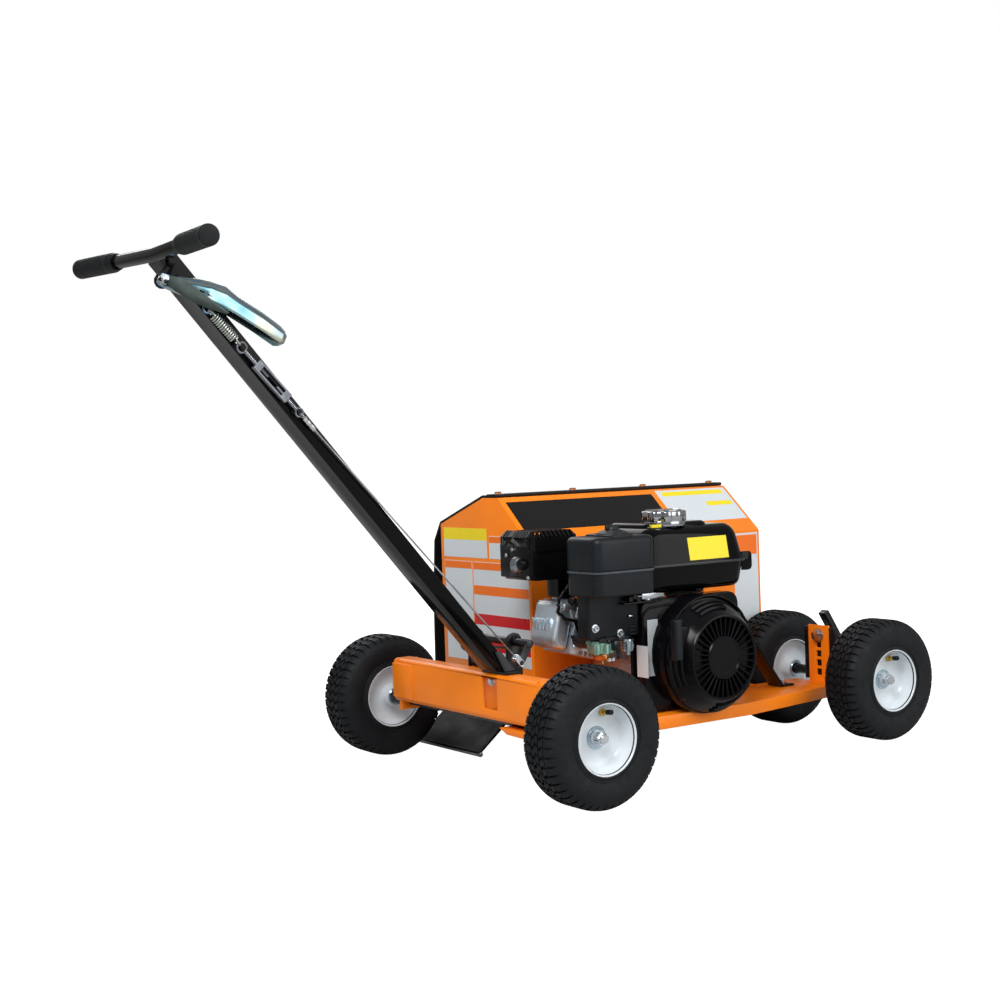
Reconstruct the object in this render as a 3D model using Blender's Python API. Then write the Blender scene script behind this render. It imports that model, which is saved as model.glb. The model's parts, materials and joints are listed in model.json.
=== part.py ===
"""Walk-behind trencher with an orange frame, a side rotor guard and a small petrol engine.

The machine is laid out from the middle of its rear axle: +X is forwards, +Y is towards the
guard, +Z is up and the ground is at zero. One empty then shifts everything, so that the
origin of the finished part is below the middle of its outer box.
"""
import math

import bmesh
import bpy
from mathutils import Matrix, Vector

# Clearances
GAP = 0.0003
RUNNING_GAP = 0.0004
PIVOT_GAP = 0.0016

# Wheels
TYRE_RADIUS = 0.1145
TYRE_WIDTH = 0.086
TYRE_WALL = 0.010
TYRE_SIDES = 32
RIM_SEAT_RADIUS = 0.0545
RIM_FLANGE_HEIGHT = 0.004
RIM_FLANGE_WIDTH = 0.0035
RIM_WIDTH = 0.080
RIM_WALL = 0.0035
RIM_DISC_THICKNESS = 0.005
RIM_SIDES = 18
HUB_RADIUS = 0.0165
HUB_LENGTH = 0.060
AXLE_RADIUS = 0.0095
AXLE_SIDES = 16
AXLE_COLLAR_RADIUS = 0.0140
WHEEL_NUT_RADIUS = 0.0110
WHEEL_NUT_LENGTH = 0.0080
WHEEL_WASHER_RADIUS = 0.0150
WHEEL_WASHER_THICKNESS = 0.0025
WHEELBASE = 0.761
REAR_TRACK = 0.651
FRONT_NEAR_Y = -0.229
FRONT_FAR_Y = 0.035
AXLE_Z = TYRE_RADIUS * math.cos(math.pi / TYRE_SIDES)

# Rear beam, a channel that is open towards the front
BEAM_REAR_X = -0.030
BEAM_LENGTH = 0.470
BEAM_BOTTOM_Z = 0.1145
BEAM_HEIGHT = 0.079
BEAM_SHEET = 0.005
BEAM_BEND = 0.008
BEAM_TOP_FLANGE = 0.036
BEAM_BOTTOM_FLANGE = 0.014
BEAM_TOP_Z = BEAM_BOTTOM_Z + BEAM_HEIGHT
AXLE_PLATE_THICKNESS = 0.006
AXLE_PLATE_INSET = 0.010
AXLE_PLATE_REACH = 0.014
BEAM_WINDOW_WIDTH = 0.045
BEAM_WINDOW_HEIGHT = 0.056
BEAM_WINDOW_MIDDLE_Y = -0.0815
BEAM_WINDOW_TOP = 0.0045
DOUBLER_WIDTH = 0.065
DOUBLER_THICKNESS = 0.003

# Deck under the engine, and the two rails that join it to the beam
DECK_TOP_Z = 0.0965
DECK_LIP = 0.023
DECK_SHEET = 0.004
DECK_REAR_X = 0.100
DECK_FRONT_BEHIND_AXLE = 0.013
DECK_FRONT_X = WHEELBASE - DECK_FRONT_BEHIND_AXLE
DECK_NEAR_Y = -0.180
DECK_TAPER_X = 0.475
DECK_FRONT_NEAR_Y = -0.135
DECK_NOTCH_BEHIND_AXLE = 0.125
DECK_NOTCH_X = WHEELBASE - DECK_NOTCH_BEHIND_AXLE
DECK_NOTCH_Y = -0.022
RAIL_NEAR_Y = -0.050
RAIL_FAR_Y = 0.056
RAIL_THICKNESS = 0.006
RAIL_FRONT_X = 0.200
RAIL_EAR_RADIUS = 0.016

# Rotor guard, a six-sided box along X whose far side is open
GUARD_REAR_X = 0.184
GUARD_FRONT_X = 0.760
GUARD_NEAR_Y = 0.085
GUARD_TOP_NEAR_Y = 0.187
GUARD_TOP_FAR_Y = 0.240
GUARD_FAR_Y = 0.394
GUARD_BOTTOM_Z = 0.0735
GUARD_END_BOTTOM_Z = 0.047
GUARD_SHOULDER_Z = 0.391
GUARD_TOP_Z = 0.481
GUARD_FAR_Z = 0.428
GUARD_SHEET = 0.003
GUARD_NOTCH_Y = 0.124
FLAP_THICKNESS = 0.005
FLAP_BOTTOM_Z = 0.080
FLAP_SWELL = 0.036
FLAP_TOP_LAP = 0.046
FLAP_BOLT_COUNT = 4
FLAP_BOLT_INSET = 0.019
FLAP_BOLT_RADIUS = 0.003
FLAP_BOLT_HEAD_RADIUS = 0.007
FLAP_BOLT_HEAD_HEIGHT = 0.004
DEFLECTOR_NEAR_Y = 0.120
DEFLECTOR_FAR_Y = 0.332
DEFLECTOR_DROP = 0.086
DEFLECTOR_REACH = 0.104
DEFLECTOR_THICKNESS = 0.004
DEFLECTOR_BAR_RADIUS = 0.005

# Front upright, its wheel carrier and the depth bolt
UPRIGHT_THICKNESS = 0.0035
UPRIGHT_NEAR_Y = -0.113
UPRIGHT_FAR_Y = -0.059
UPRIGHT_TOP_Z = 0.207
HOLE_TOP_Z = 0.187
HOLE_PITCH = 0.018
HOLE_COUNT = 5
HOLE_WIDTH = 0.013
HOLE_HEIGHT = 0.0125
CARRIER_PLATE_THICKNESS = 0.006
CARRIER_OVERHANG = 0.012
CARRIER_LIP = 0.003
CARRIER_ABOVE_HOLE = 0.016
CARRIER_AXLE_RADIUS = 0.0090
STRUT_WIDTH = 0.019
STRUT_THICKNESS = 0.012
STRUT_TOP_Z = 0.232
STRUT_FOOT_AHEAD = 0.084
DEPTH_BOLT_RADIUS = 0.0055
DEPTH_BOLT_HEAD_RADIUS = 0.0105
DEPTH_BOLT_HEAD_HEIGHT = 0.0075
DEPTH_BOLT_WASHER_RADIUS = 0.014
DEPTH_BOLT_WASHER_THICKNESS = 0.0025

# Handle: a leaning rectangular tube with a cross bar
HANDLE_ANGLE = math.radians(49.6)
HANDLE_Y = -0.078
HANDLE_WIDTH = 0.0508
HANDLE_DEPTH = 0.0254
HANDLE_BEND = 0.003
HANDLE_BASE_X = -0.0112
HANDLE_TOP_Z = 0.886
FOOT_THICKNESS = 0.005
FOOT_FRONT_X = 0.012
FOOT_NEAR_Y = -0.122
FOOT_GUSSET_HEIGHT = 0.040
T_BAR_RADIUS = 0.011
T_BAR_REACH = 0.2467
T_BAR_SWEEP = math.radians(5.8)
T_BAR_LAP = 0.003
GRIP_RADIUS = 0.016
GRIP_WALL_END = 0.002
GRIP_EDGE = 0.004
GRIP_SHOULDER = 0.010
GRIP_LENGTH = 0.125
GRIP_SIDES = 20
HANDLE_BOLT_HEAD_RADIUS = 0.0070
HANDLE_BOLT_HEAD_HEIGHT = 0.0045
HANDLE_BOLT_RADIUS = 0.0040
HANDLE_BOLT_DROP = 0.018

# Clutch lever
LEVER_PIVOT_DOWN = 0.047
LEVER_PIVOT_BEHIND = 0.0190
LEVER_SLOPE = math.radians(25.0)
LEVER_LENGTH = 0.206
LEVER_SHEET = 0.002
LEVER_DEPTH = 0.0235
LEVER_LIFT = math.radians(28.0)
LEVER_PIVOT_RADIUS = 0.004
LEVER_BOLT_HEAD_RADIUS = 0.0075
LEVER_BOLT_HEAD_HEIGHT = 0.0045
LUG_THICKNESS = 0.005
LUG_RADIUS = 0.012
TAB_HOLE_RADIUS = 0.0045
TAB_RADIUS = 0.0080
TAB_ALONG = 0.0754
TAB_BELOW = 0.0100
TAB_THICKNESS = 0.002

# Clutch line: spring, turnbuckle and cable
SPRING_RADIUS = 0.0075
SPRING_WIRE = 0.0011
SPRING_CURLS = 14
SPRING_START = 0.014
SPRING_END = 0.062
HOOK_HALF_GAP = 0.0045
EYE_WIRE = 0.0019
UPPER_EYE_AT = 0.0790
UPPER_EYE_RADIUS = 0.0080
FRAME_START = 0.1120
FRAME_END = 0.1870
FRAME_WIDTH = 0.0170
FRAME_DEPTH = 0.0090
FRAME_RAIL = 0.0030
FRAME_NUT = 0.0120
LOWER_EYE_AT = 0.2160
LOWER_EYE_RADIUS = 0.0065
CABLE_RADIUS = 0.0015
CABLE_SWING_GAP = 0.0008
FERRULE_START = 0.2270
FERRULE_END = 0.2550
FERRULE_RADIUS = 0.0040
CLEVIS_LENGTH = 0.016
CLEVIS_RADIUS = 0.0055

# Clutch cross shaft, link and idler
CROSS_SHAFT_RADIUS = 0.0070
CROSS_ARM_Y = -0.1000
CROSS_ARM_THICKNESS = 0.005
CROSS_ARM_LENGTH = 0.0366
CROSS_ARM_END_RADIUS = 0.0065
CROSS_PIN_RADIUS = 0.0025
LINK_Y = 0.107
LINK_ARM_LENGTH = 0.022
LINK_RADIUS = 0.003
LINK_EYE_RADIUS = 0.0085
LINK_THICKNESS = 0.004
IDLER_PIVOT_X = 0.300
IDLER_PIVOT_Z = 0.140
IDLER_LINK_HEIGHT = 0.045
IDLER_RADIUS = 0.019
IDLER_WIDTH = 0.010
IDLER_ARM_THICKNESS = 0.004
IDLER_CONTACT_ALONG = 0.046

# Belt drive and rotor
BELT_Y = 0.102
BELT_WIDTH = 0.009
BELT_THICKNESS = 0.007
PULLEY_SIDES = 24
PULLEY_FLANGE = 0.0025
PULLEY_SIDE_GAP = 0.0005
DRIVE_PULLEY_RADIUS = 0.035
DRIVEN_PULLEY_RADIUS = 0.055
PARTITION_Y = 0.125
PARTITION_THICKNESS = 0.004
ROTOR_X = 0.490
ROTOR_Z = 0.252
ROTOR_Y = 0.226
ROTOR_RADIUS = 0.218
ROTOR_DISC_RADIUS = 0.165
ROTOR_DISC_THICKNESS = 0.010
ROTOR_WIDTH = 0.060
ROTOR_TEETH = 8
ROTOR_TOOTH_THICKNESS = 0.008
ROTOR_HUB_RADIUS = 0.032
ROTOR_SHAFT_RADIUS = 0.0125
SPINDLE_RADIUS = 0.030
SPINDLE_FLANGE_RADIUS = 0.052
SPINDLE_FLANGE_THICKNESS = 0.008

# Engine
CRANK_X = 0.374
CRANK_Z = 0.200
CRANK_RADIUS = 0.010
CASE_REAR_X = 0.290
CASE_FRONT_X = 0.460
CASE_TOP_Z = 0.300
CASE_NEAR_Y = -0.120
CASE_FAR_Y = 0.045
CASE_CHAMFER = 0.030
CASE_FOOT_HEIGHT = 0.010
CASE_FOOT_LENGTH = 0.010
CYLINDER_TILT = math.radians(15.0)
CYLINDER_WIDTH = 0.096
CYLINDER_CORE_WIDTH = 0.078
CYLINDER_NEAR_Y = -0.055
CYLINDER_FAR_Y = 0.026
FIN_FIRST = 0.108
FIN_PITCH = 0.011
FIN_THICKNESS = 0.004
FIN_COUNT = 7
HEAD_START = 0.186
HEAD_END = 0.207
HEAD_COVER_END = 0.241
HEAD_COVER_CHAMFER = 0.012
MUFFLER_REAR_X = 0.0885
MUFFLER_FRONT_X = 0.190
MUFFLER_NEAR_Y = -0.050
MUFFLER_FAR_Y = 0.046
MUFFLER_BOTTOM_Z = 0.340
MUFFLER_TOP_Z = 0.414
MUFFLER_CHAMFER = 0.012
EXHAUST_X = 0.168
EXHAUST_WIDTH = 0.034
OUTLET_RADIUS = 0.010
OUTLET_LENGTH = 0.012
MUFFLER_GUARD_RISE = 0.014
MUFFLER_GUARD_SHEET = 0.002
AIR_REAR_X = 0.118
AIR_FRONT_X = 0.245
AIR_NEAR_Y = -0.200
AIR_FAR_Y = -0.118
AIR_BOTTOM_Z = 0.248
AIR_SEAM_Z = 0.345
AIR_TOP_Z = 0.414
AIR_WALL = 0.003
AIR_CORNER = 0.010
TANK_REAR_X = 0.250
TANK_FRONT_X = 0.486
TANK_NEAR_Y = -0.170
TANK_FAR_Y = 0.000
TANK_BOTTOM_Z = 0.310
TANK_SEAM_Z = 0.358
TANK_TOP_Z = 0.420
TANK_SEAM_LIP = 0.004
TANK_SEAM_THICKNESS = 0.004
TANK_WALL = 0.002
TANK_CORNER = 0.018
TANK_TOP_CHAMFER = 0.014
CAP_X = 0.340
CAP_Y = -0.112
CAP_RADIUS = 0.042
CAP_TOP_Z = 0.458
CAP_SKIRT = 0.003
NECK_RADIUS = 0.030
NECK_HEIGHT = 0.014
NECK_WALL = 0.003
FAN_REAR_X = 0.250
FAN_FRONT_X = 0.480
FAN_BOTTOM_Z = 0.100
FAN_TOP_Z = 0.300
FAN_NEAR_Y = -0.150
FAN_CORNER = 0.022
DRUM_RADIUS = 0.103
DRUM_WALL = 0.004
DRUM_NEAR_Y = -0.190
DRUM_SIDES = 32
FLYWHEEL_RADIUS = 0.088
FLYWHEEL_THICKNESS = 0.022
RECOIL_BASE_RADIUS = 0.100
RECOIL_FRONT_RADIUS = 0.086
RECOIL_FRONT_Y = -0.235
RECOIL_STEP = 0.010
RECOIL_WALL = 0.004
OUTLET_BLOCK_HEIGHT = 0.018
RECOIL_GRIP_WIDTH = 0.017
RECOIL_GRIP_HEIGHT = 0.070
RECOIL_GRIP_X = 0.265
RECOIL_GRIP_Y = -0.2265
RECOIL_GRIP_Z = 0.235
CARB_REAR_X = 0.165
CARB_FRONT_X = 0.202
CARB_NEAR_Y = -0.150
CARB_BOTTOM_Z = 0.208
BOWL_RADIUS = 0.017
BOWL_DEPTH = 0.026
BOWL_Y = -0.126
SEDIMENT_X = 0.225
SEDIMENT_RADIUS = 0.011
SEDIMENT_DEPTH = 0.030
SMALL_LEVER_THICKNESS = 0.0025
SMALL_LEVER_RADIUS = 0.006
SMALL_LEVER_LENGTH = 0.020
SMALL_LEVER_PIN = 0.0022
CHOKE_X = 0.174
CHOKE_Z = 0.236
FUEL_VALVE_X = 0.195
FUEL_VALVE_Z = 0.222
THROTTLE_X = 0.306
THROTTLE_Y = -0.136
THROTTLE_LENGTH = 0.056
THROTTLE_THICKNESS = 0.003
THROTTLE_WIDTH = 0.010
SWITCH_Y = -0.135
SWITCH_Z = 0.255
SWITCH_RADIUS = 0.010
SWITCH_LENGTH = 0.012
BRACE_WIDTH = 0.0365
BRACE_NEAR_Y = -0.0905
BRACE_THICKNESS = 0.004
BRACE_FOOT_X = 0.675
BRACE_HEEL_X = 0.645
BRACE_TOP_Z = 0.217
BRACE_TOP_RISE = 0.010
BRACE_KNEE_X = 0.560

# Finishes: colour, roughness and metallic value
FINISHES = {
    "orange_paint": ((0.78, 0.22, 0.03), 0.38, 0.0),
    "black_paint": ((0.012, 0.012, 0.013), 0.22, 0.0),
    "black_plastic": ((0.018, 0.018, 0.019), 0.50, 0.0),
    "black_rubber": ((0.016, 0.016, 0.016), 0.75, 0.0),
    "white_paint": ((0.82, 0.82, 0.80), 0.35, 0.0),
    "zinc": ((0.62, 0.66, 0.68), 0.30, 1.0),
    "steel": ((0.45, 0.45, 0.46), 0.38, 1.0),
    "cast_aluminium": ((0.52, 0.53, 0.54), 0.48, 1.0),
    "carbide": ((0.20, 0.20, 0.21), 0.45, 1.0),
}

# Places that follow from the sizes above
HALF_TRACK = REAR_TRACK / 2
ALONG_HANDLE = Vector((-math.cos(HANDLE_ANGLE), 0, math.sin(HANDLE_ANGLE)))
ACROSS_HANDLE = Vector((math.sin(HANDLE_ANGLE), 0, math.cos(HANDLE_ANGLE)))
FOOT_TOP_Z = BEAM_TOP_Z + GAP + FOOT_THICKNESS
HANDLE_BASE = Vector((HANDLE_BASE_X, HANDLE_Y, FOOT_TOP_Z))
HANDLE_LENGTH = (HANDLE_TOP_Z - FOOT_TOP_Z) / math.sin(HANDLE_ANGLE)
HANDLE_TOP = HANDLE_BASE + ALONG_HANDLE * HANDLE_LENGTH
HANDLE_NEAR_Y = HANDLE_Y - HANDLE_WIDTH / 2
FLAP_OUTER_Y = GUARD_FAR_Y + FLAP_SWELL + FLAP_THICKNESS + GAP
GRIP_REACH = GRIP_RADIUS * math.cos(math.pi / GRIP_SIDES)
GRIP_END = T_BAR_REACH + GRIP_WALL_END + GAP
HANDLE_REAR_X = (HANDLE_TOP.x - (GRIP_END - GRIP_EDGE) * math.sin(T_BAR_SWEEP)
                 - GRIP_REACH * math.cos(T_BAR_SWEEP))
BOX_MIDDLE_X = (HANDLE_REAR_X + WHEELBASE + AXLE_Z) / 2
BOX_MIDDLE_Y = (FLAP_OUTER_Y - HALF_TRACK - TYRE_WIDTH / 2) / 2


def clear_radius(radius, sides, gap):
    """The corner radius of a many-sided hole whose flats clear a round bar by the gap."""
    return (radius + gap) / math.cos(math.pi / sides)


def turned(vector, angle):
    """A vector turned about +Y."""
    return Matrix.Rotation(angle, 3, "Y") @ vector


# Clutch lever places: s runs along the lever, v across it
LEVER_PIVOT = Vector((HANDLE_TOP.x + LEVER_PIVOT_DOWN / math.tan(HANDLE_ANGLE)
                      - (HANDLE_DEPTH / 2 + LEVER_PIVOT_BEHIND) / math.sin(HANDLE_ANGLE),
                      HANDLE_Y, HANDLE_TOP_Z - LEVER_PIVOT_DOWN))
LEVER_FAR_Y = HANDLE_NEAR_Y - GAP - 0.0008
LEVER_ALONG = Vector((math.cos(LEVER_SLOPE), 0, -math.sin(LEVER_SLOPE)))
LEVER_UP = Vector((math.sin(LEVER_SLOPE), 0, math.cos(LEVER_SLOPE)))
TAB_Y = LEVER_FAR_Y - LEVER_DEPTH / 2

# The clutch line runs from the lever's tab down to the cross shaft's arm
LINE_TOP = LEVER_PIVOT + LEVER_ALONG * TAB_ALONG - LEVER_UP * TAB_BELOW
LINE_TOP.y = TAB_Y
LINE_BOTTOM = Vector((0.0232, CROSS_ARM_Y, 0.2087))
LINE = (LINE_BOTTOM - LINE_TOP).normalized()
LINE_LENGTH = (LINE_BOTTOM - LINE_TOP).length
LINE_SIDE = Vector((0, 1, 0)).cross(LINE).normalized()
LINE_OUT = LINE.cross(LINE_SIDE).normalized()

# Travel of the clutch line, and the turns that follow from it
TAB_LIFTED = LEVER_PIVOT + turned(LINE_TOP - LEVER_PIVOT, -LEVER_LIFT)
CABLE_TRAVEL = abs(LINE_LENGTH - (LINE_BOTTOM - TAB_LIFTED).length)
CROSS_TURN = 2 * math.asin(CABLE_TRAVEL / (2 * CROSS_ARM_LENGTH))
LINE_FLAT = Vector((LINE.x, 0, LINE.z)).normalized()
CROSS_ARM = turned(Vector((LINE_FLAT.z, 0, -LINE_FLAT.x)) * CROSS_ARM_LENGTH, -CROSS_TURN / 2)
CROSS_SHAFT = Vector((LINE_BOTTOM.x, 0, LINE_BOTTOM.z)) - CROSS_ARM
LINK_ARM = turned(Vector((0, 0, -LINK_ARM_LENGTH)), -CROSS_TURN / 2)
LINK_TRAVEL = 2 * LINK_ARM_LENGTH * math.sin(CROSS_TURN / 2)
LINK_REAR = CROSS_SHAFT + LINK_ARM
IDLER_TURN = 2 * math.asin(LINK_TRAVEL / (2 * IDLER_LINK_HEIGHT))
IDLER_PIVOT = Vector((IDLER_PIVOT_X, 0, IDLER_PIVOT_Z))
IDLER_LINK_ARM = turned(Vector((0, 0, IDLER_LINK_HEIGHT)), IDLER_TURN / 2)
LINK_FRONT = IDLER_PIVOT + IDLER_LINK_ARM

# Belt run: its lower straight stretch touches both pulleys from below
CRANK = Vector((CRANK_X, 0, CRANK_Z))
ROTOR = Vector((ROTOR_X, 0, ROTOR_Z))
CENTRES = ROTOR - CRANK
BELT_LEAN = math.asin((DRIVEN_PULLEY_RADIUS - DRIVE_PULLEY_RADIUS) / CENTRES.length)
CENTRES_RISE = math.atan2(CENTRES.z, CENTRES.x)
LOWER_RUN = Vector((math.cos(CENTRES_RISE - BELT_LEAN), 0, math.sin(CENTRES_RISE - BELT_LEAN)))
LOWER_OUT = Vector((LOWER_RUN.z, 0, -LOWER_RUN.x))
IDLER_IN = (CRANK + LOWER_RUN * IDLER_CONTACT_ALONG + LOWER_OUT
            * (clear_radius(DRIVE_PULLEY_RADIUS, PULLEY_SIDES, 2 * GAP) + BELT_THICKNESS
               + IDLER_RADIUS + 2 * GAP))
IDLER = IDLER_PIVOT + turned(IDLER_IN - IDLER_PIVOT, IDLER_TURN)

frame_empty = None
guides = {}


def new_material(name):
    """A Principled material from the table of finishes."""
    material = bpy.data.materials.new(name)
    material.use_nodes = True
    shader = material.node_tree.nodes["Principled BSDF"]
    colour, roughness, metallic = FINISHES[name]
    shader.inputs["Base Color"].default_value = (*colour, 1)
    shader.inputs["Roughness"].default_value = roughness
    shader.inputs["Metallic"].default_value = metallic
    material.diffuse_color = (*colour, 1)
    return material


def block(low, high):
    """A box between two corners."""
    shape = bmesh.new()
    bmesh.ops.create_cube(shape, size=1)
    size = Vector(high) - Vector(low)
    middle = (Vector(high) + Vector(low)) / 2
    bmesh.ops.scale(shape, vec=size, verts=shape.verts)
    bmesh.ops.translate(shape, vec=middle, verts=shape.verts)
    return shape


def in_plane(axis, point, along):
    """A point of an outline, set at a place along the axis it is drawn square to."""
    first, second = point
    return {"X": (along, first, second), "Y": (first, along, second),
            "Z": (first, second, along)}[axis]


def prism(outline, axis, start, end):
    """A flat outline drawn square to an axis and extruded along it."""
    shape = bmesh.new()
    corners = [shape.verts.new(in_plane(axis, point, start)) for point in outline]
    face = shape.faces.new(corners)
    made = bmesh.ops.extrude_face_region(shape, geom=[face])
    moved = [item for item in made["geom"] if isinstance(item, bmesh.types.BMVert)]
    shift = Vector(in_plane(axis, (0, 0), end - start))
    bmesh.ops.translate(shape, vec=shift, verts=moved)
    bmesh.ops.recalc_face_normals(shape, faces=shape.faces)
    return shape


def band(outer, inner, axis, start, end):
    """A closed band between two outlines with as many points each."""
    shape = bmesh.new()
    loops = []
    for outline in (outer, inner):
        for along in (start, end):
            loops.append([shape.verts.new(in_plane(axis, point, along)) for point in outline])
    outer_start, outer_end, inner_start, inner_end = loops
    ring = [(outer_start, outer_end), (outer_end, inner_end),
            (inner_end, inner_start), (inner_start, outer_start)]
    count = len(outer)
    for one, two in ring:
        for i in range(count):
            k = (i + 1) % count
            shape.faces.new((one[i], one[k], two[k], two[i]))
    bmesh.ops.recalc_face_normals(shape, faces=shape.faces)
    return shape


def turn(profile, axis, centre, sides, phase=0.5):
    """A closed profile of (place along the axis, radius) pairs turned about the axis."""
    shape = bmesh.new()
    rings = []
    for along, radius in profile:
        if radius == 0:
            rings.append([shape.verts.new(in_plane(axis, (0, 0), along))])
            continue
        angles = [2 * math.pi * (k + phase) / sides for k in range(sides)]
        rings.append([shape.verts.new(in_plane(
            axis, (radius * math.cos(a), radius * math.sin(a)), along)) for a in angles])
    for index, ring in enumerate(rings):
        following = rings[(index + 1) % len(rings)]
        if len(ring) == 1 and len(following) == 1:
            continue
        for k in range(sides):
            j = (k + 1) % sides
            if len(ring) == 1:
                shape.faces.new((ring[0], following[j], following[k]))
            elif len(following) == 1:
                shape.faces.new((ring[k], ring[j], following[0]))
            else:
                shape.faces.new((ring[k], ring[j], following[j], following[k]))
    bmesh.ops.recalc_face_normals(shape, faces=shape.faces)
    bmesh.ops.translate(shape, vec=Vector(centre), verts=shape.verts)
    return shape


def rod(axis, centre, radius, start, end, sides=12, phase=0.5):
    """A round bar along an axis through a centre, from start to end on that axis."""
    return turn([(start, 0), (start, radius), (end, radius), (end, 0)],
                axis, square_to(axis, centre), sides, phase)


def square_to(axis, centre):
    """A centre with its coordinate on the axis set to zero."""
    place = Vector(centre)
    place["XYZ".index(axis)] = 0
    return place


def bar(start, end, radius, sides, spread=None):
    """A bar between two points, round or with a rectangular section of two sizes."""
    start, end = Vector(start), Vector(end)
    shape = bmesh.new()
    length = (end - start).length
    if spread is None:
        bmesh.ops.create_cone(shape, cap_ends=True, segments=sides, radius1=radius,
                              radius2=radius, depth=length)
    else:
        bmesh.ops.create_cube(shape, size=1)
        bmesh.ops.scale(shape, vec=(spread[0], spread[1], length), verts=shape.verts)
    forward = (end - start).normalized()
    side = Vector((0, 1, 0))
    side = (side - forward * side.dot(forward)).normalized()
    turning = Matrix((side.cross(forward), side, forward)).transposed().to_4x4()
    bmesh.ops.transform(shape, matrix=Matrix.Translation((start + end) / 2) @ turning,
                        verts=shape.verts)
    return shape


def swept(points, radius, sides):
    """A round tube through a list of points, with flat ends."""
    points = [Vector(point) for point in points]
    shape = bmesh.new()
    rings = []
    side = None
    for index, point in enumerate(points):
        before = points[max(index - 1, 0)]
        after = points[min(index + 1, len(points) - 1)]
        forward = (after - before).normalized()
        if side is None:
            side = forward.orthogonal()
        side = (side - forward * side.dot(forward)).normalized()
        up = forward.cross(side)
        rings.append([shape.verts.new(
            point + side * radius * math.cos(a) + up * radius * math.sin(a))
            for a in (2 * math.pi * k / sides for k in range(sides))])
    for one, two in zip(rings, rings[1:]):
        for k in range(sides):
            j = (k + 1) % sides
            shape.faces.new((one[k], one[j], two[j], two[k]))
    shape.faces.new(rings[0])
    shape.faces.new(rings[-1])
    bmesh.ops.recalc_face_normals(shape, faces=shape.faces)
    return shape


def eye(centre, normal, radius, wire, sides=14, wire_sides=6):
    """A round wire ring about a centre."""
    shape = bmesh.new()
    normal = Vector(normal).normalized()
    first = normal.orthogonal().normalized()
    second = normal.cross(first)
    rings = []
    for k in range(sides):
        angle = 2 * math.pi * k / sides
        outward = first * math.cos(angle) + second * math.sin(angle)
        middle = Vector(centre) + outward * radius
        rings.append([shape.verts.new(
            middle + outward * wire * math.cos(a) + normal * wire * math.sin(a))
            for a in (2 * math.pi * j / wire_sides for j in range(wire_sides))])
    for k in range(sides):
        one, two = rings[k], rings[(k + 1) % sides]
        for j in range(wire_sides):
            m = (j + 1) % wire_sides
            shape.faces.new((one[j], one[m], two[m], two[j]))
    bmesh.ops.recalc_face_normals(shape, faces=shape.faces)
    return shape


def rounded(low, high, corner, steps=3):
    """A rectangle outline with round corners."""
    (x0, z0), (x1, z1) = low, high
    centres = [(x1 - corner, z1 - corner, 0), (x0 + corner, z1 - corner, 1),
               (x0 + corner, z0 + corner, 2), (x1 - corner, z0 + corner, 3)]
    points = []
    for cx, cz, quarter in centres:
        for k in range(steps + 1):
            angle = math.pi / 2 * (quarter + k / steps)
            points.append((cx + corner * math.cos(angle), cz + corner * math.sin(angle)))
    return points


def inset(outline, distance):
    """An outline moved inwards by a distance; the outline runs anticlockwise."""
    count = len(outline)
    points = []
    for k in range(count):
        before = Vector(outline[k - 1])
        here = Vector(outline[k])
        after = Vector(outline[(k + 1) % count])
        one = (here - before).normalized()
        two = (after - here).normalized()
        in_one = Vector((-one.y, one.x))
        in_two = Vector((-two.y, two.x))
        middle = (in_one + in_two).normalized()
        points.append(tuple(here + middle * distance / middle.dot(in_one)))
    return points


def finish_object(name, shape, pivot):
    """An object from a shape, with its origin at the pivot."""
    bmesh.ops.translate(shape, vec=-Vector(pivot), verts=shape.verts)
    mesh = bpy.data.meshes.new(name)
    shape.to_mesh(mesh)
    shape.free()
    mesh.shade_smooth()
    mesh.set_sharp_from_angle(angle=math.radians(35))
    item = bpy.data.objects.new(name, mesh)
    item.location = pivot
    item.parent = frame_empty
    bpy.context.collection.objects.link(item)
    return item


def node(name, shape, finish, pivot=(0, 0, 0)):
    """One named piece of the machine."""
    item = finish_object(name, shape, pivot)
    item.data.materials.append(bpy.data.materials.get(finish) or new_material(finish))
    return item


def change(item, shape, operation):
    """Joins a shape to a piece, or cuts it out, by a Boolean with a hidden tool."""
    guides[item.name] = guides.get(item.name, 0) + 1
    tool = finish_object(f"tool_{item.name}_{guides[item.name]}", shape, item.location)
    tool.hide_render = True
    tool.hide_set(True)
    tool.display_type = "WIRE"
    modifier = item.modifiers.new(tool.name, "BOOLEAN")
    modifier.operation = operation
    modifier.solver = "EXACT"
    modifier.object = tool


def join(item, *shapes):
    """Joins shapes to a piece."""
    for shape in shapes:
        change(item, shape, "UNION")


def cut(item, *shapes):
    """Cuts shapes out of a piece."""
    for shape in shapes:
        change(item, shape, "DIFFERENCE")


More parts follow.
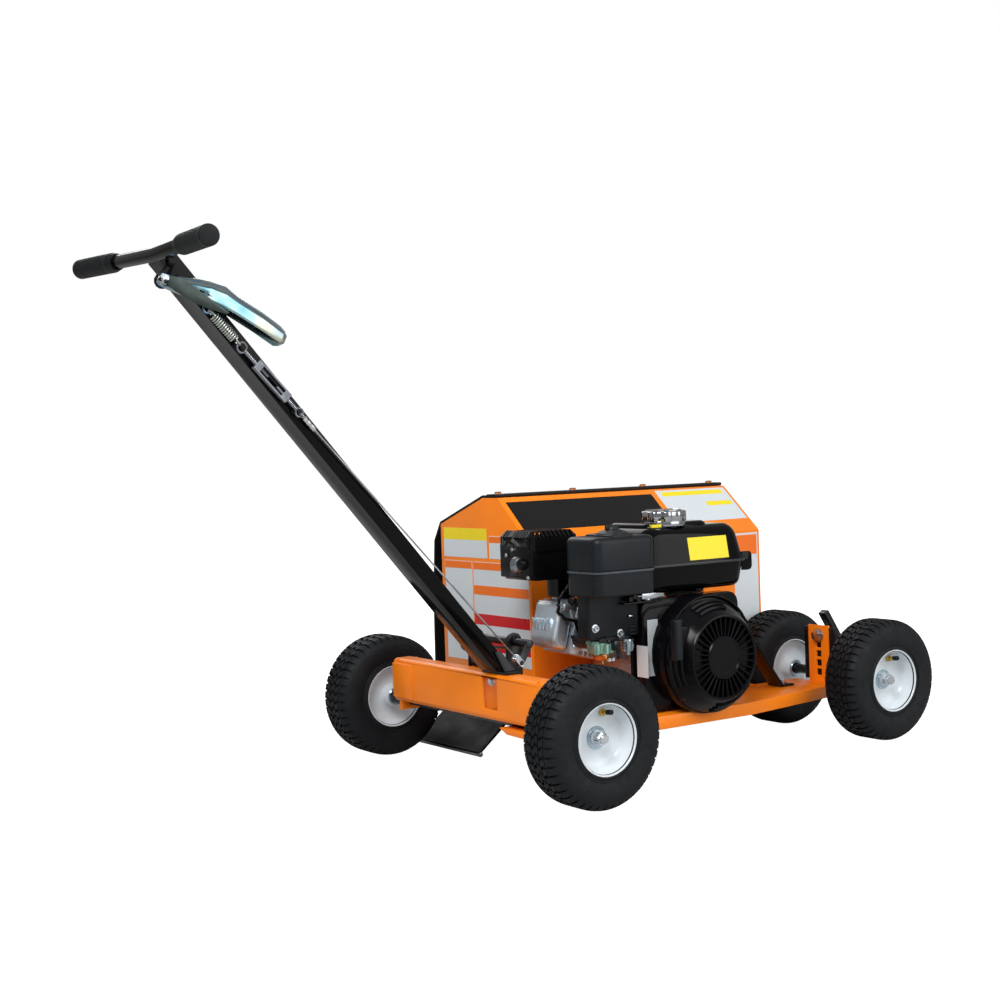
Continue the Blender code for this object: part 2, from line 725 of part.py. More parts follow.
def make_wheel(place, x, y):
    """A pneumatic tyre on a dished rim with a plain hub."""
    centre = (x, y, AXLE_Z)
    half = TYRE_WIDTH / 2
    bead = clear_radius(RIM_SEAT_RADIUS, TYRE_SIDES, 2 * GAP)
    bead_out = RIM_WIDTH / 2 - RIM_FLANGE_WIDTH - GAP
    over_flange = clear_radius(RIM_SEAT_RADIUS + RIM_FLANGE_HEIGHT, TYRE_SIDES, 2 * GAP)
    outer = [(half * 0.72, TYRE_RADIUS), (half, TYRE_RADIUS * 0.88),
             (half, TYRE_RADIUS * 0.66), (bead_out, over_flange), (bead_out, bead)]
    inner = [(bead_out - TYRE_WALL, bead), (half - TYRE_WALL, TYRE_RADIUS - 1.8 * TYRE_WALL)]
    side = outer + inner
    profile = side + [(-along, radius) for along, radius in reversed(side)]
    node(f"tyre_{place}", turn(profile, "Y", (x, y, AXLE_Z), TYRE_SIDES), "black_rubber", centre)

    bore = clear_radius(AXLE_RADIUS, RIM_SIDES, RUNNING_GAP)
    edge = RIM_WIDTH / 2
    flange = RIM_SEAT_RADIUS + RIM_FLANGE_HEIGHT
    barrel = RIM_SEAT_RADIUS - RIM_WALL
    half_rim = [(HUB_LENGTH / 2, bore), (HUB_LENGTH / 2, HUB_RADIUS),
                (RIM_DISC_THICKNESS / 2 + 0.008, HUB_RADIUS + 0.002),
                (RIM_DISC_THICKNESS / 2, HUB_RADIUS + 0.010),
                (RIM_DISC_THICKNESS / 2, barrel - 0.006), (edge - 0.006, barrel),
                (edge, barrel + 0.002), (edge, flange), (edge - RIM_FLANGE_WIDTH, flange),
                (edge - RIM_FLANGE_WIDTH, RIM_SEAT_RADIUS)]
    profile = half_rim + [(-along, radius) for along, radius in reversed(half_rim)]
    node(f"rim_{place}", turn(profile, "Y", (x, y, AXLE_Z), RIM_SIDES), "white_paint", centre)


def make_wheel_nut(place, x, y, outward):
    """A washer and nut on the end of an axle, outside a hub."""
    hub_end = y + outward * (HUB_LENGTH / 2 + GAP)
    washer_end = hub_end + outward * WHEEL_WASHER_THICKNESS
    nut_end = washer_end + outward * WHEEL_NUT_LENGTH
    bore = clear_radius(AXLE_RADIUS, AXLE_SIDES, GAP)
    if x > WHEELBASE / 2:
        bore = clear_radius(CARRIER_AXLE_RADIUS, AXLE_SIDES, GAP)
    profile = [(hub_end, bore), (hub_end, WHEEL_WASHER_RADIUS),
               (washer_end, WHEEL_WASHER_RADIUS), (washer_end, bore)]
    nut = node(f"wheel_nut_{place}", turn(profile, "Y", (x, 0, AXLE_Z), AXLE_SIDES), "zinc",
               (x, y, AXLE_Z))
    hexagon = turn([(washer_end - outward * GAP, bore), (washer_end - outward * GAP,
                    WHEEL_NUT_RADIUS + 0.003), (nut_end, WHEEL_NUT_RADIUS + 0.003),
                    (nut_end, bore)], "Y", (x, 0, AXLE_Z), AXLE_SIDES)
    facets = rod("Y", (x, 0, AXLE_Z), WHEEL_NUT_RADIUS + 0.003, min(hub_end, nut_end) - 0.01,
                 max(hub_end, nut_end) + 0.01, 6)
    nut_tool = finish_object(f"tool_hex_{place}", hexagon, nut.location)
    limit = finish_object(f"tool_facets_{place}", facets, nut.location)
    for tool in (nut_tool, limit):
        tool.hide_render = True
        tool.hide_set(True)
        tool.display_type = "WIRE"
    shaping = nut_tool.modifiers.new("facets", "BOOLEAN")
    shaping.operation = "INTERSECT"
    shaping.object = limit
    joining = nut.modifiers.new("hexagon", "BOOLEAN")
    joining.operation = "UNION"
    joining.object = nut_tool


def make_rear_axle():
    """The rear axle with a collar inside each wheel."""
    inner = HALF_TRACK - HUB_LENGTH / 2 - GAP
    outer = (HALF_TRACK + HUB_LENGTH / 2 + 2 * GAP + WHEEL_WASHER_THICKNESS + WHEEL_NUT_LENGTH)
    collar = BEAM_LENGTH / 2 - AXLE_PLATE_INSET + GAP
    half = [(inner - 0.030, AXLE_RADIUS), (inner - 0.030, AXLE_COLLAR_RADIUS),
            (inner, AXLE_COLLAR_RADIUS), (inner, AXLE_RADIUS), (outer, AXLE_RADIUS), (outer, 0)]
    if collar < inner - 0.030:
        half = [(collar, AXLE_RADIUS), (collar, AXLE_COLLAR_RADIUS)] + half[2:]
    profile = [(-along, radius) for along, radius in reversed(half)] + half
    node("rear_axle", turn(profile, "Y", (0, 0, AXLE_Z), AXLE_SIDES), "steel", (0, 0, AXLE_Z))


def make_rear_beam():
    """The channel across the rear, its axle plates, window and far doubler."""
    inside_rear = BEAM_REAR_X + BEAM_SHEET
    outer = []
    for centre_z, begin in ((BEAM_TOP_Z - BEAM_BEND, math.pi / 2),
                            (BEAM_BOTTOM_Z + BEAM_BEND, math.pi)):
        for k in range(4):
            angle = begin + math.pi / 2 * k / 3
            outer.append((BEAM_REAR_X + BEAM_BEND + BEAM_BEND * math.cos(angle),
                          centre_z + BEAM_BEND * math.sin(angle)))
    inner = [(BEAM_REAR_X + BEAM_BOTTOM_FLANGE, BEAM_BOTTOM_Z),
             (BEAM_REAR_X + BEAM_BOTTOM_FLANGE, BEAM_BOTTOM_Z + BEAM_SHEET),
             (inside_rear, BEAM_BOTTOM_Z + BEAM_SHEET), (inside_rear, BEAM_TOP_Z - BEAM_SHEET),
             (BEAM_REAR_X + BEAM_TOP_FLANGE, BEAM_TOP_Z - BEAM_SHEET),
             (BEAM_REAR_X + BEAM_TOP_FLANGE, BEAM_TOP_Z)]
    half = BEAM_LENGTH / 2
    beam = node("rear_beam", prism(outer + inner, "Y", -half, half), "orange_paint")
    for sign in (-1, 1):
        outside = sign * (half - AXLE_PLATE_INSET)
        inside = outside - sign * AXLE_PLATE_THICKNESS
        low, high = sorted((inside, outside))
        join(beam, block((inside_rear - 0.001, low, AXLE_Z - 0.016),
                         (AXLE_PLATE_REACH, high, BEAM_TOP_Z - 0.001)))
    join(beam, block((BEAM_REAR_X - DOUBLER_THICKNESS, half - DOUBLER_WIDTH,
                      BEAM_BOTTOM_Z + BEAM_BEND),
                     (BEAM_REAR_X + 0.001, half, BEAM_TOP_Z - BEAM_BEND)))
    axle_hole = clear_radius(AXLE_RADIUS, AXLE_SIDES, GAP)
    cut(beam, rod("Y", (0, 0, AXLE_Z), axle_hole, -half - 0.01, half + 0.01, AXLE_SIDES))
    window_top = BEAM_TOP_Z - BEAM_WINDOW_TOP
    cut(beam, block((BEAM_REAR_X - 0.01, BEAM_WINDOW_MIDDLE_Y - BEAM_WINDOW_WIDTH / 2,
                     window_top - BEAM_WINDOW_HEIGHT),
                    (inside_rear + 0.001, BEAM_WINDOW_MIDDLE_Y + BEAM_WINDOW_WIDTH / 2,
                     window_top - BEAM_SHEET + BEAM_WINDOW_TOP)))


def make_deck():
    """The deck tray under the engine, with the two rails that reach back to the beam."""
    far = GUARD_NEAR_Y - GAP
    outline = [(DECK_REAR_X, DECK_NEAR_Y), (DECK_TAPER_X, DECK_NEAR_Y),
               (DECK_FRONT_X, DECK_FRONT_NEAR_Y), (DECK_FRONT_X, DECK_NOTCH_Y),
               (DECK_NOTCH_X, DECK_NOTCH_Y), (DECK_NOTCH_X, far), (DECK_REAR_X, far)]
    bottom = DECK_TOP_Z - DECK_LIP
    deck = node("deck_plate", prism(outline, "Z", bottom, DECK_TOP_Z), "orange_paint")
    cut(deck, prism(inset(outline, DECK_SHEET), "Z", bottom - 0.01, DECK_TOP_Z - DECK_SHEET))
    beam_front = BEAM_REAR_X + BEAM_SHEET + GAP
    top = BEAM_TOP_Z - BEAM_SHEET - GAP
    low = BEAM_BOTTOM_Z + BEAM_SHEET + GAP
    axle_clear = AXLE_Z + AXLE_RADIUS + 2 * GAP
    for y in (RAIL_NEAR_Y, RAIL_FAR_Y):
        rail = [(beam_front, axle_clear + 0.004), (0.016, axle_clear + 0.004),
                (0.030, AXLE_Z), (DECK_REAR_X + 0.002, DECK_TOP_Z - 0.002),
                (RAIL_FRONT_X, DECK_TOP_Z - 0.002), (RAIL_FRONT_X, DECK_TOP_Z + 0.006),
                (CROSS_SHAFT.x + 0.030, top - 0.012), (CROSS_SHAFT.x + 0.014, top),
                (beam_front, top)]
        join(deck, prism(rail, "Y", y, y + RAIL_THICKNESS))
    join(deck, block((beam_front, RAIL_NEAR_Y, low), (beam_front + 0.006,
                     RAIL_NEAR_Y + RAIL_THICKNESS, axle_clear + 0.010)))


def make_clutch_bracket():
    """The black bracket that carries the clutch cross shaft between two ears."""
    near = RAIL_NEAR_Y - GAP
    far = RAIL_FAR_Y + RAIL_THICKNESS + GAP
    low = BEAM_TOP_Z - 0.045
    ear = [(CROSS_SHAFT.x - RAIL_EAR_RADIUS, low), (CROSS_SHAFT.x + RAIL_EAR_RADIUS, low)]
    for k in range(7):
        angle = math.pi * k / 6
        ear.append((CROSS_SHAFT.x + RAIL_EAR_RADIUS * math.cos(angle),
                    CROSS_SHAFT.z + RAIL_EAR_RADIUS * math.sin(angle)))
    bracket = node("clutch_bracket", prism(ear, "Y", near - RAIL_THICKNESS, near),
                   "black_paint")
    join(bracket, prism(ear, "Y", far, far + RAIL_THICKNESS))
    bridge = BEAM_TOP_Z - BEAM_SHEET
    join(bracket, block((CROSS_SHAFT.x - 0.012, near - 0.003, bridge),
                        (CROSS_SHAFT.x + 0.012, far + 0.003, bridge + 0.006)))
    bore = clear_radius(CROSS_SHAFT_RADIUS, 12, RUNNING_GAP)
    cut(bracket, rod("Y", CROSS_SHAFT, bore, near - 0.02, far + 0.02))


def guard_outline(grow):
    """The guard's section in Y and Z, with its lower edge left open, offset by a distance."""
    lean = math.hypot(GUARD_TOP_NEAR_Y - GUARD_NEAR_Y, GUARD_TOP_Z - GUARD_SHOULDER_Z)
    near_tan = (lean - (GUARD_TOP_Z - GUARD_SHOULDER_Z)) / (GUARD_TOP_NEAR_Y - GUARD_NEAR_Y)
    top_tan = (lean - (GUARD_TOP_NEAR_Y - GUARD_NEAR_Y)) / (GUARD_TOP_Z - GUARD_SHOULDER_Z)
    fall = math.hypot(GUARD_FAR_Y - GUARD_TOP_FAR_Y, GUARD_TOP_Z - GUARD_FAR_Z)
    far_tan = (fall - (GUARD_FAR_Y - GUARD_TOP_FAR_Y)) / (GUARD_TOP_Z - GUARD_FAR_Z)
    slope_y = (GUARD_TOP_Z - GUARD_FAR_Z) / fall
    slope_z = (GUARD_FAR_Y - GUARD_TOP_FAR_Y) / fall
    return [(GUARD_NEAR_Y - grow, GUARD_SHOULDER_Z + grow * near_tan),
            (GUARD_TOP_NEAR_Y - grow * top_tan, GUARD_TOP_Z + grow),
            (GUARD_TOP_FAR_Y + grow * far_tan, GUARD_TOP_Z + grow),
            (GUARD_FAR_Y + grow * slope_y, GUARD_FAR_Z + grow * slope_z)]


def make_rotor_guard():
    """The sheet guard over the rotor: near wall, roof and two end walls."""
    roof = guard_outline(0)
    under = guard_outline(-GUARD_SHEET)
    lower_near = (GUARD_NEAR_Y, GUARD_BOTTOM_Z)
    shell = [lower_near, (GUARD_NEAR_Y + GUARD_SHEET, GUARD_BOTTOM_Z)]
    shell = shell + under + list(reversed(roof))
    guard = node("rotor_guard", prism(shell, "X", GUARD_REAR_X, GUARD_FRONT_X), "orange_paint")
    end = [lower_near] + roof + [(GUARD_FAR_Y, GUARD_END_BOTTOM_Z),
                                 (GUARD_NOTCH_Y, GUARD_END_BOTTOM_Z)]
    join(guard, prism(end, "X", GUARD_REAR_X, GUARD_REAR_X + GUARD_SHEET))
    join(guard, prism(end, "X", GUARD_FRONT_X - GUARD_SHEET, GUARD_FRONT_X))
    for x, y in flap_bolt_places():
        join(guard, rod("Z", (x, y, 0), FLAP_BOLT_RADIUS, GUARD_TOP_Z - 0.001,
                        GUARD_TOP_Z + 2 * GAP + FLAP_THICKNESS + 0.002, 8))
        join(guard, rod("Z", (x, y, 0), FLAP_BOLT_HEAD_RADIUS, GUARD_TOP_Z + 2 * GAP
                        + FLAP_THICKNESS, GUARD_TOP_Z + 2 * GAP + FLAP_THICKNESS
                        + FLAP_BOLT_HEAD_HEIGHT, 6))
    wall = (GUARD_NEAR_Y - 0.01, GUARD_NEAR_Y + GUARD_SHEET + 0.001)
    cut(guard, rod("Y", CRANK, CRANK_RADIUS + 0.006, *wall))
    share = (GUARD_REAR_X - LINK_REAR.x) / (LINK_FRONT.x - LINK_REAR.x)
    window_z = LINK_REAR.z + (LINK_FRONT.z - LINK_REAR.z) * share
    cut(guard, block((GUARD_REAR_X - 0.01, LINK_Y - 0.010, window_z - 0.008),
                     (GUARD_REAR_X + GUARD_SHEET + 0.001, LINK_Y + 0.010, window_z + 0.008)))


def flap_bolt_places():
    """Middles of the bolts that hold the flap on the guard's flat top."""
    first = GUARD_REAR_X + FLAP_BOLT_INSET
    pitch = (GUARD_FRONT_X - FLAP_BOLT_INSET - first) / (FLAP_BOLT_COUNT - 1)
    y = (GUARD_TOP_NEAR_Y + GUARD_TOP_FAR_Y) / 2
    return [(first + pitch * k, y) for k in range(FLAP_BOLT_COUNT)]


def make_discharge_flap():
    """The rubber sheet that lies on the roof and hangs down the far side."""
    roof = guard_outline(GAP)
    inner = [(GUARD_TOP_FAR_Y - FLAP_TOP_LAP, GUARD_TOP_Z + GAP), roof[2], roof[3]]
    drop = [(0.6, 0.10), (0.9, 0.45), (1.0, 1.0)]
    height = GUARD_FAR_Z - FLAP_BOTTOM_Z
    inner += [(roof[3][0] + GAP + FLAP_SWELL * across, GUARD_FAR_Z - height * down)
              for across, down in drop]
    side = []
    for k, point in enumerate(inner):
        before = Vector(inner[max(k - 1, 0)])
        after = Vector(inner[min(k + 1, len(inner) - 1)])
        run = (after - before).normalized()
        out = Vector((-run.y, run.x)) * FLAP_THICKNESS
        if out.x + out.y < 0:
            out = -out
        side.append((point[0] + out.x, point[1] + out.y))
    flap = node("discharge_flap", prism(inner + list(reversed(side)), "X",
                                        GUARD_REAR_X, GUARD_FRONT_X), "black_rubber")
    for x, y in flap_bolt_places():
        cut(flap, rod("Z", (x, y, 0), FLAP_BOLT_RADIUS + 0.0005, GUARD_TOP_Z - 0.01,
                      GUARD_TOP_Z + 0.02, 8))


def make_trailing_deflector():
    """The plate that hangs behind the guard's rear wall, with a bar along its lower edge."""
    top = Vector((GUARD_REAR_X - GAP, DEFLECTOR_DROP + 0.014))
    foot = Vector((GUARD_REAR_X - DEFLECTOR_REACH, top.y - DEFLECTOR_DROP))
    run = (foot - top).normalized()
    out = Vector((-run.y, run.x)) * DEFLECTOR_THICKNESS
    outline = [(top.x, top.y + 0.018), (top.x, top.y - 0.004), tuple(foot),
               tuple(foot - out), (top.x - DEFLECTOR_THICKNESS, top.y + 0.002),
               (top.x - DEFLECTOR_THICKNESS, top.y + 0.018)]
    plate = node("trailing_deflector", prism(outline, "Y", DEFLECTOR_NEAR_Y, DEFLECTOR_FAR_Y),
                 "black_plastic")
    join(plate, rod("Y", (foot.x, 0, foot.y), DEFLECTOR_BAR_RADIUS, DEFLECTOR_NEAR_Y - 0.002,
                    DEFLECTOR_FAR_Y + 0.002, 10))


def make_front_upright():
    """The plate at the deck's front, with a row of square holes."""
    rear = DECK_FRONT_X + GAP
    front = rear + UPRIGHT_THICKNESS
    bottom = DECK_TOP_Z - DECK_LIP
    upright = node("front_upright", block((rear, UPRIGHT_NEAR_Y, bottom),
                                          (front, UPRIGHT_FAR_Y, UPRIGHT_TOP_Z)),
                   "orange_paint")
    for k in range(HOLE_COUNT):
        middle = (UPRIGHT_NEAR_Y + UPRIGHT_FAR_Y) / 2
        height = HOLE_TOP_Z - k * HOLE_PITCH
        cut(upright, block((rear - 0.01, middle - HOLE_WIDTH / 2, height - HOLE_HEIGHT / 2),
                           (front + 0.01, middle + HOLE_WIDTH / 2, height + HOLE_HEIGHT / 2)))


def make_front_carrier():
    """The sliding wheel carrier: plate, axle and forward strut."""
    rear = DECK_FRONT_X + 2 * GAP + UPRIGHT_THICKNESS
    front = rear + CARRIER_PLATE_THICKNESS
    near = UPRIGHT_NEAR_Y - CARRIER_OVERHANG
    far = UPRIGHT_FAR_Y + CARRIER_OVERHANG
    middle = (UPRIGHT_NEAR_Y + UPRIGHT_FAR_Y) / 2
    top = HOLE_TOP_Z + CARRIER_ABOVE_HOLE
    low = AXLE_Z - 0.014
    carrier = node("front_axle_carrier", block((rear, near, low), (front, far, top)),
                   "black_paint", (WHEELBASE, middle, AXLE_Z))
    for low_y, high_y in ((near, UPRIGHT_NEAR_Y - GAP), (UPRIGHT_FAR_Y + GAP, far)):
        join(carrier, block((rear - CARRIER_LIP, low_y, low), (rear + 0.001, high_y, top)))
    nut_reach = HUB_LENGTH / 2 + 2 * GAP + WHEEL_WASHER_THICKNESS + WHEEL_NUT_LENGTH
    ends = (FRONT_NEAR_Y - nut_reach, FRONT_FAR_Y + nut_reach)
    inner = (FRONT_NEAR_Y + HUB_LENGTH / 2 + GAP, FRONT_FAR_Y - HUB_LENGTH / 2 - GAP)
    axle = [(ends[0], 0), (ends[0], CARRIER_AXLE_RADIUS), (inner[0], CARRIER_AXLE_RADIUS),
            (inner[0], AXLE_COLLAR_RADIUS), (inner[0] + 0.012, AXLE_COLLAR_RADIUS),
            (inner[0] + 0.012, CARRIER_AXLE_RADIUS), (inner[1] - 0.012, CARRIER_AXLE_RADIUS),
            (inner[1] - 0.012, AXLE_COLLAR_RADIUS), (inner[1], AXLE_COLLAR_RADIUS),
            (inner[1], CARRIER_AXLE_RADIUS), (ends[1], CARRIER_AXLE_RADIUS), (ends[1], 0)]
    join(carrier, turn(axle, "Y", (WHEELBASE, 0, AXLE_Z), AXLE_SIDES))
    foot = Vector((WHEELBASE + STRUT_FOOT_AHEAD, middle, AXLE_Z))
    join(carrier, bar((WHEELBASE - 0.004, middle, AXLE_Z), foot, 0, 0, (0.010, STRUT_WIDTH)))
    join(carrier, bar((front + 0.006, middle, STRUT_TOP_Z), foot + Vector((-0.004, 0, 0)), 0, 0,
                      (STRUT_THICKNESS, STRUT_WIDTH)))
    clear = DEPTH_BOLT_RADIUS + 0.001
    cut(carrier, block((rear - 0.01, middle - clear, HOLE_TOP_Z - clear),
                       (front + 0.001, middle + clear, STRUT_TOP_Z + 0.03)))


def make_depth_bolt():
    """The bolt and washer at the upright's top hole, whose shank holds the carrier's notch."""
    middle = (UPRIGHT_NEAR_Y + UPRIGHT_FAR_Y) / 2
    centre = (0, middle, HOLE_TOP_Z)
    rear = DECK_FRONT_X
    washer = rear - DEPTH_BOLT_WASHER_THICKNESS
    head = washer - DEPTH_BOLT_HEAD_HEIGHT
    front = DECK_FRONT_X + 2 * GAP + UPRIGHT_THICKNESS + CARRIER_PLATE_THICKNESS
    bolt = node("depth_bolt", rod("X", centre, DEPTH_BOLT_HEAD_RADIUS, head, washer + 0.001, 6),
                "zinc", (rear, middle, HOLE_TOP_Z))
    join(bolt, rod("X", centre, DEPTH_BOLT_WASHER_RADIUS, washer, rear, 20))
    join(bolt, rod("X", centre, DEPTH_BOLT_RADIUS, washer + 0.001, front, 12))


def swept_back(shape, side):
    """Half of the cross bar or a grip turned back about the handle's top; side is -1 near."""
    bmesh.ops.rotate(shape, cent=HANDLE_TOP, verts=shape.verts,
                     matrix=Matrix.Rotation(side * T_BAR_SWEEP, 3, "Z"))
    return shape


def make_handle():
    """The leaning tube with its lever lug, its foot bracket and the cross bar."""
    half_width = HANDLE_WIDTH / 2
    base = HANDLE_BASE + Vector((0, 0, GAP))
    across = HANDLE_DEPTH / 2 / math.sin(HANDLE_ANGLE)
    rear_low = (base.x - across, base.z)
    front_low = (base.x + across, base.z)
    end = HANDLE_TOP - ALONG_HANDLE * (T_BAR_RADIUS + GAP)
    rear_high = end - ACROSS_HANDLE * HANDLE_DEPTH / 2
    front_high = end + ACROSS_HANDLE * HANDLE_DEPTH / 2
    side = [rear_low, front_low, (front_high.x, front_high.z), (rear_high.x, rear_high.z)]
    tube = node("handle_tube", prism(side, "Y", HANDLE_Y - half_width, HANDLE_Y + half_width),
                "black_paint")
    wall = HANDLE_BEND
    hollow = inset(side, wall)
    stretch = ALONG_HANDLE * 0.02
    inner = [(hollow[0][0] - stretch.x, hollow[0][1] - stretch.z - wall),
             (hollow[1][0] - stretch.x, hollow[1][1] - stretch.z - wall),
             (hollow[2][0] + stretch.x, hollow[2][1] + stretch.z),
             (hollow[3][0] + stretch.x, hollow[3][1] + stretch.z)]
    cut(tube, prism(inner, "Y", HANDLE_Y - half_width + wall, HANDLE_Y + half_width - wall))
    rear_at_pivot = LEVER_PIVOT + ACROSS_HANDLE * (LEVER_PIVOT_BEHIND + 0.002)
    lug_near = HANDLE_NEAR_Y
    join(tube, bar(tuple(Vector((LEVER_PIVOT.x, lug_near + LUG_THICKNESS / 2, LEVER_PIVOT.z))),
                   tuple(Vector((rear_at_pivot.x, lug_near + LUG_THICKNESS / 2,
                                 rear_at_pivot.z))), 0, 0, (2 * LUG_RADIUS, LUG_THICKNESS)),
         rod("Y", LEVER_PIVOT, LUG_RADIUS, lug_near, lug_near + LUG_THICKNESS))
    cut(tube, rod("Y", LEVER_PIVOT, clear_radius(LEVER_PIVOT_RADIUS, 12, GAP),
                  lug_near - 0.01, lug_near + 0.02))
    bolt_place = HANDLE_TOP - ALONG_HANDLE * HANDLE_BOLT_DROP
    cut(tube, rod("Y", bolt_place, HANDLE_BOLT_RADIUS + 0.0005, HANDLE_NEAR_Y - 0.01,
                  HANDLE_NEAR_Y + HANDLE_WIDTH + 0.01, 12))

    foot_low = BEAM_TOP_Z + GAP
    foot_rear = BEAM_REAR_X + BEAM_BEND
    foot = node("handle_foot", block((foot_rear, FOOT_NEAR_Y, foot_low),
                                     (FOOT_FRONT_X, HANDLE_Y + half_width + 0.004,
                                      foot_low + FOOT_THICKNESS)), "black_paint")
    gusset_far = HANDLE_NEAR_Y - GAP
    gusset = [(base.x - 0.002, foot_low + 0.001), (FOOT_FRONT_X, foot_low + 0.001),
              (base.x - 0.010, foot_low + FOOT_GUSSET_HEIGHT),
              (base.x - 0.022, foot_low + FOOT_GUSSET_HEIGHT)]
    join(foot, prism(gusset, "Y", gusset_far - 0.004, gusset_far))

    near_half = rod("Y", HANDLE_TOP, T_BAR_RADIUS, HANDLE_Y - T_BAR_REACH, HANDLE_Y + T_BAR_LAP,
                    GRIP_SIDES, 0)
    far_half = rod("Y", HANDLE_TOP, T_BAR_RADIUS, HANDLE_Y - T_BAR_LAP, HANDLE_Y + T_BAR_REACH,
                   GRIP_SIDES, 0)
    cross_bar = node("t_bar", swept_back(near_half, -1), "black_paint")
    join(cross_bar, swept_back(far_half, 1))
    shank = [HANDLE_NEAR_Y - GAP - HANDLE_BOLT_HEAD_HEIGHT, HANDLE_NEAR_Y - GAP,
             HANDLE_NEAR_Y + HANDLE_WIDTH + GAP, HANDLE_NEAR_Y + HANDLE_WIDTH + 0.006]
    join(cross_bar, bar((HANDLE_TOP.x, HANDLE_Y, HANDLE_TOP.z),
                        tuple(bolt_place - ALONG_HANDLE * 0.006), 0, 0,
                        (HANDLE_DEPTH - 2 * wall - 2 * GAP, HANDLE_WIDTH - 2 * wall - 2 * GAP)))
    join(cross_bar, rod("Y", bolt_place, HANDLE_BOLT_RADIUS, shank[0] + 0.001, shank[3], 12))
    join(cross_bar, rod("Y", bolt_place, HANDLE_BOLT_HEAD_RADIUS, shank[0], shank[1], 6))
    join(cross_bar, rod("Y", bolt_place, HANDLE_BOLT_HEAD_RADIUS, shank[2], shank[3], 6))

    for place, inward in (("near", 1), ("far", -1)):
        end_y = HANDLE_Y - inward * T_BAR_REACH
        bore = clear_radius(T_BAR_RADIUS, GRIP_SIDES, GAP)
        outer_end = end_y - inward * (GRIP_WALL_END + GAP)
        inner_end = end_y + inward * GRIP_LENGTH
        profile = [(outer_end, 0), (outer_end, GRIP_RADIUS - GRIP_EDGE),
                   (outer_end + inward * GRIP_EDGE, GRIP_RADIUS),
                   (inner_end - inward * GRIP_SHOULDER, GRIP_RADIUS),
                   (inner_end, bore + 0.0015), (inner_end, bore),
                   (end_y - inward * GAP, bore), (end_y - inward * GAP, 0)]
        grip = turn(profile, "Y", square_to("Y", HANDLE_TOP), GRIP_SIDES)
        node(f"grip_{place}", swept_back(grip, -inward), "black_rubber")


def lever_section(along, low, high, depth):
    """One cross section of the lever: lower flange, near wall and upper inclined band."""
    near = LEVER_FAR_Y - depth
    height = high - low
    edge = LEVER_FAR_Y - LEVER_SHEET
    rows = [(low, edge), (low + 0.10 * height, near + 0.0015),
            (low + 0.16 * height, near), (low + 0.56 * height, near),
            (high - 0.10 * height, near + 0.62 * depth), (high, edge)]
    points = []
    for across, y in rows:
        place = LEVER_PIVOT + LEVER_ALONG * along + LEVER_UP * across
        points.append(Vector((place.x, y, place.z)))
    return points


def make_clutch_lever():
    """The folded sheet lever: flat ear at the pivot, then a trough that the hand closes on."""
    flat = 3 * LEVER_SHEET
    length = LEVER_LENGTH
    stations = [(-0.010, -0.007, 0.007, flat), (-0.004, -0.0105, 0.0105, flat),
                (0.012, -0.010, 0.013, flat + 0.001), (0.032, -0.008, 0.022, 0.6 * LEVER_DEPTH),
                (0.066, -0.005, 0.0345, LEVER_DEPTH), (0.092, -0.004, 0.0380, LEVER_DEPTH),
                (0.114, -0.0035, 0.0320, LEVER_DEPTH), (0.160, -0.0075, 0.0280, LEVER_DEPTH),
                (length - 0.008, -0.0125, 0.0215, LEVER_DEPTH), (length, -0.009, 0.018,
                                                                  LEVER_DEPTH * 0.9)]
    shape = bmesh.new()
    rings = [[shape.verts.new(point) for point in lever_section(*station)]
             for station in stations]
    for one, two in zip(rings, rings[1:]):
        for k in range(len(one) - 1):
            shape.faces.new((one[k], two[k], two[k + 1], one[k + 1]))
    bmesh.ops.recalc_face_normals(shape, faces=shape.faces)
    middle = sum((face.normal * face.calc_area() for face in shape.faces), Vector())
    if middle.y > 0:
        bmesh.ops.reverse_faces(shape, faces=shape.faces)
    lever = node("clutch_lever", shape, "zinc", tuple(LEVER_PIVOT))
    sheet = lever.modifiers.new("sheet", "SOLIDIFY")
    sheet.thickness = LEVER_SHEET
    sheet.offset = -1
    sheet.use_even_offset = True
    ear = rod("Y", LEVER_PIVOT, 0.0095, LEVER_FAR_Y - flat - 0.0005, LEVER_FAR_Y)
    join(lever, ear)
    tab_low = TAB_Y - TAB_THICKNESS / 2
    tab_high = TAB_Y + TAB_THICKNESS / 2
    neck = LINE_TOP + LEVER_UP * (TAB_BELOW - 0.0035)
    join(lever, bar(tuple(neck), tuple(LINE_TOP - LEVER_UP * 0.002), 0, 0,
                    (2 * TAB_RADIUS, TAB_THICKNESS)))
    join(lever, rod("Y", LINE_TOP, TAB_RADIUS, tab_low, tab_high))
    cut(lever, rod("Y", LINE_TOP, TAB_HOLE_RADIUS, tab_low - 0.004, tab_high + 0.004, 12))
    bore = clear_radius(LEVER_PIVOT_RADIUS, 12, RUNNING_GAP)
    cut(lever, rod("Y", LEVER_PIVOT, bore, LEVER_FAR_Y - 0.03, LEVER_FAR_Y + 0.01))

    far_end = HANDLE_NEAR_Y + LUG_THICKNESS + GAP
    near_end = LEVER_FAR_Y - flat - 0.0005 - GAP
    bolt = node("lever_pivot_bolt", rod("Y", LEVER_PIVOT, LEVER_PIVOT_RADIUS,
                                        near_end - 0.002, far_end + 0.006), "zinc",
                tuple(LEVER_PIVOT))
    join(bolt, rod("Y", LEVER_PIVOT, LEVER_BOLT_HEAD_RADIUS, near_end - LEVER_BOLT_HEAD_HEIGHT,
                   near_end, 6))
    join(bolt, rod("Y", LEVER_PIVOT, LEVER_BOLT_HEAD_RADIUS, far_end, far_end + 0.0045, 6))


def on_line(station, side=0.0, out=0.0):
    """A point by its distance down the clutch line and its offsets from it."""
    return LINE_TOP + LINE * station + LINE_SIDE * side + LINE_OUT * out


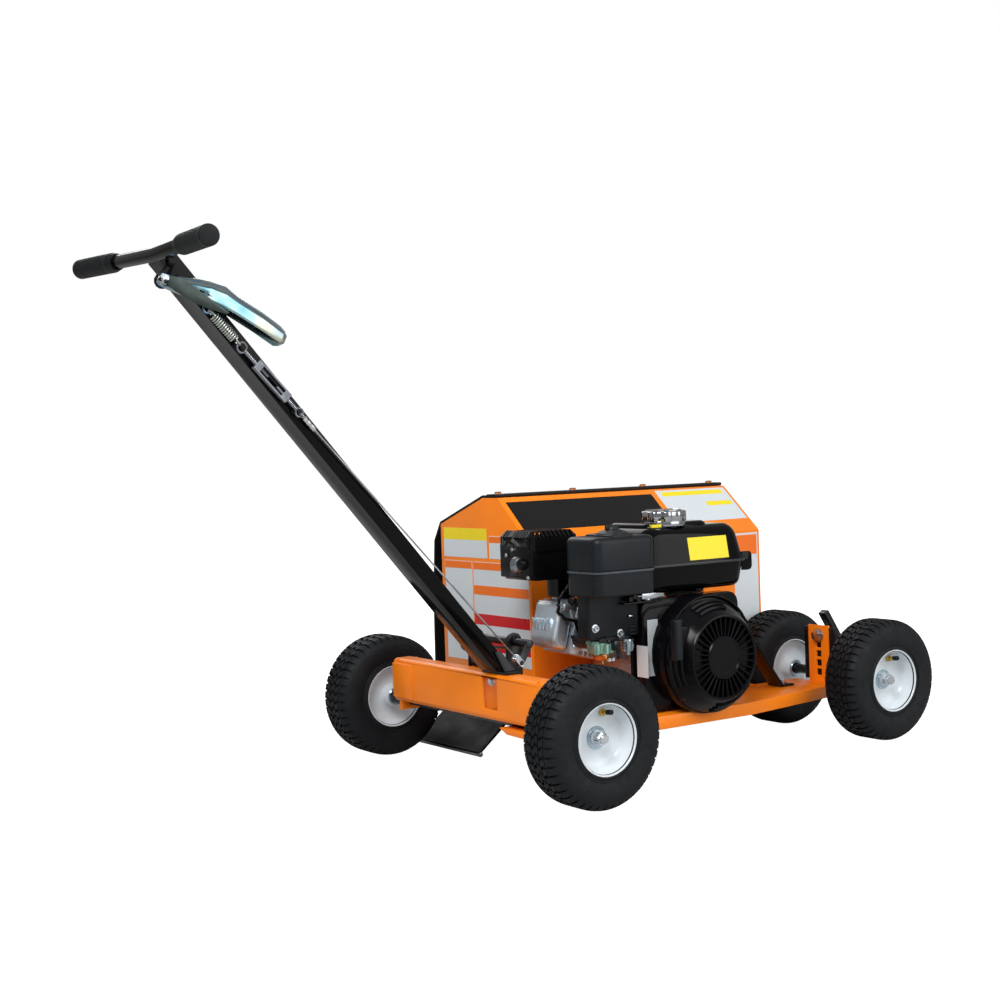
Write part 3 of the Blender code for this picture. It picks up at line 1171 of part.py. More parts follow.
def make_clutch_spring():
    """The tension spring: one wire with a hook at each end, whose curls are worked out."""
    points_per_curl = 9
    arm = SPRING_RADIUS - SPRING_WIRE
    points = []
    seat = TAB_HOLE_RADIUS - SPRING_WIRE - GAP
    top_hook = [(0.011, 0, HOOK_HALF_GAP), (seat + 0.0034, 0, HOOK_HALF_GAP),
                (seat + 0.0008, 0, 0.003), (seat, 0, 0), (seat + 0.0008, 0, -0.003),
                (seat + 0.0034, 0, -HOOK_HALF_GAP), (0.0115, 0, -HOOK_HALF_GAP)]
    points += [on_line(*place) for place in top_hook]
    steps = SPRING_CURLS * points_per_curl
    first_angle = -math.pi / 2
    for k in range(steps + 1):
        angle = first_angle + 2 * math.pi * k / points_per_curl
        station = SPRING_START + (SPRING_END - SPRING_START) * k / steps
        points.append(on_line(station, arm * math.cos(angle), arm * math.sin(angle)))
    hook_at = UPPER_EYE_AT - UPPER_EYE_RADIUS + EYE_WIRE + SPRING_WIRE + GAP
    last = HOOK_HALF_GAP
    low_hook = [(SPRING_END + 0.0035, 0, -last), (hook_at - 0.0030, 0, -last),
                (hook_at - 0.0006, 0, -0.003), (hook_at, 0, 0),
                (hook_at - 0.0006, 0, 0.003), (hook_at - 0.0030, 0, last),
                (hook_at - 0.0070, 0, last)]
    points += [on_line(*place) for place in low_hook]
    gap = least_gap(points, SPRING_WIRE, points_per_curl // 2)
    print(f"least gap of the clutch spring to itself: {gap * 1000:.2f} mm")
    node("clutch_spring", swept(points, SPRING_WIRE, 6), "zinc", tuple(LINE_BOTTOM))


def least_gap(points, radius, skip):
    """The least free distance between stretches of a tube that aren't neighbours."""
    least = math.inf
    for i, one in enumerate(points):
        for two in points[i + skip:]:
            least = min(least, (one - two).length - 2 * radius)
    return least


def make_turnbuckle():
    """The open turnbuckle frame with an eye on a threaded rod at each end."""
    frame = node("turnbuckle", bar(on_line(FRAME_START), on_line(FRAME_END), 0, 0,
                                   (FRAME_WIDTH, FRAME_DEPTH)), "zinc", tuple(LINE_BOTTOM))
    cut(frame, bar(on_line(FRAME_START + FRAME_NUT), on_line(FRAME_END - FRAME_NUT), 0, 0,
                   (FRAME_WIDTH - 2 * FRAME_RAIL, FRAME_DEPTH * 2)))
    rod_radius = 0.0028
    join(frame, bar(on_line(UPPER_EYE_AT + UPPER_EYE_RADIUS),
                    on_line(FRAME_START + FRAME_NUT + 0.016), rod_radius, 10))
    join(frame, bar(on_line(FRAME_END - FRAME_NUT - 0.014),
                    on_line(LOWER_EYE_AT - LOWER_EYE_RADIUS), rod_radius, 10))
    join(frame, eye(on_line(UPPER_EYE_AT), LINE_OUT, UPPER_EYE_RADIUS, EYE_WIRE))
    join(frame, eye(on_line(LOWER_EYE_AT), LINE_OUT, LOWER_EYE_RADIUS, EYE_WIRE))


def make_clutch_cable():
    """The cable with the loop and crimped ferrule at its upper end."""
    loop_at = LOWER_EYE_AT + LOWER_EYE_RADIUS - EYE_WIRE - CABLE_RADIUS - 2 * GAP
    end = LINE_LENGTH - CLEVIS_LENGTH + 0.004
    reach = EYE_WIRE + CABLE_RADIUS + 0.0012
    loop = [(FERRULE_START + 0.003, 0, -0.0018), (LOWER_EYE_AT + LOWER_EYE_RADIUS, 0, -reach),
            (loop_at + 0.0006, 0, -reach * 0.75), (loop_at, 0, 0),
            (loop_at + 0.0006, 0, reach * 0.75), (LOWER_EYE_AT + LOWER_EYE_RADIUS, 0, reach),
            (FERRULE_START + 0.003, 0, 0.0018)]
    cable = node("clutch_cable", swept([on_line(*place) for place in loop], CABLE_RADIUS, 8),
                 "zinc", tuple(LINE_BOTTOM))
    join(cable, bar(on_line(FERRULE_START), on_line(FERRULE_END), FERRULE_RADIUS, 12))
    join(cable, bar(on_line(FERRULE_END - 0.003), on_line(end), CABLE_RADIUS, 8))


def make_cable_clevis():
    """The forked end that ties the cable to the cross shaft's arm."""
    half = CROSS_ARM_THICKNESS / 2 + GAP
    wall = 0.0025
    top = on_line(LINE_LENGTH - CLEVIS_LENGTH)
    bottom = LINE_BOTTOM + LINE * 0.005
    clevis = node("cable_clevis", bar(top, bottom, 0, 0, (2 * CLEVIS_RADIUS,
                                                         2 * (half + wall))), "zinc",
                  tuple(LINE_BOTTOM))
    gap_top = LINE_BOTTOM - LINE * (CROSS_ARM_END_RADIUS + PIVOT_GAP)
    cut(clevis, bar(gap_top, bottom + LINE * 0.01, 0, 0, (4 * CLEVIS_RADIUS, 2 * half)))
    bore = clear_radius(CABLE_RADIUS, 8, CABLE_SWING_GAP)
    cut(clevis, bar(top - LINE * 0.01, gap_top + LINE * 0.002, bore, 8))
    cut(clevis, rod("Y", LINE_BOTTOM, CROSS_PIN_RADIUS + PIVOT_GAP, CROSS_ARM_Y - 0.02,
                    CROSS_ARM_Y + 0.02, 12))


def make_cross_shaft():
    """The clutch cross shaft with its cable arm on the near end and link arm on the far end."""
    near = CROSS_ARM_Y - CROSS_ARM_THICKNESS / 2
    far = LINK_Y + LINK_THICKNESS / 2 + GAP
    shaft = node("clutch_cross_shaft", rod("Y", CROSS_SHAFT, CROSS_SHAFT_RADIUS, near - 0.001,
                                           far + CROSS_ARM_THICKNESS + 0.001), "black_paint",
                 tuple(CROSS_SHAFT))
    arm_middle = Vector((0, CROSS_ARM_Y, 0))
    slim = CROSS_ARM_THICKNESS - GAP
    join(shaft, bar(CROSS_SHAFT + arm_middle, CROSS_SHAFT + CROSS_ARM + arm_middle, 0, 0,
                    (2 * CROSS_ARM_END_RADIUS - GAP, slim)))
    join(shaft, rod("Y", LINE_BOTTOM, CROSS_ARM_END_RADIUS, near, near + CROSS_ARM_THICKNESS,
                    14, 0.2))
    join(shaft, rod("Y", LINE_BOTTOM, CROSS_PIN_RADIUS, near - 0.005,
                    near + CROSS_ARM_THICKNESS + 0.005, 12))
    far_middle = Vector((0, far + CROSS_ARM_THICKNESS / 2, 0))
    join(shaft, bar(CROSS_SHAFT + far_middle, LINK_REAR + far_middle, 0, 0,
                    (2 * CROSS_ARM_END_RADIUS - GAP, slim)))
    join(shaft, rod("Y", LINK_REAR, CROSS_ARM_END_RADIUS, far, far + CROSS_ARM_THICKNESS,
                    14, 0.2))
    join(shaft, rod("Y", LINK_REAR, CROSS_PIN_RADIUS, LINK_Y - LINK_THICKNESS / 2 - 0.002,
                    far + 0.001, 12))


def make_link():
    """The flat link that pulls the idler arm, with an eye at each end."""
    low = LINK_Y - LINK_THICKNESS / 2
    high = LINK_Y + LINK_THICKNESS / 2
    link = node("clutch_link", bar((LINK_REAR.x, LINK_Y, LINK_REAR.z),
                                   (LINK_FRONT.x, LINK_Y, LINK_FRONT.z), 0, 0,
                                   (2 * LINK_RADIUS, LINK_THICKNESS - GAP)), "steel",
                (LINK_REAR.x, LINK_Y, LINK_REAR.z))
    for place in (LINK_REAR, LINK_FRONT):
        join(link, rod("Y", place, LINK_EYE_RADIUS, low, high))
        cut(link, rod("Y", place, CROSS_PIN_RADIUS + PIVOT_GAP + 0.0005, low - 0.01,
                      high + 0.01, 12))


def make_idler():
    """The idler arm on its pivot stud, and the idler pulley that presses on the belt."""
    high = PARTITION_Y - 2 * GAP
    low = high - IDLER_ARM_THICKNESS
    width = (2 * CROSS_ARM_END_RADIUS - GAP, IDLER_ARM_THICKNESS - GAP)
    middle = Vector((0, (low + high) / 2, 0))
    arm = node("idler_arm", rod("Y", IDLER_PIVOT, 0.012, low, high, 16), "steel",
               tuple(IDLER_PIVOT))
    join(arm, bar(IDLER_PIVOT + middle, LINK_FRONT + middle, 0, 0, width))
    join(arm, bar(IDLER_PIVOT + middle, IDLER + middle, 0, 0, width))
    join(arm, rod("Y", LINK_FRONT, CROSS_ARM_END_RADIUS, low, high, 14, 0.2))
    join(arm, rod("Y", LINK_FRONT, CROSS_PIN_RADIUS, LINK_Y - LINK_THICKNESS / 2 - 0.002,
                  low + 0.001, 12))
    join(arm, rod("Y", IDLER, CROSS_ARM_END_RADIUS, low, high, 14, 0.2))
    stud = BELT_Y - IDLER_WIDTH / 2 - 0.002
    join(arm, rod("Y", IDLER, CROSS_PIN_RADIUS, stud, low + 0.001, 12))
    cut(arm, rod("Y", IDLER_PIVOT, clear_radius(0.005, 12, RUNNING_GAP),
                 low - 0.01, high + 0.01))
    bore = clear_radius(CROSS_PIN_RADIUS, 20, RUNNING_GAP)
    wheel_low = BELT_Y - IDLER_WIDTH / 2
    wheel_high = BELT_Y + IDLER_WIDTH / 2
    node("idler_pulley", turn([(wheel_low, bore), (wheel_low, IDLER_RADIUS),
                               (wheel_high, IDLER_RADIUS), (wheel_high, bore)], "Y",
                              square_to("Y", IDLER), 20), "steel", (IDLER.x, BELT_Y, IDLER.z))


def pulley_profile(radius):
    """One flanged pulley as places along Y and radii, without its bore."""
    half = BELT_WIDTH / 2 + PULLEY_SIDE_GAP
    rim = radius + BELT_THICKNESS * 0.8
    return [(BELT_Y - half - PULLEY_FLANGE, rim), (BELT_Y - half, rim), (BELT_Y - half, radius),
            (BELT_Y + half, radius), (BELT_Y + half, rim), (BELT_Y + half + PULLEY_FLANGE, rim)]


def make_crankshaft():
    """The crankshaft with its flywheel, and the drive pulley beyond the guard's near wall."""
    wheel_far = CASE_NEAR_Y - 0.006
    wheel_near = wheel_far - FLYWHEEL_THICKNESS
    drive = pulley_profile(DRIVE_PULLEY_RADIUS)
    profile = [(wheel_near - 0.008, 0), (wheel_near - 0.008, 0.014), (wheel_near, 0.014),
               (wheel_near, FLYWHEEL_RADIUS), (wheel_far, FLYWHEEL_RADIUS),
               (wheel_far, CRANK_RADIUS), (drive[0][0], CRANK_RADIUS)] + drive
    profile += [(drive[-1][0], CRANK_RADIUS), (drive[-1][0] + 0.004, CRANK_RADIUS),
                (drive[-1][0] + 0.004, 0)]
    node("crankshaft", turn(profile, "Y", tuple(CRANK), PULLEY_SIDES), "steel", tuple(CRANK))


def make_rotor_drive():
    """The rotor shaft with its pulley, its spindle housing, the belt and the partition."""
    driven = pulley_profile(DRIVEN_PULLEY_RADIUS)
    near = driven[0][0] - 0.001
    far = ROTOR_Y + ROTOR_DISC_THICKNESS / 2 + 0.012
    profile = [(near, 0), (near, ROTOR_SHAFT_RADIUS)]
    profile += [(driven[0][0], ROTOR_SHAFT_RADIUS)] + driven
    profile += [(driven[-1][0], ROTOR_SHAFT_RADIUS), (far, ROTOR_SHAFT_RADIUS), (far, 0)]
    node("rotor_shaft", turn(profile, "Y", tuple(ROTOR), PULLEY_SIDES), "steel", tuple(ROTOR))

    housing_near = PARTITION_Y + PARTITION_THICKNESS
    housing_far = ROTOR_Y - ROTOR_DISC_THICKNESS / 2 - 0.010
    bore = clear_radius(ROTOR_SHAFT_RADIUS, 24, RUNNING_GAP)
    flange = housing_near + SPINDLE_FLANGE_THICKNESS

    inside = GUARD_SHEET + GAP
    plate_far = PARTITION_Y + PARTITION_THICKNESS
    slope = (GUARD_TOP_Z - GUARD_SHOULDER_Z) / (GUARD_TOP_NEAR_Y - GUARD_NEAR_Y)
    roof = GUARD_SHOULDER_Z + slope * (PARTITION_Y - GUARD_NEAR_Y) - inside * 1.5
    partition = node("belt_partition", block((GUARD_REAR_X + inside, PARTITION_Y,
                                              GUARD_BOTTOM_Z),
                                             (GUARD_FRONT_X - inside, plate_far, roof)),
                     "orange_paint")
    cut(partition, rod("Y", ROTOR, SPINDLE_RADIUS, PARTITION_Y - 0.01, plate_far + 0.01, 20))
    seat = PARTITION_Y + PARTITION_THICKNESS / 2
    join(partition, turn([(seat, bore), (seat, SPINDLE_FLANGE_RADIUS),
                          (flange, SPINDLE_FLANGE_RADIUS), (flange, SPINDLE_RADIUS),
                          (housing_far, SPINDLE_RADIUS), (housing_far, bore)], "Y",
                         tuple(ROTOR), 24))
    idler_far = PARTITION_Y - 2 * GAP
    join(partition, rod("Y", IDLER_PIVOT, 0.005, idler_far - IDLER_ARM_THICKNESS - 0.003,
                        plate_far - 0.001))
    join(partition, rod("Y", IDLER_PIVOT, 0.008, idler_far - IDLER_ARM_THICKNESS - 0.0045,
                        idler_far - IDLER_ARM_THICKNESS - GAP, 6))
    strips = PARTITION_Y - GUARD_NEAR_Y - GUARD_SHEET - GAP
    for x in (GUARD_REAR_X + inside + 0.001, GUARD_FRONT_X - inside - 0.011):
        join(partition, block((x, PARTITION_Y - strips, GUARD_BOTTOM_Z + 0.030),
                              (x + 0.010, PARTITION_Y + 0.001, GUARD_BOTTOM_Z + 0.090)))

    make_belt()
    make_cutter_rotor()


def loop_outline(grow, steps=10):
    """The belt's outline round both pulleys, grown from the pulley grooves."""
    upper = CENTRES_RISE + BELT_LEAN + math.pi / 2
    lower = CENTRES_RISE - BELT_LEAN - math.pi / 2
    points = []
    for centre, radius, begin, end in (
            (ROTOR, DRIVEN_PULLEY_RADIUS, lower, upper),
            (CRANK, DRIVE_PULLEY_RADIUS, upper, lower + 2 * math.pi)):
        reach = clear_radius(radius, PULLEY_SIDES, 2 * GAP) + grow
        for k in range(steps + 1):
            angle = begin + (end - begin) * k / steps
            points.append((centre.x + reach * math.cos(angle),
                           centre.z + reach * math.sin(angle)))
    return points


def make_belt():
    """The drive belt, a closed band round both pulleys."""
    node("drive_belt", band(loop_outline(BELT_THICKNESS), loop_outline(0), "Y",
                            BELT_Y - BELT_WIDTH / 2, BELT_Y + BELT_WIDTH / 2), "black_rubber")


def make_cutter_rotor():
    """The cutter rotor: a disc with tooth arms whose tips stand out to alternate sides."""
    low = ROTOR_Y - ROTOR_DISC_THICKNESS / 2
    high = ROTOR_Y + ROTOR_DISC_THICKNESS / 2
    hub_low = low - 0.0095
    bore = clear_radius(ROTOR_SHAFT_RADIUS, 24, GAP)
    profile = [(hub_low, bore), (hub_low, ROTOR_HUB_RADIUS), (low, ROTOR_HUB_RADIUS),
               (low, ROTOR_DISC_RADIUS), (high, ROTOR_DISC_RADIUS), (high, ROTOR_HUB_RADIUS),
               (high + 0.006, ROTOR_HUB_RADIUS), (high + 0.006, bore)]
    rotor = node("cutter_rotor", turn(profile, "Y", tuple(ROTOR), 24), "carbide",
                 tuple(ROTOR))
    half = ROTOR_WIDTH / 2
    thick = ROTOR_TOOTH_THICKNESS
    root = ROTOR_DISC_RADIUS - 0.012
    tip = ROTOR_RADIUS
    for k in range(ROTOR_TEETH):
        side = 1 if k % 2 else -1
        tooth = prism([(root, -thick), (tip, -thick), (tip, thick), (root, thick)], "Y",
                      min(0, side * half), max(0, side * half))
        bmesh.ops.translate(tooth, vec=(0, ROTOR_Y, 0), verts=tooth.verts)
        bmesh.ops.rotate(tooth, verts=tooth.verts, cent=(0, 0, 0),
                         matrix=Matrix.Rotation(2 * math.pi * (k + 0.5) / ROTOR_TEETH, 3, "Y"))
        bmesh.ops.translate(tooth, vec=(ROTOR.x, 0, ROTOR.z), verts=tooth.verts)
        join(rotor, tooth)


def on_cylinder(along, across):
    """A point in X and Z by its distance from the crank along the cylinder and across it."""
    out = (-math.cos(CYLINDER_TILT), math.sin(CYLINDER_TILT))
    up = (math.sin(CYLINDER_TILT), math.cos(CYLINDER_TILT))
    return (CRANK_X + out[0] * along + up[0] * across, CRANK_Z + out[1] * along + up[1] * across)


def make_engine_block():
    """Crankcase, finned cylinder and head cover."""
    deck = DECK_TOP_Z + GAP
    c = CASE_CHAMFER
    outline = [(CASE_REAR_X - CASE_FOOT_LENGTH, deck), (CASE_FRONT_X + CASE_FOOT_LENGTH, deck),
               (CASE_FRONT_X + CASE_FOOT_LENGTH, deck + CASE_FOOT_HEIGHT),
               (CASE_FRONT_X, deck + CASE_FOOT_HEIGHT), (CASE_FRONT_X, CASE_TOP_Z - c),
               (CASE_FRONT_X - c, CASE_TOP_Z), (CASE_REAR_X, CASE_TOP_Z),
               (CASE_REAR_X, deck + CASE_FOOT_HEIGHT),
               (CASE_REAR_X - CASE_FOOT_LENGTH, deck + CASE_FOOT_HEIGHT)]
    case = node("crankcase", prism(outline, "Y", CASE_NEAR_Y, CASE_FAR_Y), "cast_aluminium")
    join(case, rod("Y", CRANK, 0.034, CASE_FAR_Y - 0.001, GUARD_NEAR_Y - GAP, 24))
    cut(case, rod("Y", CRANK, clear_radius(CRANK_RADIUS, 24, RUNNING_GAP), CASE_NEAR_Y - 0.01,
                  GUARD_NEAR_Y + 0.01, 24))

    half = CYLINDER_WIDTH / 2
    core = CYLINDER_CORE_WIDTH / 2
    upper, lower = [], []
    for k in range(FIN_COUNT):
        start = FIN_FIRST + k * FIN_PITCH
        upper += [(start, core), (start, half), (start + FIN_THICKNESS, half),
                  (start + FIN_THICKNESS, core)]
    head = [(HEAD_START, core), (HEAD_START, half), (HEAD_END, half)]
    profile = upper + head
    lower = [(along, -across) for along, across in reversed(profile)]
    seat = CASE_REAR_X - GAP
    ring = [on_cylinder(*point) for point in profile + lower]
    rise = math.tan(CYLINDER_TILT)
    middle_z = CRANK_Z + (CRANK_X - seat) * rise
    edge = core / math.cos(CYLINDER_TILT)
    outline = [(seat, middle_z + edge)] + ring + [(seat, middle_z - edge)]
    node("cylinder", prism(outline, "Y", CYLINDER_NEAR_Y, CYLINDER_FAR_Y), "cast_aluminium")

    c = HEAD_COVER_CHAMFER
    inner = half - 0.004
    start = HEAD_END + GAP
    cover = [on_cylinder(*point) for point in
             [(start, inner), (HEAD_COVER_END - c, inner), (HEAD_COVER_END, inner - c),
              (HEAD_COVER_END, -inner + c), (HEAD_COVER_END - c, -inner), (start, -inner)]]
    node("head_cover", prism(cover, "Y", CYLINDER_NEAR_Y + 0.003, CYLINDER_FAR_Y - 0.003),
         "cast_aluminium")


def make_muffler():
    """The muffler with its exhaust stub and outlet, and the shield over it."""
    c = MUFFLER_CHAMFER
    x0, x1, z0, z1 = MUFFLER_REAR_X, MUFFLER_FRONT_X, MUFFLER_BOTTOM_Z, MUFFLER_TOP_Z
    outline = [(x0 + c, z0), (x1 - c, z0), (x1, z0 + c), (x1, z1 - c), (x1 - c, z1),
               (x0 + c, z1), (x0, z1 - c), (x0, z0 + c)]
    muffler = node("muffler", prism(outline, "Y", MUFFLER_NEAR_Y, MUFFLER_FAR_Y), "black_paint")
    middle = (MUFFLER_NEAR_Y + MUFFLER_FAR_Y) / 2
    half = EXHAUST_WIDTH / 2
    lift = GAP / math.cos(CYLINDER_TILT)
    head_top = on_cylinder(HEAD_START, CYLINDER_WIDTH / 2)
    slope = math.tan(CYLINDER_TILT)
    rear = EXHAUST_X
    front = head_top[0] - 0.002
    stub = [(rear, head_top[1] + (head_top[0] - rear) * slope + lift),
            (front, head_top[1] + (head_top[0] - front) * slope + lift), (front, z0 + 0.020),
            (rear, z0 + 0.020)]
    join(muffler, prism(stub, "Y", middle - half, middle + half))
    join(muffler, rod("X", (0, MUFFLER_NEAR_Y + 0.020, z0 + 0.030), OUTLET_RADIUS,
                      x0 - OUTLET_LENGTH, x0 + 0.002, 12))

    sheet = MUFFLER_GUARD_SHEET
    top = z1 + MUFFLER_GUARD_RISE
    leg = z1 + GAP
    inner0, inner1 = x0 + 0.016, x1 - 0.016
    shield = [(inner0, leg), (inner0 + sheet, leg), (inner0 + sheet, top - sheet),
              (inner1 - sheet, top - sheet), (inner1 - sheet, leg), (inner1, leg),
              (inner1, top - sheet), (inner1 - sheet, top), (inner0 + sheet, top),
              (inner0, top - sheet)]
    node("muffler_guard", prism(shield, "Y", MUFFLER_NEAR_Y + 0.002, MUFFLER_FAR_Y - 0.002),
         "black_paint")


def make_air_cleaner():
    """The air cleaner's lower case and its cover, two shells that meet at a seam."""
    low, high = (AIR_REAR_X, AIR_NEAR_Y), (AIR_FRONT_X, AIR_FAR_Y)
    outline = rounded(low, high, AIR_CORNER)
    inner = rounded((low[0] + AIR_WALL, low[1] + AIR_WALL),
                    (high[0] - AIR_WALL, high[1] - AIR_WALL), AIR_CORNER - AIR_WALL)
    base = node("air_cleaner_base", prism(outline, "Z", AIR_BOTTOM_Z, AIR_SEAM_Z - GAP),
                "black_plastic")
    cut(base, prism(inner, "Z", AIR_BOTTOM_Z + AIR_WALL, AIR_SEAM_Z + 0.01))
    cover = node("air_cleaner_cover", prism(outline, "Z", AIR_SEAM_Z, AIR_TOP_Z),
                 "black_plastic")
    cut(cover, prism(inner, "Z", AIR_SEAM_Z - 0.01, AIR_TOP_Z - AIR_WALL))


def make_fuel_tank():
    """The pressed fuel tank with its seam, feet and neck, and the ribbed cap."""
    corner = TANK_CORNER
    low, high = (TANK_REAR_X, TANK_NEAR_Y), (TANK_FRONT_X, TANK_FAR_Y)
    outline = rounded(low, high, corner, 2)
    c = TANK_TOP_CHAMFER
    top_outline = rounded((low[0] + c, low[1] + c), (high[0] - c, high[1] - c), corner - 0.006,
                          2)
    shape = bmesh.new()
    rings = []
    for points, z in ((outline, TANK_BOTTOM_Z), (outline, TANK_TOP_Z - c),
                      (top_outline, TANK_TOP_Z)):
        rings.append([shape.verts.new((x, y, z)) for x, y in points])
    for one, two in zip(rings, rings[1:]):
        for k in range(len(one)):
            j = (k + 1) % len(one)
            shape.faces.new((one[k], one[j], two[j], two[k]))
    shape.faces.new(rings[0])
    shape.faces.new(rings[-1])
    bmesh.ops.recalc_face_normals(shape, faces=shape.faces)
    tank = node("fuel_tank", shape, "black_paint")
    lip = TANK_SEAM_LIP
    seam = rounded((low[0] - lip, low[1] - lip), (high[0] + lip, high[1] + lip), corner + lip, 2)
    join(tank, prism(seam, "Z", TANK_SEAM_Z - TANK_SEAM_THICKNESS / 2,
                     TANK_SEAM_Z + TANK_SEAM_THICKNESS / 2))
    centre = (CAP_X, CAP_Y, 0)
    neck_top = TANK_TOP_Z + NECK_HEIGHT
    join(tank, rod("Z", centre, NECK_RADIUS, TANK_TOP_Z - 0.004, neck_top, 20))
    for x in (CASE_REAR_X + 0.012, CASE_FRONT_X - CASE_CHAMFER - 0.024):
        join(tank, block((x, CASE_NEAR_Y + 0.012, CASE_TOP_Z + GAP),
                         (x + 0.018, TANK_FAR_Y - 0.020, TANK_BOTTOM_Z + 0.001)))
    wall = TANK_WALL
    inner = rounded((low[0] + wall, low[1] + wall), (high[0] - wall, high[1] - wall),
                    corner - wall, 2)
    cut(tank, prism(inner, "Z", TANK_BOTTOM_Z + wall, TANK_TOP_Z - c - wall))
    cut(tank, rod("Z", centre, NECK_RADIUS - NECK_WALL, TANK_TOP_Z - c - 2 * wall,
                  neck_top + 0.01, 20))

    inside = clear_radius(NECK_RADIUS, 24, RUNNING_GAP)
    skirt = TANK_TOP_Z + CAP_SKIRT
    profile = [(skirt, inside), (skirt, CAP_RADIUS), (CAP_TOP_Z - 0.004, CAP_RADIUS),
               (CAP_TOP_Z, CAP_RADIUS - 0.004), (CAP_TOP_Z, 0), (neck_top + GAP, 0),
               (neck_top + GAP, inside)]
    node("fuel_cap", turn(profile, "Z", centre, 24), "zinc", (CAP_X, CAP_Y, neck_top))


def make_fan_housing():
    """The blower housing with its drum, the recoil cover on it and the starter grip."""
    far = CASE_NEAR_Y - GAP
    outline = rounded((FAN_REAR_X, FAN_BOTTOM_Z), (FAN_FRONT_X, FAN_TOP_Z), FAN_CORNER)
    housing = node("fan_housing", prism(outline, "Y", FAN_NEAR_Y, far), "black_paint")
    join(housing, rod("Y", CRANK, DRUM_RADIUS, DRUM_NEAR_Y, FAN_NEAR_Y + 0.001, DRUM_SIDES))
    cut(housing, rod("Y", CRANK, DRUM_RADIUS - DRUM_WALL, DRUM_NEAR_Y - 0.01, far - 0.003,
                     DRUM_SIDES))
    cut(housing, rod("Y", CRANK, 0.016, far - 0.01, far + 0.01, 20))

    base_y = DRUM_NEAR_Y - GAP
    step_y = base_y - RECOIL_STEP
    wall = RECOIL_WALL
    profile = [(base_y, RECOIL_BASE_RADIUS - 2 * wall), (base_y, RECOIL_BASE_RADIUS + 0.002),
               (step_y, RECOIL_BASE_RADIUS), (step_y, RECOIL_FRONT_RADIUS + 0.006),
               (RECOIL_FRONT_Y + 0.008, RECOIL_FRONT_RADIUS),
               (RECOIL_FRONT_Y, RECOIL_FRONT_RADIUS - 0.010), (RECOIL_FRONT_Y, 0),
               (RECOIL_FRONT_Y + wall, 0), (RECOIL_FRONT_Y + wall, RECOIL_FRONT_RADIUS - 0.012),
               (step_y + wall, RECOIL_FRONT_RADIUS - wall)]
    cover = node("recoil_cover", turn(profile, "Y", tuple(CRANK), DRUM_SIDES), "black_plastic")
    block_half = OUTLET_BLOCK_HEIGHT / 2
    outlet_rear = RECOIL_GRIP_X + RECOIL_GRIP_WIDTH / 2 + GAP
    outlet_z = RECOIL_GRIP_Z + 0.004
    join(cover, block((outlet_rear, RECOIL_GRIP_Y - 0.006, outlet_z - block_half),
                      (CRANK_X - RECOIL_FRONT_RADIUS + 0.012, RECOIL_GRIP_Y + 0.010,
                       outlet_z + block_half)))

    half = RECOIL_GRIP_WIDTH / 2
    low_z = RECOIL_GRIP_Z - RECOIL_GRIP_HEIGHT / 2
    high_z = RECOIL_GRIP_Z + RECOIL_GRIP_HEIGHT / 2
    grip = rounded((RECOIL_GRIP_X - half, RECOIL_GRIP_Y - half),
                   (RECOIL_GRIP_X + half, RECOIL_GRIP_Y + half), half * 0.6)
    node("recoil_grip", prism(grip, "Z", low_z, high_z), "black_rubber",
         (RECOIL_GRIP_X, RECOIL_GRIP_Y, RECOIL_GRIP_Z))


def small_lever(name, x, z, direction, thickness_y):
    """A flat lever on a pin that turns about Y in front of the carburettor."""
    near, far = thickness_y
    centre = Vector((x, 0, z))
    end = centre + Vector((math.cos(direction), 0, math.sin(direction))) * SMALL_LEVER_LENGTH
    middle = Vector((0, (near + far) / 2, 0))
    lever = node(name, rod("Y", centre, SMALL_LEVER_RADIUS, near, far, 12), "steel",
                 (x, (near + far) / 2, z))
    join(lever, bar(centre + middle, end + middle, 0, 0, (0.006, SMALL_LEVER_THICKNESS)))
    cut(lever, rod("Y", centre, clear_radius(SMALL_LEVER_PIN, 12, RUNNING_GAP), near - 0.01,
                   far + 0.01, 12))


def make_carburettor():
    """The carburettor with its bowl and sediment cup, and the two small levers on it."""
    near = CARB_NEAR_Y
    carb = node("carburettor", block((CARB_REAR_X, near, CARB_BOTTOM_Z),
                                     (CARB_FRONT_X, CYLINDER_NEAR_Y - GAP,
                                      AIR_BOTTOM_Z - GAP)), "cast_aluminium")
    bowl_x = (CARB_REAR_X + CARB_FRONT_X) / 2
    join(carb, rod("Z", (bowl_x, BOWL_Y, 0), BOWL_RADIUS, CARB_BOTTOM_Z - BOWL_DEPTH,
                   CARB_BOTTOM_Z + 0.001, 16))
    cup_y = near + SEDIMENT_RADIUS
    join(carb, block((CARB_FRONT_X - 0.001, cup_y - 0.006, CARB_BOTTOM_Z + 0.010),
                     (SEDIMENT_X, cup_y + 0.006, CARB_BOTTOM_Z + 0.022)))
    join(carb, rod("Z", (SEDIMENT_X, cup_y, 0), SEDIMENT_RADIUS, CARB_BOTTOM_Z + 0.024
                   - SEDIMENT_DEPTH, CARB_BOTTOM_Z + 0.024, 16))
    lever_far = near - GAP
    lever_near = lever_far - SMALL_LEVER_THICKNESS
    for x, z in ((CHOKE_X, CHOKE_Z), (FUEL_VALVE_X, FUEL_VALVE_Z)):
        join(carb, rod("Y", (x, 0, z), SMALL_LEVER_PIN, lever_near - 0.0018, near + 0.002, 12))
        join(carb, rod("Y", (x, 0, z), SMALL_LEVER_PIN * 1.7, lever_near - 0.0030,
                       lever_near - GAP, 12))
    small_lever("choke_lever", CHOKE_X, CHOKE_Z, math.pi, (lever_near, lever_far))
    small_lever("fuel_valve_lever", FUEL_VALVE_X, FUEL_VALVE_Z, -math.pi / 2,
                (lever_near, lever_far))


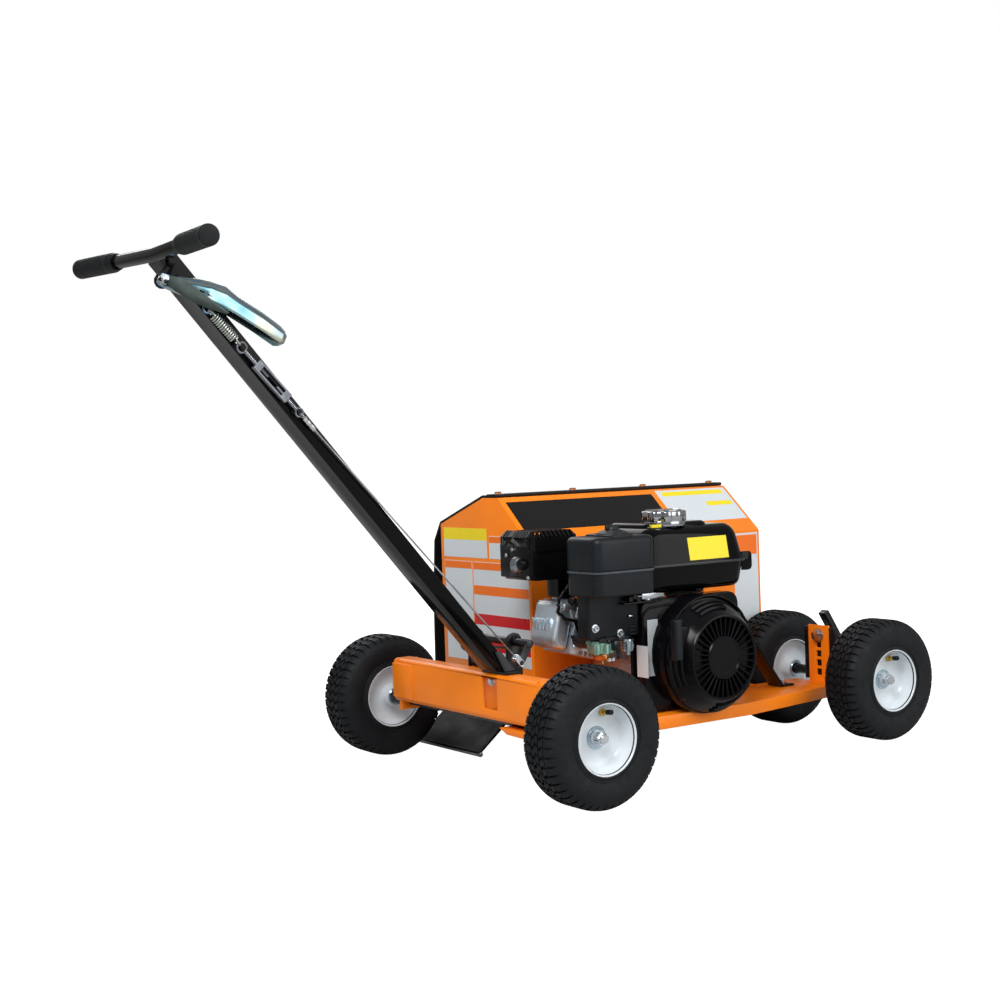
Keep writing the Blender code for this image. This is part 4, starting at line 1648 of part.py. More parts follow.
def make_throttle_and_switch():
    """The throttle lever on top of the blower housing and the rotary stop switch."""
    low = FAN_TOP_Z + GAP
    high = low + THROTTLE_THICKNESS
    lever = node("throttle_lever", rod("Z", (THROTTLE_X, THROTTLE_Y, 0), THROTTLE_WIDTH * 0.6,
                                       low, high, 16), "zinc", (THROTTLE_X, THROTTLE_Y, low))
    end_y = THROTTLE_Y - THROTTLE_LENGTH * 0.45
    end_x = THROTTLE_X - THROTTLE_LENGTH * 0.89
    start = Vector((THROTTLE_X, THROTTLE_Y, (low + high) / 2))
    end = Vector((end_x, end_y, (low + high) / 2))
    run = (end - start).normalized()
    side = Vector((-run.y, run.x, 0)) * THROTTLE_WIDTH / 2
    corners = [start + side, end + side, end - side, start - side]
    join(lever, prism([(corner.x, corner.y) for corner in corners], "Z", low, high))
    join(lever, rod("Z", tuple(end), THROTTLE_WIDTH / 2, low, high, 12))

    start_x = FAN_FRONT_X + GAP
    centre = (0, SWITCH_Y, SWITCH_Z)
    switch = node("engine_switch", rod("X", centre, SWITCH_RADIUS, start_x,
                                       start_x + SWITCH_LENGTH * 0.5, 16), "black_plastic",
                  (start_x, SWITCH_Y, SWITCH_Z))
    join(switch, block((start_x + 0.001, SWITCH_Y - 0.003, SWITCH_Z - SWITCH_RADIUS * 0.9),
                       (start_x + SWITCH_LENGTH, SWITCH_Y + 0.003,
                        SWITCH_Z + SWITCH_RADIUS * 0.9)))


def make_engine_brace():
    """The strap from the deck's front up to the crankcase."""
    deck = DECK_TOP_Z + GAP
    t = BRACE_THICKNESS
    case = CASE_FRONT_X + GAP
    outer = [(BRACE_FOOT_X, deck), (BRACE_FOOT_X, deck + t), (BRACE_HEEL_X + t * 0.4, deck + t),
             (BRACE_KNEE_X, BRACE_TOP_Z), (case, BRACE_TOP_Z + BRACE_TOP_RISE),
             (case, BRACE_TOP_Z + BRACE_TOP_RISE - t * 1.4),
             (BRACE_KNEE_X - t * 0.83, BRACE_TOP_Z - t * 1.1),
             (BRACE_HEEL_X - t, deck)]
    brace = node("engine_brace", prism(outer, "Y", BRACE_NEAR_Y, BRACE_NEAR_Y + BRACE_WIDTH),
                 "black_paint")
    bolt = ((BRACE_FOOT_X + BRACE_HEEL_X) / 2, BRACE_NEAR_Y + BRACE_WIDTH / 2, 0)
    join(brace, rod("Z", bolt, 0.0105, deck + t - 0.001, deck + t + 0.002, 16))
    join(brace, rod("Z", bolt, 0.0070, deck + t + 0.001, deck + t + 0.008, 6))


def main():
    """Clears the scene and makes every piece."""
    global frame_empty
    for item in list(bpy.data.objects):
        bpy.data.objects.remove(item)
    frame_empty = bpy.data.objects.new("machine_frame", None)
    frame_empty.location = (-BOX_MIDDLE_X, -BOX_MIDDLE_Y, 0)
    bpy.context.collection.objects.link(frame_empty)

    make_wheel("rear_near", 0, -HALF_TRACK)
    make_wheel("rear_far", 0, HALF_TRACK)
    make_wheel("front_near", WHEELBASE, FRONT_NEAR_Y)
    make_wheel("front_far", WHEELBASE, FRONT_FAR_Y)
    make_wheel_nut("rear_near", 0, -HALF_TRACK, -1)
    make_wheel_nut("rear_far", 0, HALF_TRACK, 1)
    make_wheel_nut("front_near", WHEELBASE, FRONT_NEAR_Y, -1)
    make_wheel_nut("front_far", WHEELBASE, FRONT_FAR_Y, 1)
    make_rear_axle()
    make_rear_beam()
    make_deck()
    make_clutch_bracket()
    make_rotor_guard()
    make_discharge_flap()
    make_trailing_deflector()
    make_front_upright()
    make_front_carrier()
    make_depth_bolt()
    make_handle()
    make_clutch_lever()
    make_clutch_spring()
    make_turnbuckle()
    make_clutch_cable()
    make_cable_clevis()
    make_cross_shaft()
    make_link()
    make_idler()
    make_crankshaft()
    make_rotor_drive()
    make_engine_block()
    make_muffler()
    make_air_cleaner()
    make_fuel_tank()
    make_fan_housing()
    make_carburettor()
    make_throttle_and_switch()
    make_engine_brace()


main()
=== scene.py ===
"""Walk-behind trencher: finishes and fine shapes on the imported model, in a pale studio."""

import json
import math

import bmesh
import bpy
from bpy.props import FloatProperty, FloatVectorProperty, IntProperty, PointerProperty
from mathutils import Matrix, Vector

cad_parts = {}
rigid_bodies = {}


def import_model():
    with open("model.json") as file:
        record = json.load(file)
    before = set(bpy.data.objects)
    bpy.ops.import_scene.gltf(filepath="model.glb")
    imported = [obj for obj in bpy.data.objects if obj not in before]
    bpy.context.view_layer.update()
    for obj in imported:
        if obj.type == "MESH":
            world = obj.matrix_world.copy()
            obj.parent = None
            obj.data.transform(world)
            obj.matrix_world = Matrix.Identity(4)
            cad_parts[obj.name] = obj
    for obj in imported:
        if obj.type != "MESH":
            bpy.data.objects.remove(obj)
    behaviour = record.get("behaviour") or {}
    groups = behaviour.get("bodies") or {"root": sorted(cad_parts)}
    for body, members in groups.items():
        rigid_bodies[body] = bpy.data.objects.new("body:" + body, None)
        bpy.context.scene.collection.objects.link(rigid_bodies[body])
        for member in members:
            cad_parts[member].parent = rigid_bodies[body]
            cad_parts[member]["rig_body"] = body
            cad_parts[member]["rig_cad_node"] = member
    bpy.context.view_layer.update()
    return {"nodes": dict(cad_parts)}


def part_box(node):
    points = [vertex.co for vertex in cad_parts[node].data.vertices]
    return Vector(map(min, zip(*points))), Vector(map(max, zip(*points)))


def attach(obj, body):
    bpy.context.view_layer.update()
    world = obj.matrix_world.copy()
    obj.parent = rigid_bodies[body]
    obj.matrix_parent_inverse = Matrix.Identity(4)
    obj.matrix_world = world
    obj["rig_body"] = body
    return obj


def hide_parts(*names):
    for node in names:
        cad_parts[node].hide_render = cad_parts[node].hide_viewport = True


bl_info = {
    "name": "Walk-behind trencher",
    "version": (1, 0, 0),
    "blender": (4, 5, 0),
    "location": "View3D > Sidebar > Trencher",
    "description": "Finishes and fine shapes for a walk-behind trencher",
    "category": "Object",
}

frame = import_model()
NODES = frame["nodes"]

# Places in this file are in metres from a datum ahead of the rear axle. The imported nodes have
# their origin elsewhere, so complete() moves each piece by the datum's place at the end.
AXLE_TO_DATUM = 0.13282
DATUM = Vector((sum(corner.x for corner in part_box("rear_axle")) / 2 + AXLE_TO_DATUM, 0, 0))


def node_box(name):
    """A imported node's lowest and highest corners, from the datum."""
    low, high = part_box(name)
    return low - DATUM, high - DATUM


RIM_BOXES = {name: node_box(f"rim_{name}")
             for name in ("rear_near", "rear_far", "front_near", "front_far")}
AXLE_Z = sum(corner.z for corner in node_box("tyre_rear_near")) / 2

# The cross bar's middle, the sweep of its ends, and how it is rolled and lowered
BAR_CENTRE = Vector((-0.72887, -0.1114, 0.886))
BAR_SWEEP = math.radians(5.8)
BAR_ROLL = math.radians(0.9)
BAR_DROP = 0.005

# The clutch line's ends, and the directions along it, sideways and outwards
LINE_TOP = Vector((-0.66639, -0.14965, 0.79807))
LINE_BOTTOM = Vector((-0.10962, -0.1334, 0.2087))
LINE = (LINE_BOTTOM - LINE_TOP).normalized()
LINE_SIDE = Vector((0, 1, 0)).cross(LINE).normalized()
LINE_OUT = LINE.cross(LINE_SIDE).normalized()


# ------------------------------------------------------------------ settings

def colour_setting(name, description, value):
    """A colour property with its default."""
    return FloatVectorProperty(name=name, description=description, subtype="COLOR", size=3, min=0,
                               max=1, default=value)


def length_setting(name, description, value):
    """A length property with its default, in metres."""
    return FloatProperty(name=name, description=description, default=value, min=0,
                         subtype="DISTANCE", unit="LENGTH")


class TrencherColours(bpy.types.PropertyGroup):
    """Colours that a user may change"""

    orange: colour_setting("Orange", "Powder coat of the frame and guard", (0.95, 0.228, 0.006))
    black: colour_setting("Black", "Gloss black paint of the handle", (0.0025, 0.0025, 0.003))
    rims: colour_setting("Rims", "Enamel of the wheel rims", (0.68, 0.73, 0.765))
    rubber: colour_setting("Rubber", "Tyres", (0.004, 0.0052, 0.007))
    zinc: colour_setting("Zinc", "Bright zinc of the bolts", (0.62, 0.66, 0.7))
    panel: colour_setting("Panels", "Pale plain panels on the guard", (0.62, 0.67, 0.7))


class TrencherSizes(bpy.types.PropertyGroup):
    """Sizes that a user may change"""

    tread_rows: IntProperty(name="Tread rows", description="Rows of tread blocks round a tyre",
                            default=46, min=12, max=60)
    tread_depth: length_setting("Tread depth", "Height of the tread blocks", 0.0036)
    sheet_edge: length_setting("Sheet edge", "Rounding of sheet metal edges", 0.0008)
    cast_edge: length_setting("Cast edge", "Rounding of the castings' edges", 0.0016)
    cooling_fins: IntProperty(name="Starter fins", description="Radial bars of the starter cover",
                              default=34, min=8, max=60)


def sizes():
    """The size settings."""
    return bpy.context.scene.trencher_sizes


def colours():
    """The colour settings."""
    return bpy.context.scene.trencher_colours


# ----------------------------------------------------------------- finishes

def shader(name, colour, roughness, metallic=0.0, coat=0.0, coat_roughness=0.05, specular=0.5):
    """A new material with its plain values set on the Principled shader's sockets."""
    material = bpy.data.materials.new(name)
    material.use_nodes = True
    surface = material.node_tree.nodes["Principled BSDF"]
    surface.inputs["Base Color"].default_value = (*colour, 1)
    surface.inputs["Roughness"].default_value = roughness
    surface.inputs["Metallic"].default_value = metallic
    surface.inputs["Coat Weight"].default_value = coat
    surface.inputs["Coat Roughness"].default_value = coat_roughness
    surface.inputs["Specular IOR Level"].default_value = specular
    return material


def noise(material, scale, detail, stretch=(1, 1, 1)):
    """The output of a noise pattern on Object coordinates."""
    nodes, links = material.node_tree.nodes, material.node_tree.links
    place = nodes.new("ShaderNodeTexCoord")
    mapping = nodes.new("ShaderNodeMapping")
    mapping.inputs["Scale"].default_value = stretch
    pattern = nodes.new("ShaderNodeTexNoise")
    pattern.inputs["Scale"].default_value = scale
    pattern.inputs["Detail"].default_value = detail
    links.new(place.outputs["Object"], mapping.inputs["Vector"])
    links.new(mapping.outputs["Vector"], pattern.inputs["Vector"])
    return pattern.outputs["Fac"]


def feed(material, source, through, entry, result, socket):
    """Links a pattern through a node to a socket of the material's surface."""
    nodes, links = material.node_tree.nodes, material.node_tree.links
    links.new(source, through.inputs[entry])
    links.new(through.outputs[result], nodes["Principled BSDF"].inputs[socket])


def shade_between(material, source, stops):
    """Feeds the base colour from a pattern through a ramp of (place, colour) stops."""
    ramp = material.node_tree.nodes.new("ShaderNodeValToRGB")
    while len(ramp.color_ramp.elements) < len(stops):
        ramp.color_ramp.elements.new(0.5)
    for element, (place, colour) in zip(ramp.color_ramp.elements, stops):
        element.position = place
        element.color = (*colour, 1)
    feed(material, source, ramp, "Fac", "Color", "Base Color")


def roughness_between(material, source, low, high):
    """Feeds the roughness from a pattern's middle range, from low to high."""
    span = material.node_tree.nodes.new("ShaderNodeMapRange")
    for name, value in zip(("From Min", "From Max", "To Min", "To Max"), (0.3, 0.7, low, high)):
        span.inputs[name].default_value = value
    feed(material, source, span, "Value", "Result", "Roughness")


def relief(material, source, strength, distance):
    """Feeds the surface's normal from a pattern's height."""
    bump = material.node_tree.nodes.new("ShaderNodeBump")
    bump.inputs["Strength"].default_value = strength
    bump.inputs["Distance"].default_value = distance
    feed(material, source, bump, "Height", "Normal", "Normal")


def scaled(colour, factor):
    """A colour made lighter or darker."""
    return tuple(min(1.0, c * factor) for c in colour)


def worn(material, colour, roughness, tone, gloss, grain):
    """Gives a material its mottle, uneven gloss and grain.

    The tone and the gloss each have a noise scale, its detail, and the lowest and highest
    factor. The grain has a noise scale, its detail, a strength and a distance.
    """
    scale, detail, low, high = tone
    shade_between(material, noise(material, scale, detail),
                  [(0.3, scaled(colour, low)), (0.7, scaled(colour, high))])
    scale, detail, low, high = gloss
    roughness_between(material, noise(material, scale, detail), roughness * low, roughness * high)
    scale, detail, strength, distance = grain
    relief(material, noise(material, scale, detail), strength, distance)
    return material


def painted(name, colour, roughness, coat=0.0, peel=0.06, mottle=0.05, specular=0.3):
    """Paint or powder coat: a slight mottle, uneven gloss and orange peel."""
    return worn(shader(name, colour, roughness, coat=coat, specular=specular), colour, roughness,
                (14, 5, 1 - mottle, 1 + mottle), (30, 4, 0.85, 1.2), (900, 2, peel, 0.0002))


def moulded(name, colour, roughness, grain=0.25, scale=2600):
    """Moulded plastic or rubber: a fine grain over a slight mottle."""
    return worn(shader(name, colour, roughness, specular=0.25), colour, roughness,
                (22, 5, 0.8, 1.3), (45, 5, 0.88, 1.12), (scale, 3, grain, 0.0002))


def metal(name, colour, roughness, mottle=0.12, grain=0.08, scale=1500, metallic=1.0):
    """Bare, plated or cast metal: cloudy tone, uneven polish and a grain."""
    return worn(shader(name, colour, roughness, metallic=metallic), colour, roughness,
                (26, 6, 1 - mottle, 1 + mottle), (60, 6, 0.75, 1.3), (scale, 4, grain, 0.0003))


def iridescent_zinc(name, colour, roughness):
    """Clear passivated zinc sheet, which shifts from silver to blue, green and straw."""
    material = shader(name, colour, roughness, metallic=1.0)
    shade_between(material, noise(material, 17, 3, (0.5, 4, 0.5)),
                  [(0.32, (0.02, 0.12, 0.16)), (0.42, (0.06, 0.26, 0.33)),
                   (0.49, (0.26, 0.44, 0.5)), (0.55, (0.5, 0.52, 0.4)),
                   (0.62, (0.2, 0.32, 0.48)), (0.72, (0.03, 0.18, 0.2))])
    roughness_between(material, noise(material, 70, 5, (0.3, 3, 0.3)), 0.14, 0.28)
    relief(material, noise(material, 1200, 3, (0.2, 3, 0.2)), 0.05, 0.0002)
    return material


def wound_wire(name, colour, roughness):
    """Stranded cable: a tight slanting pattern round the wire."""
    material = metal(name, colour, roughness)
    nodes = material.node_tree.nodes
    place = nodes.new("ShaderNodeTexCoord")
    strands = nodes.new("ShaderNodeTexWave")
    strands.bands_direction = "DIAGONAL"
    strands.inputs["Scale"].default_value = 260
    material.node_tree.links.new(place.outputs["Object"], strands.inputs["Vector"])
    relief(material, strands.outputs["Fac"], 0.7, 0.0004)
    return material


def turf_rubber(name, colour, roughness):
    """Tyre rubber: near black, slightly dusty, with a matt grain."""
    material = shader(name, colour, roughness, specular=0.25)
    shade_between(material, noise(material, 34, 6),
                  [(0.28, scaled(colour, 0.75)), (0.62, scaled(colour, 1.25)),
                   (0.8, (0.01, 0.012, 0.014))])
    roughness_between(material, noise(material, 80, 5), 0.5, 0.72)
    relief(material, noise(material, 1300, 4), 0.3, 0.0003)
    return material


# Each finish has its maker, its colour or the setting that holds it, its roughness, and what
# differs from the maker's own values.
FINISHES = {
    "orange_coat": (painted, "orange", 0.34, {"coat": 0.12, "mottle": 0.04}),
    # Painted shade: a dark orange for the deck's faces seen through the beam's window
    "shaded_orange": (painted, (0.13, 0.028, 0.004), 0.45, {}),
    "gloss_black": (painted, "black", 0.12, {"peel": 0.03, "specular": 0.12}),
    "satin_black": (painted, (0.004, 0.004, 0.005), 0.3, {}),
    "tank_gloss": (painted, (0.002, 0.002, 0.0025), 0.07, {"peel": 0.012, "specular": 0.14}),
    # Painted highlight: a lighter black for the tank's seam flange
    "edge_gloss": (painted, (0.02, 0.022, 0.025), 0.16, {"specular": 0.6}),
    "shroud_black": (painted, (0.003, 0.003, 0.004), 0.2, {"specular": 0.15}),
    "heat_black": (painted, (0.003, 0.003, 0.003), 0.2, {"peel": 0.08, "specular": 0.18}),
    "deflector_black": (painted, (0.002, 0.002, 0.003), 0.45, {"specular": 0.1}),
    "rim_enamel": (painted, "rims", 0.28, {"coat": 0.3, "mottle": 0.02}),
    "panel_pale": (painted, "panel", 0.32, {"peel": 0.01, "mottle": 0.015}),
    "panel_black": (painted, (0.004, 0.004, 0.004), 0.3, {"peel": 0.01}),
    "panel_yellow": (painted, (0.86, 0.68, 0.02), 0.3, {"peel": 0.01, "mottle": 0.02}),
    "panel_orange": (painted, (0.86, 0.17, 0.01), 0.3, {"peel": 0.01, "mottle": 0.02}),
    "panel_red": (painted, (0.58, 0.01, 0.014), 0.3, {"peel": 0.01, "mottle": 0.02}),
    # Painted highlight: a grey for the air cleaner's seam rim
    "edge_plastic": (moulded, (0.05, 0.06, 0.068), 0.36, {}),
    "black_plastic": (moulded, (0.006, 0.0085, 0.0105), 0.4, {}),
    "grip_rubber": (moulded, (0.004, 0.005, 0.006), 0.5, {"grain": 0.5, "scale": 1400}),
    "flap_rubber": (moulded, (0.004, 0.004, 0.004), 0.48, {"grain": 0.3, "scale": 900}),
    "belt_rubber": (moulded, (0.016, 0.015, 0.014), 0.7, {"grain": 0.5, "scale": 1400}),
    "lead_rubber": (moulded, (0.005, 0.005, 0.005), 0.4, {"grain": 0.2, "scale": 1800}),
    "tyre_rubber": (turf_rubber, "rubber", 0.62, {}),
    "bright_zinc": (metal, "zinc", 0.24, {}),
    "dark_zinc": (metal, (0.24, 0.26, 0.28), 0.28, {"mottle": 0.25}),
    "blue_zinc": (iridescent_zinc, (0.6, 0.72, 0.78), 0.2, {}),
    "hub_zinc": (metal, (0.44, 0.56, 0.64), 0.26, {"mottle": 0.2}),
    "link_zinc": (metal, (0.19, 0.2, 0.225), 0.4, {"mottle": 0.05, "grain": 0.02}),
    "green_zinc": (metal, (0.34, 0.6, 0.5), 0.32,
                   {"mottle": 0.15, "grain": 0.2, "metallic": 0.8}),
    # Painted shade: a dark steel for a sheet on the zinc lever's near side
    "lever_steel": (metal, (0.055, 0.07, 0.066), 0.36, {"mottle": 0.2}),
    "dark_steel": (metal, (0.06, 0.06, 0.065), 0.38, {}),
    "ground_steel": (metal, (0.4, 0.4, 0.4), 0.3, {}),
    "spring_steel": (metal, (0.58, 0.61, 0.57), 0.3, {}),
    "cutter_steel": (metal, (0.2, 0.19, 0.18), 0.42,
                     {"mottle": 0.35, "grain": 0.3, "scale": 500}),
    "cast_alloy": (metal, (0.62, 0.7, 0.76), 0.4,
                   {"mottle": 0.1, "grain": 0.35, "scale": 900, "metallic": 0.9}),
    "chrome": (metal, (0.42, 0.43, 0.45), 0.1, {"mottle": 0.05, "grain": 0.02}),
    "brass": (metal, (0.6, 0.4, 0.1), 0.25, {}),
    "copper": (metal, (0.5, 0.22, 0.08), 0.32, {}),
    "strand": (wound_wire, (0.42, 0.44, 0.46), 0.35, {}),
}


def finish(name):
    """The named finish, made at its first use."""
    material = bpy.data.materials.get(name)
    if material is None:
        maker, colour, roughness, extras = FINISHES[name]
        if isinstance(colour, str):
            colour = tuple(getattr(colours(), colour))
        material = maker(name, colour, roughness, **extras)
    return material


# ------------------------------------------------------------- modelling aids

# Vertices closer than this are one
SAME_PLACE = 1e-6
# Angles, in degrees, above which an edge looks sharp: on most pieces, and on wires and hoses
SHARP_ANGLE = 32
ROUND_ANGLE = 60
FULL_TURN = 2 * math.pi
# Each axis with its direction, and the direction in which its radius is measured
AXES = {"X": Vector((1, 0, 0)), "Y": Vector((0, 1, 0)), "Z": Vector((0, 0, 1))}
SIDES = {"X": Vector((0, 1, 0)), "Y": Vector((1, 0, 0)), "Z": Vector((1, 0, 0))}
HEAD_TURN = 0.26


def clear_selection():
    """Leaves edit mode and deselects everything."""
    if bpy.context.mode != "OBJECT":
        bpy.ops.object.mode_set(mode="OBJECT")
    bpy.ops.object.select_all(action="DESELECT")


def pick(piece):
    """Makes a piece the only selected and the active one."""
    clear_selection()
    piece.select_set(True)
    bpy.context.view_layer.objects.active = piece


def single_point(name, place):
    """A plane merged to one vertex at a place, left in edit mode."""
    clear_selection()
    bpy.ops.mesh.primitive_plane_add(size=0.01, location=(0, 0, 0))
    piece = bpy.context.object
    piece.name = name
    piece.data.name = name
    bpy.ops.object.mode_set(mode="EDIT")
    bpy.ops.mesh.merge(type="CENTER")
    bpy.ops.transform.translate(value=place)
    return piece


def choose(piece, parts, wanted):
    """Selects the verts, edges or faces that pass a test, in edit mode."""
    mesh = bmesh.from_edit_mesh(piece.data)
    for part in getattr(mesh, parts):
        part.select = wanted(part)
    mesh.select_flush_mode()
    bmesh.update_edit_mesh(piece.data)


def draw_line(name, places, closed=False):
    """A chain of vertices extruded from one to the next, left in edit mode."""
    places = [Vector(place) for place in places]
    piece = single_point(name, places[0])
    for start, end in zip(places, places[1:]):
        bpy.ops.mesh.extrude_region_move(TRANSFORM_OT_translate={"value": end - start})
    if closed:
        choose(piece, "verts", lambda vertex: len(vertex.link_edges) == 1)
        bpy.ops.mesh.edge_face_add()
    bpy.ops.mesh.select_all(action="SELECT")
    return piece


def tidy_shell(piece):
    """Merges doubles, turns the faces outwards and leaves edit mode."""
    bpy.ops.mesh.select_all(action="SELECT")
    bpy.ops.mesh.remove_doubles(threshold=SAME_PLACE)
    bpy.ops.mesh.normals_make_consistent(inside=False)
    bpy.ops.object.mode_set(mode="OBJECT")
    return piece


def lathe(name, profile, axis, centre, steps=48, angle=FULL_TURN, start=0.0):
    """Spins a profile of (radius, along the axis) points about an axis through the centre.

    A profile that starts on the axis stays open there, and any other is closed first.
    """
    centre = Vector(centre)
    along = AXES[axis]
    out = Matrix.Rotation(start, 3, along) @ SIDES[axis]
    places = [centre + out * radius + along * (station - centre.dot(along))
              for radius, station in profile]
    piece = draw_line(name, places, profile[0][0] > 0)
    bpy.ops.mesh.spin(steps=steps, angle=angle, center=centre, axis=along)
    if angle < FULL_TURN:
        bpy.ops.mesh.select_all(action="SELECT")
        bpy.ops.mesh.fill_holes(sides=0)
    return tidy_shell(piece)


def slab(name, outline, thickness):
    """A flat outline of places, filled and extruded by a vector."""
    piece = draw_line(name, outline, True)
    bpy.ops.mesh.edge_face_add()
    bpy.ops.mesh.extrude_region_move(TRANSFORM_OT_translate={"value": Vector(thickness)})
    return tidy_shell(piece)


def block(name, low, high):
    """A cube at its place and size, with the size applied."""
    clear_selection()
    low = Vector(low)
    high = Vector(high)
    bpy.ops.mesh.primitive_cube_add(size=1, location=(low + high) / 2, scale=high - low)
    piece = bpy.context.object
    piece.name = name
    piece.data.name = name
    bpy.ops.object.transform_apply(location=True, rotation=True, scale=True)
    return piece


def round_edges(piece, width, segments=2, limit=30, clamp=True):
    """Rounds the sharp edges with an applied Bevel modifier."""
    pick(piece)
    bpy.ops.object.modifier_add(type="BEVEL")
    bevel = piece.modifiers[-1]
    bevel.width = width
    bevel.segments = segments
    bevel.limit_method = "ANGLE"
    bevel.angle_limit = math.radians(limit)
    bevel.use_clamp_overlap = clamp
    bpy.ops.object.modifier_apply(modifier=bevel.name)
    return piece


def tube(name, places, radius, closed=False, sides=3, smooth=False):
    """A round wire or hose along a line of places, with closed ends."""
    piece = draw_line(name, places, closed)
    if smooth:
        bpy.ops.mesh.subdivide(number_cuts=3, smoothness=1)
    bpy.ops.object.mode_set(mode="OBJECT")
    bpy.ops.object.convert(target="CURVE")
    piece = bpy.context.object
    piece.data.bevel_depth = radius
    piece.data.bevel_resolution = sides
    piece.data.use_fill_caps = not closed
    bpy.ops.object.convert(target="MESH")
    piece = bpy.context.object
    piece.name = name
    piece.data.name = name
    bpy.ops.object.mode_set(mode="EDIT")
    return tidy_shell(piece)


def ring_copies(piece, count, axis, centre):
    """Copies a whole mesh evenly round an axis."""
    pick(piece)
    bpy.ops.object.mode_set(mode="EDIT")
    bpy.ops.mesh.select_all(action="SELECT")
    bpy.ops.mesh.spin(steps=count - 1, dupli=True, angle=FULL_TURN * (count - 1) / count,
                      center=Vector(centre), axis=AXES[axis])
    bpy.ops.object.mode_set(mode="OBJECT")
    return piece


def merged(name, *parts):
    """Joins meshes into one named piece."""
    clear_selection()
    for part in parts:
        part.select_set(True)
    bpy.context.view_layer.objects.active = parts[0]
    bpy.ops.object.join()
    parts[0].name = name
    parts[0].data.name = name
    return parts[0]


def shifted_copy(piece, name, move):
    """A copy with its own mesh, moved."""
    pick(piece)
    bpy.ops.object.duplicate()
    twin = bpy.context.object
    twin.name = name
    twin.data.name = name
    bpy.ops.object.mode_set(mode="EDIT")
    bpy.ops.mesh.select_all(action="SELECT")
    bpy.ops.transform.translate(value=move)
    bpy.ops.object.mode_set(mode="OBJECT")
    return twin


def carve(piece, tool):
    """Takes a tool's space out of a piece and removes the tool."""
    pick(piece)
    bpy.ops.object.modifier_add(type="BOOLEAN")
    cut = piece.modifiers[-1]
    cut.operation = "DIFFERENCE"
    cut.solver = "EXACT"
    cut.use_self = True
    cut.object = tool
    bpy.ops.object.modifier_apply(modifier=cut.name)
    bpy.data.objects.remove(tool)
    return piece


def complete(piece, coat, body="frame", stands_for=(), smooth=SHARP_ANGLE):
    """Applies the place, smooths the shading, paints the piece and hangs it on its body."""
    pick(piece)
    piece.location += DATUM
    bpy.ops.object.transform_apply(location=True, rotation=True, scale=True)
    bpy.ops.object.shade_smooth_by_angle(angle=math.radians(smooth))
    piece.data.materials.clear()
    piece.data.materials.append(finish(coat))
    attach(piece, body)
    if stands_for:
        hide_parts(*stands_for)
    return piece


def node_copy(node, name):
    """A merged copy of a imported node, free of its marks."""
    source = NODES[node]
    pick(source)
    bpy.ops.object.duplicate()
    piece = bpy.context.object
    piece.name = name
    piece.data.name = name
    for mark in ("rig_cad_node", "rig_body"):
        if mark in piece:
            del piece[mark]
    piece.parent = None
    bpy.ops.object.mode_set(mode="EDIT")
    bpy.ops.mesh.select_all(action="SELECT")
    bpy.ops.mesh.remove_doubles(threshold=SAME_PLACE)
    bpy.ops.mesh.dissolve_limited(angle_limit=math.radians(0.6))
    bpy.ops.mesh.select_all(action="SELECT")
    bpy.ops.transform.translate(value=-DATUM)
    bpy.ops.object.mode_set(mode="OBJECT")
    return piece


def replace_node(piece, node, coat, smooth=SHARP_ANGLE):
    """Completes a piece that stands for a node, on the node's body."""
    return complete(piece, coat, NODES[node]["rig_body"], (node,), smooth)


def rounded_copy(node, width, limit=30):
    """A node's copy with rounded edges."""
    return round_edges(node_copy(node, f"{node}_finished"), width, limit=limit, clamp=False)


def soften(node, coat, width, limit=30):
    """A node's copy with rounded edges, which stands for the node."""
    return replace_node(rounded_copy(node, width, limit), node, coat)


def second_finish(piece, coat, wanted):
    """Gives the faces that pass a test a finish of their own."""
    piece.data.materials.append(finish(coat))
    for face in piece.data.polygons:
        if wanted(face):
            face.material_index = 1


def bolt_head(name, axis, centre, low, high, radius, washer=None):
    """A hexagon head from low to high along an axis, chamfered, with a washer under it."""
    rim = abs(high - low) * 0.18
    sign = 1 if high > low else -1
    head = lathe(name, [(0, low), (radius, low), (radius, high - sign * rim),
                        (radius * 0.86, high), (0, high)], axis, centre, 6, start=HEAD_TURN)
    if washer:
        disc = lathe(f"{name}_washer", [(0, low - sign * 0.0015), (washer, low - sign * 0.0015),
                                        (washer, low), (0, low)], axis, centre, 28)
        head = merged(name, head, disc)
    return head


def bolt(name, axis, centre, low, high, radius, washer=None, coat="bright_zinc"):
    """A finished bolt head on the frame."""
    return complete(bolt_head(name, axis, centre, low, high, radius, washer), coat)


def spun(name, profile, axis, centre, steps, coat, body="frame"):
    """A finished solid of revolution."""
    return complete(lathe(name, profile, axis, centre, steps), coat, body)


def wire(name, places, radius, coat, body="frame", sides=3, smooth=False):
    """A finished wire or hose, shaded smooth all round."""
    piece = tube(name, places, radius, sides=sides, smooth=smooth)
    return complete(piece, coat, body, smooth=ROUND_ANGLE)


def plate(name, low, high, edge, coat, segments=2):
    """A finished plate on the frame, with rounded edges."""
    return complete(round_edges(block(name, low, high), edge, segments), coat)


# --------------------------------------------------------------------- wheels

TYRE_PROFILE = [(0.0545, 0.0368), (0.0562, 0.0395), (0.061, 0.0405), (0.064, 0.039),
                (0.07, 0.0402), (0.08, 0.0424), (0.088, 0.0428), (0.096, 0.042), (0.102, 0.0398),
                (0.1062, 0.0352), (0.1082, 0.029), (0.1094, 0.02), (0.11, 0.01), (0.1102, 0.0)]

# Distances from the wheel's middle plane: the hub's two faces, the wheel nut, and the part of
# a packed axle's end that is cut off
HUB_OUTER, HUB_INNER = 0.0092, 0.0425
NUT_LOW, NUT_HIGH = 0.0195, 0.0285
AXLE_CUT = (0.027, 0.06)
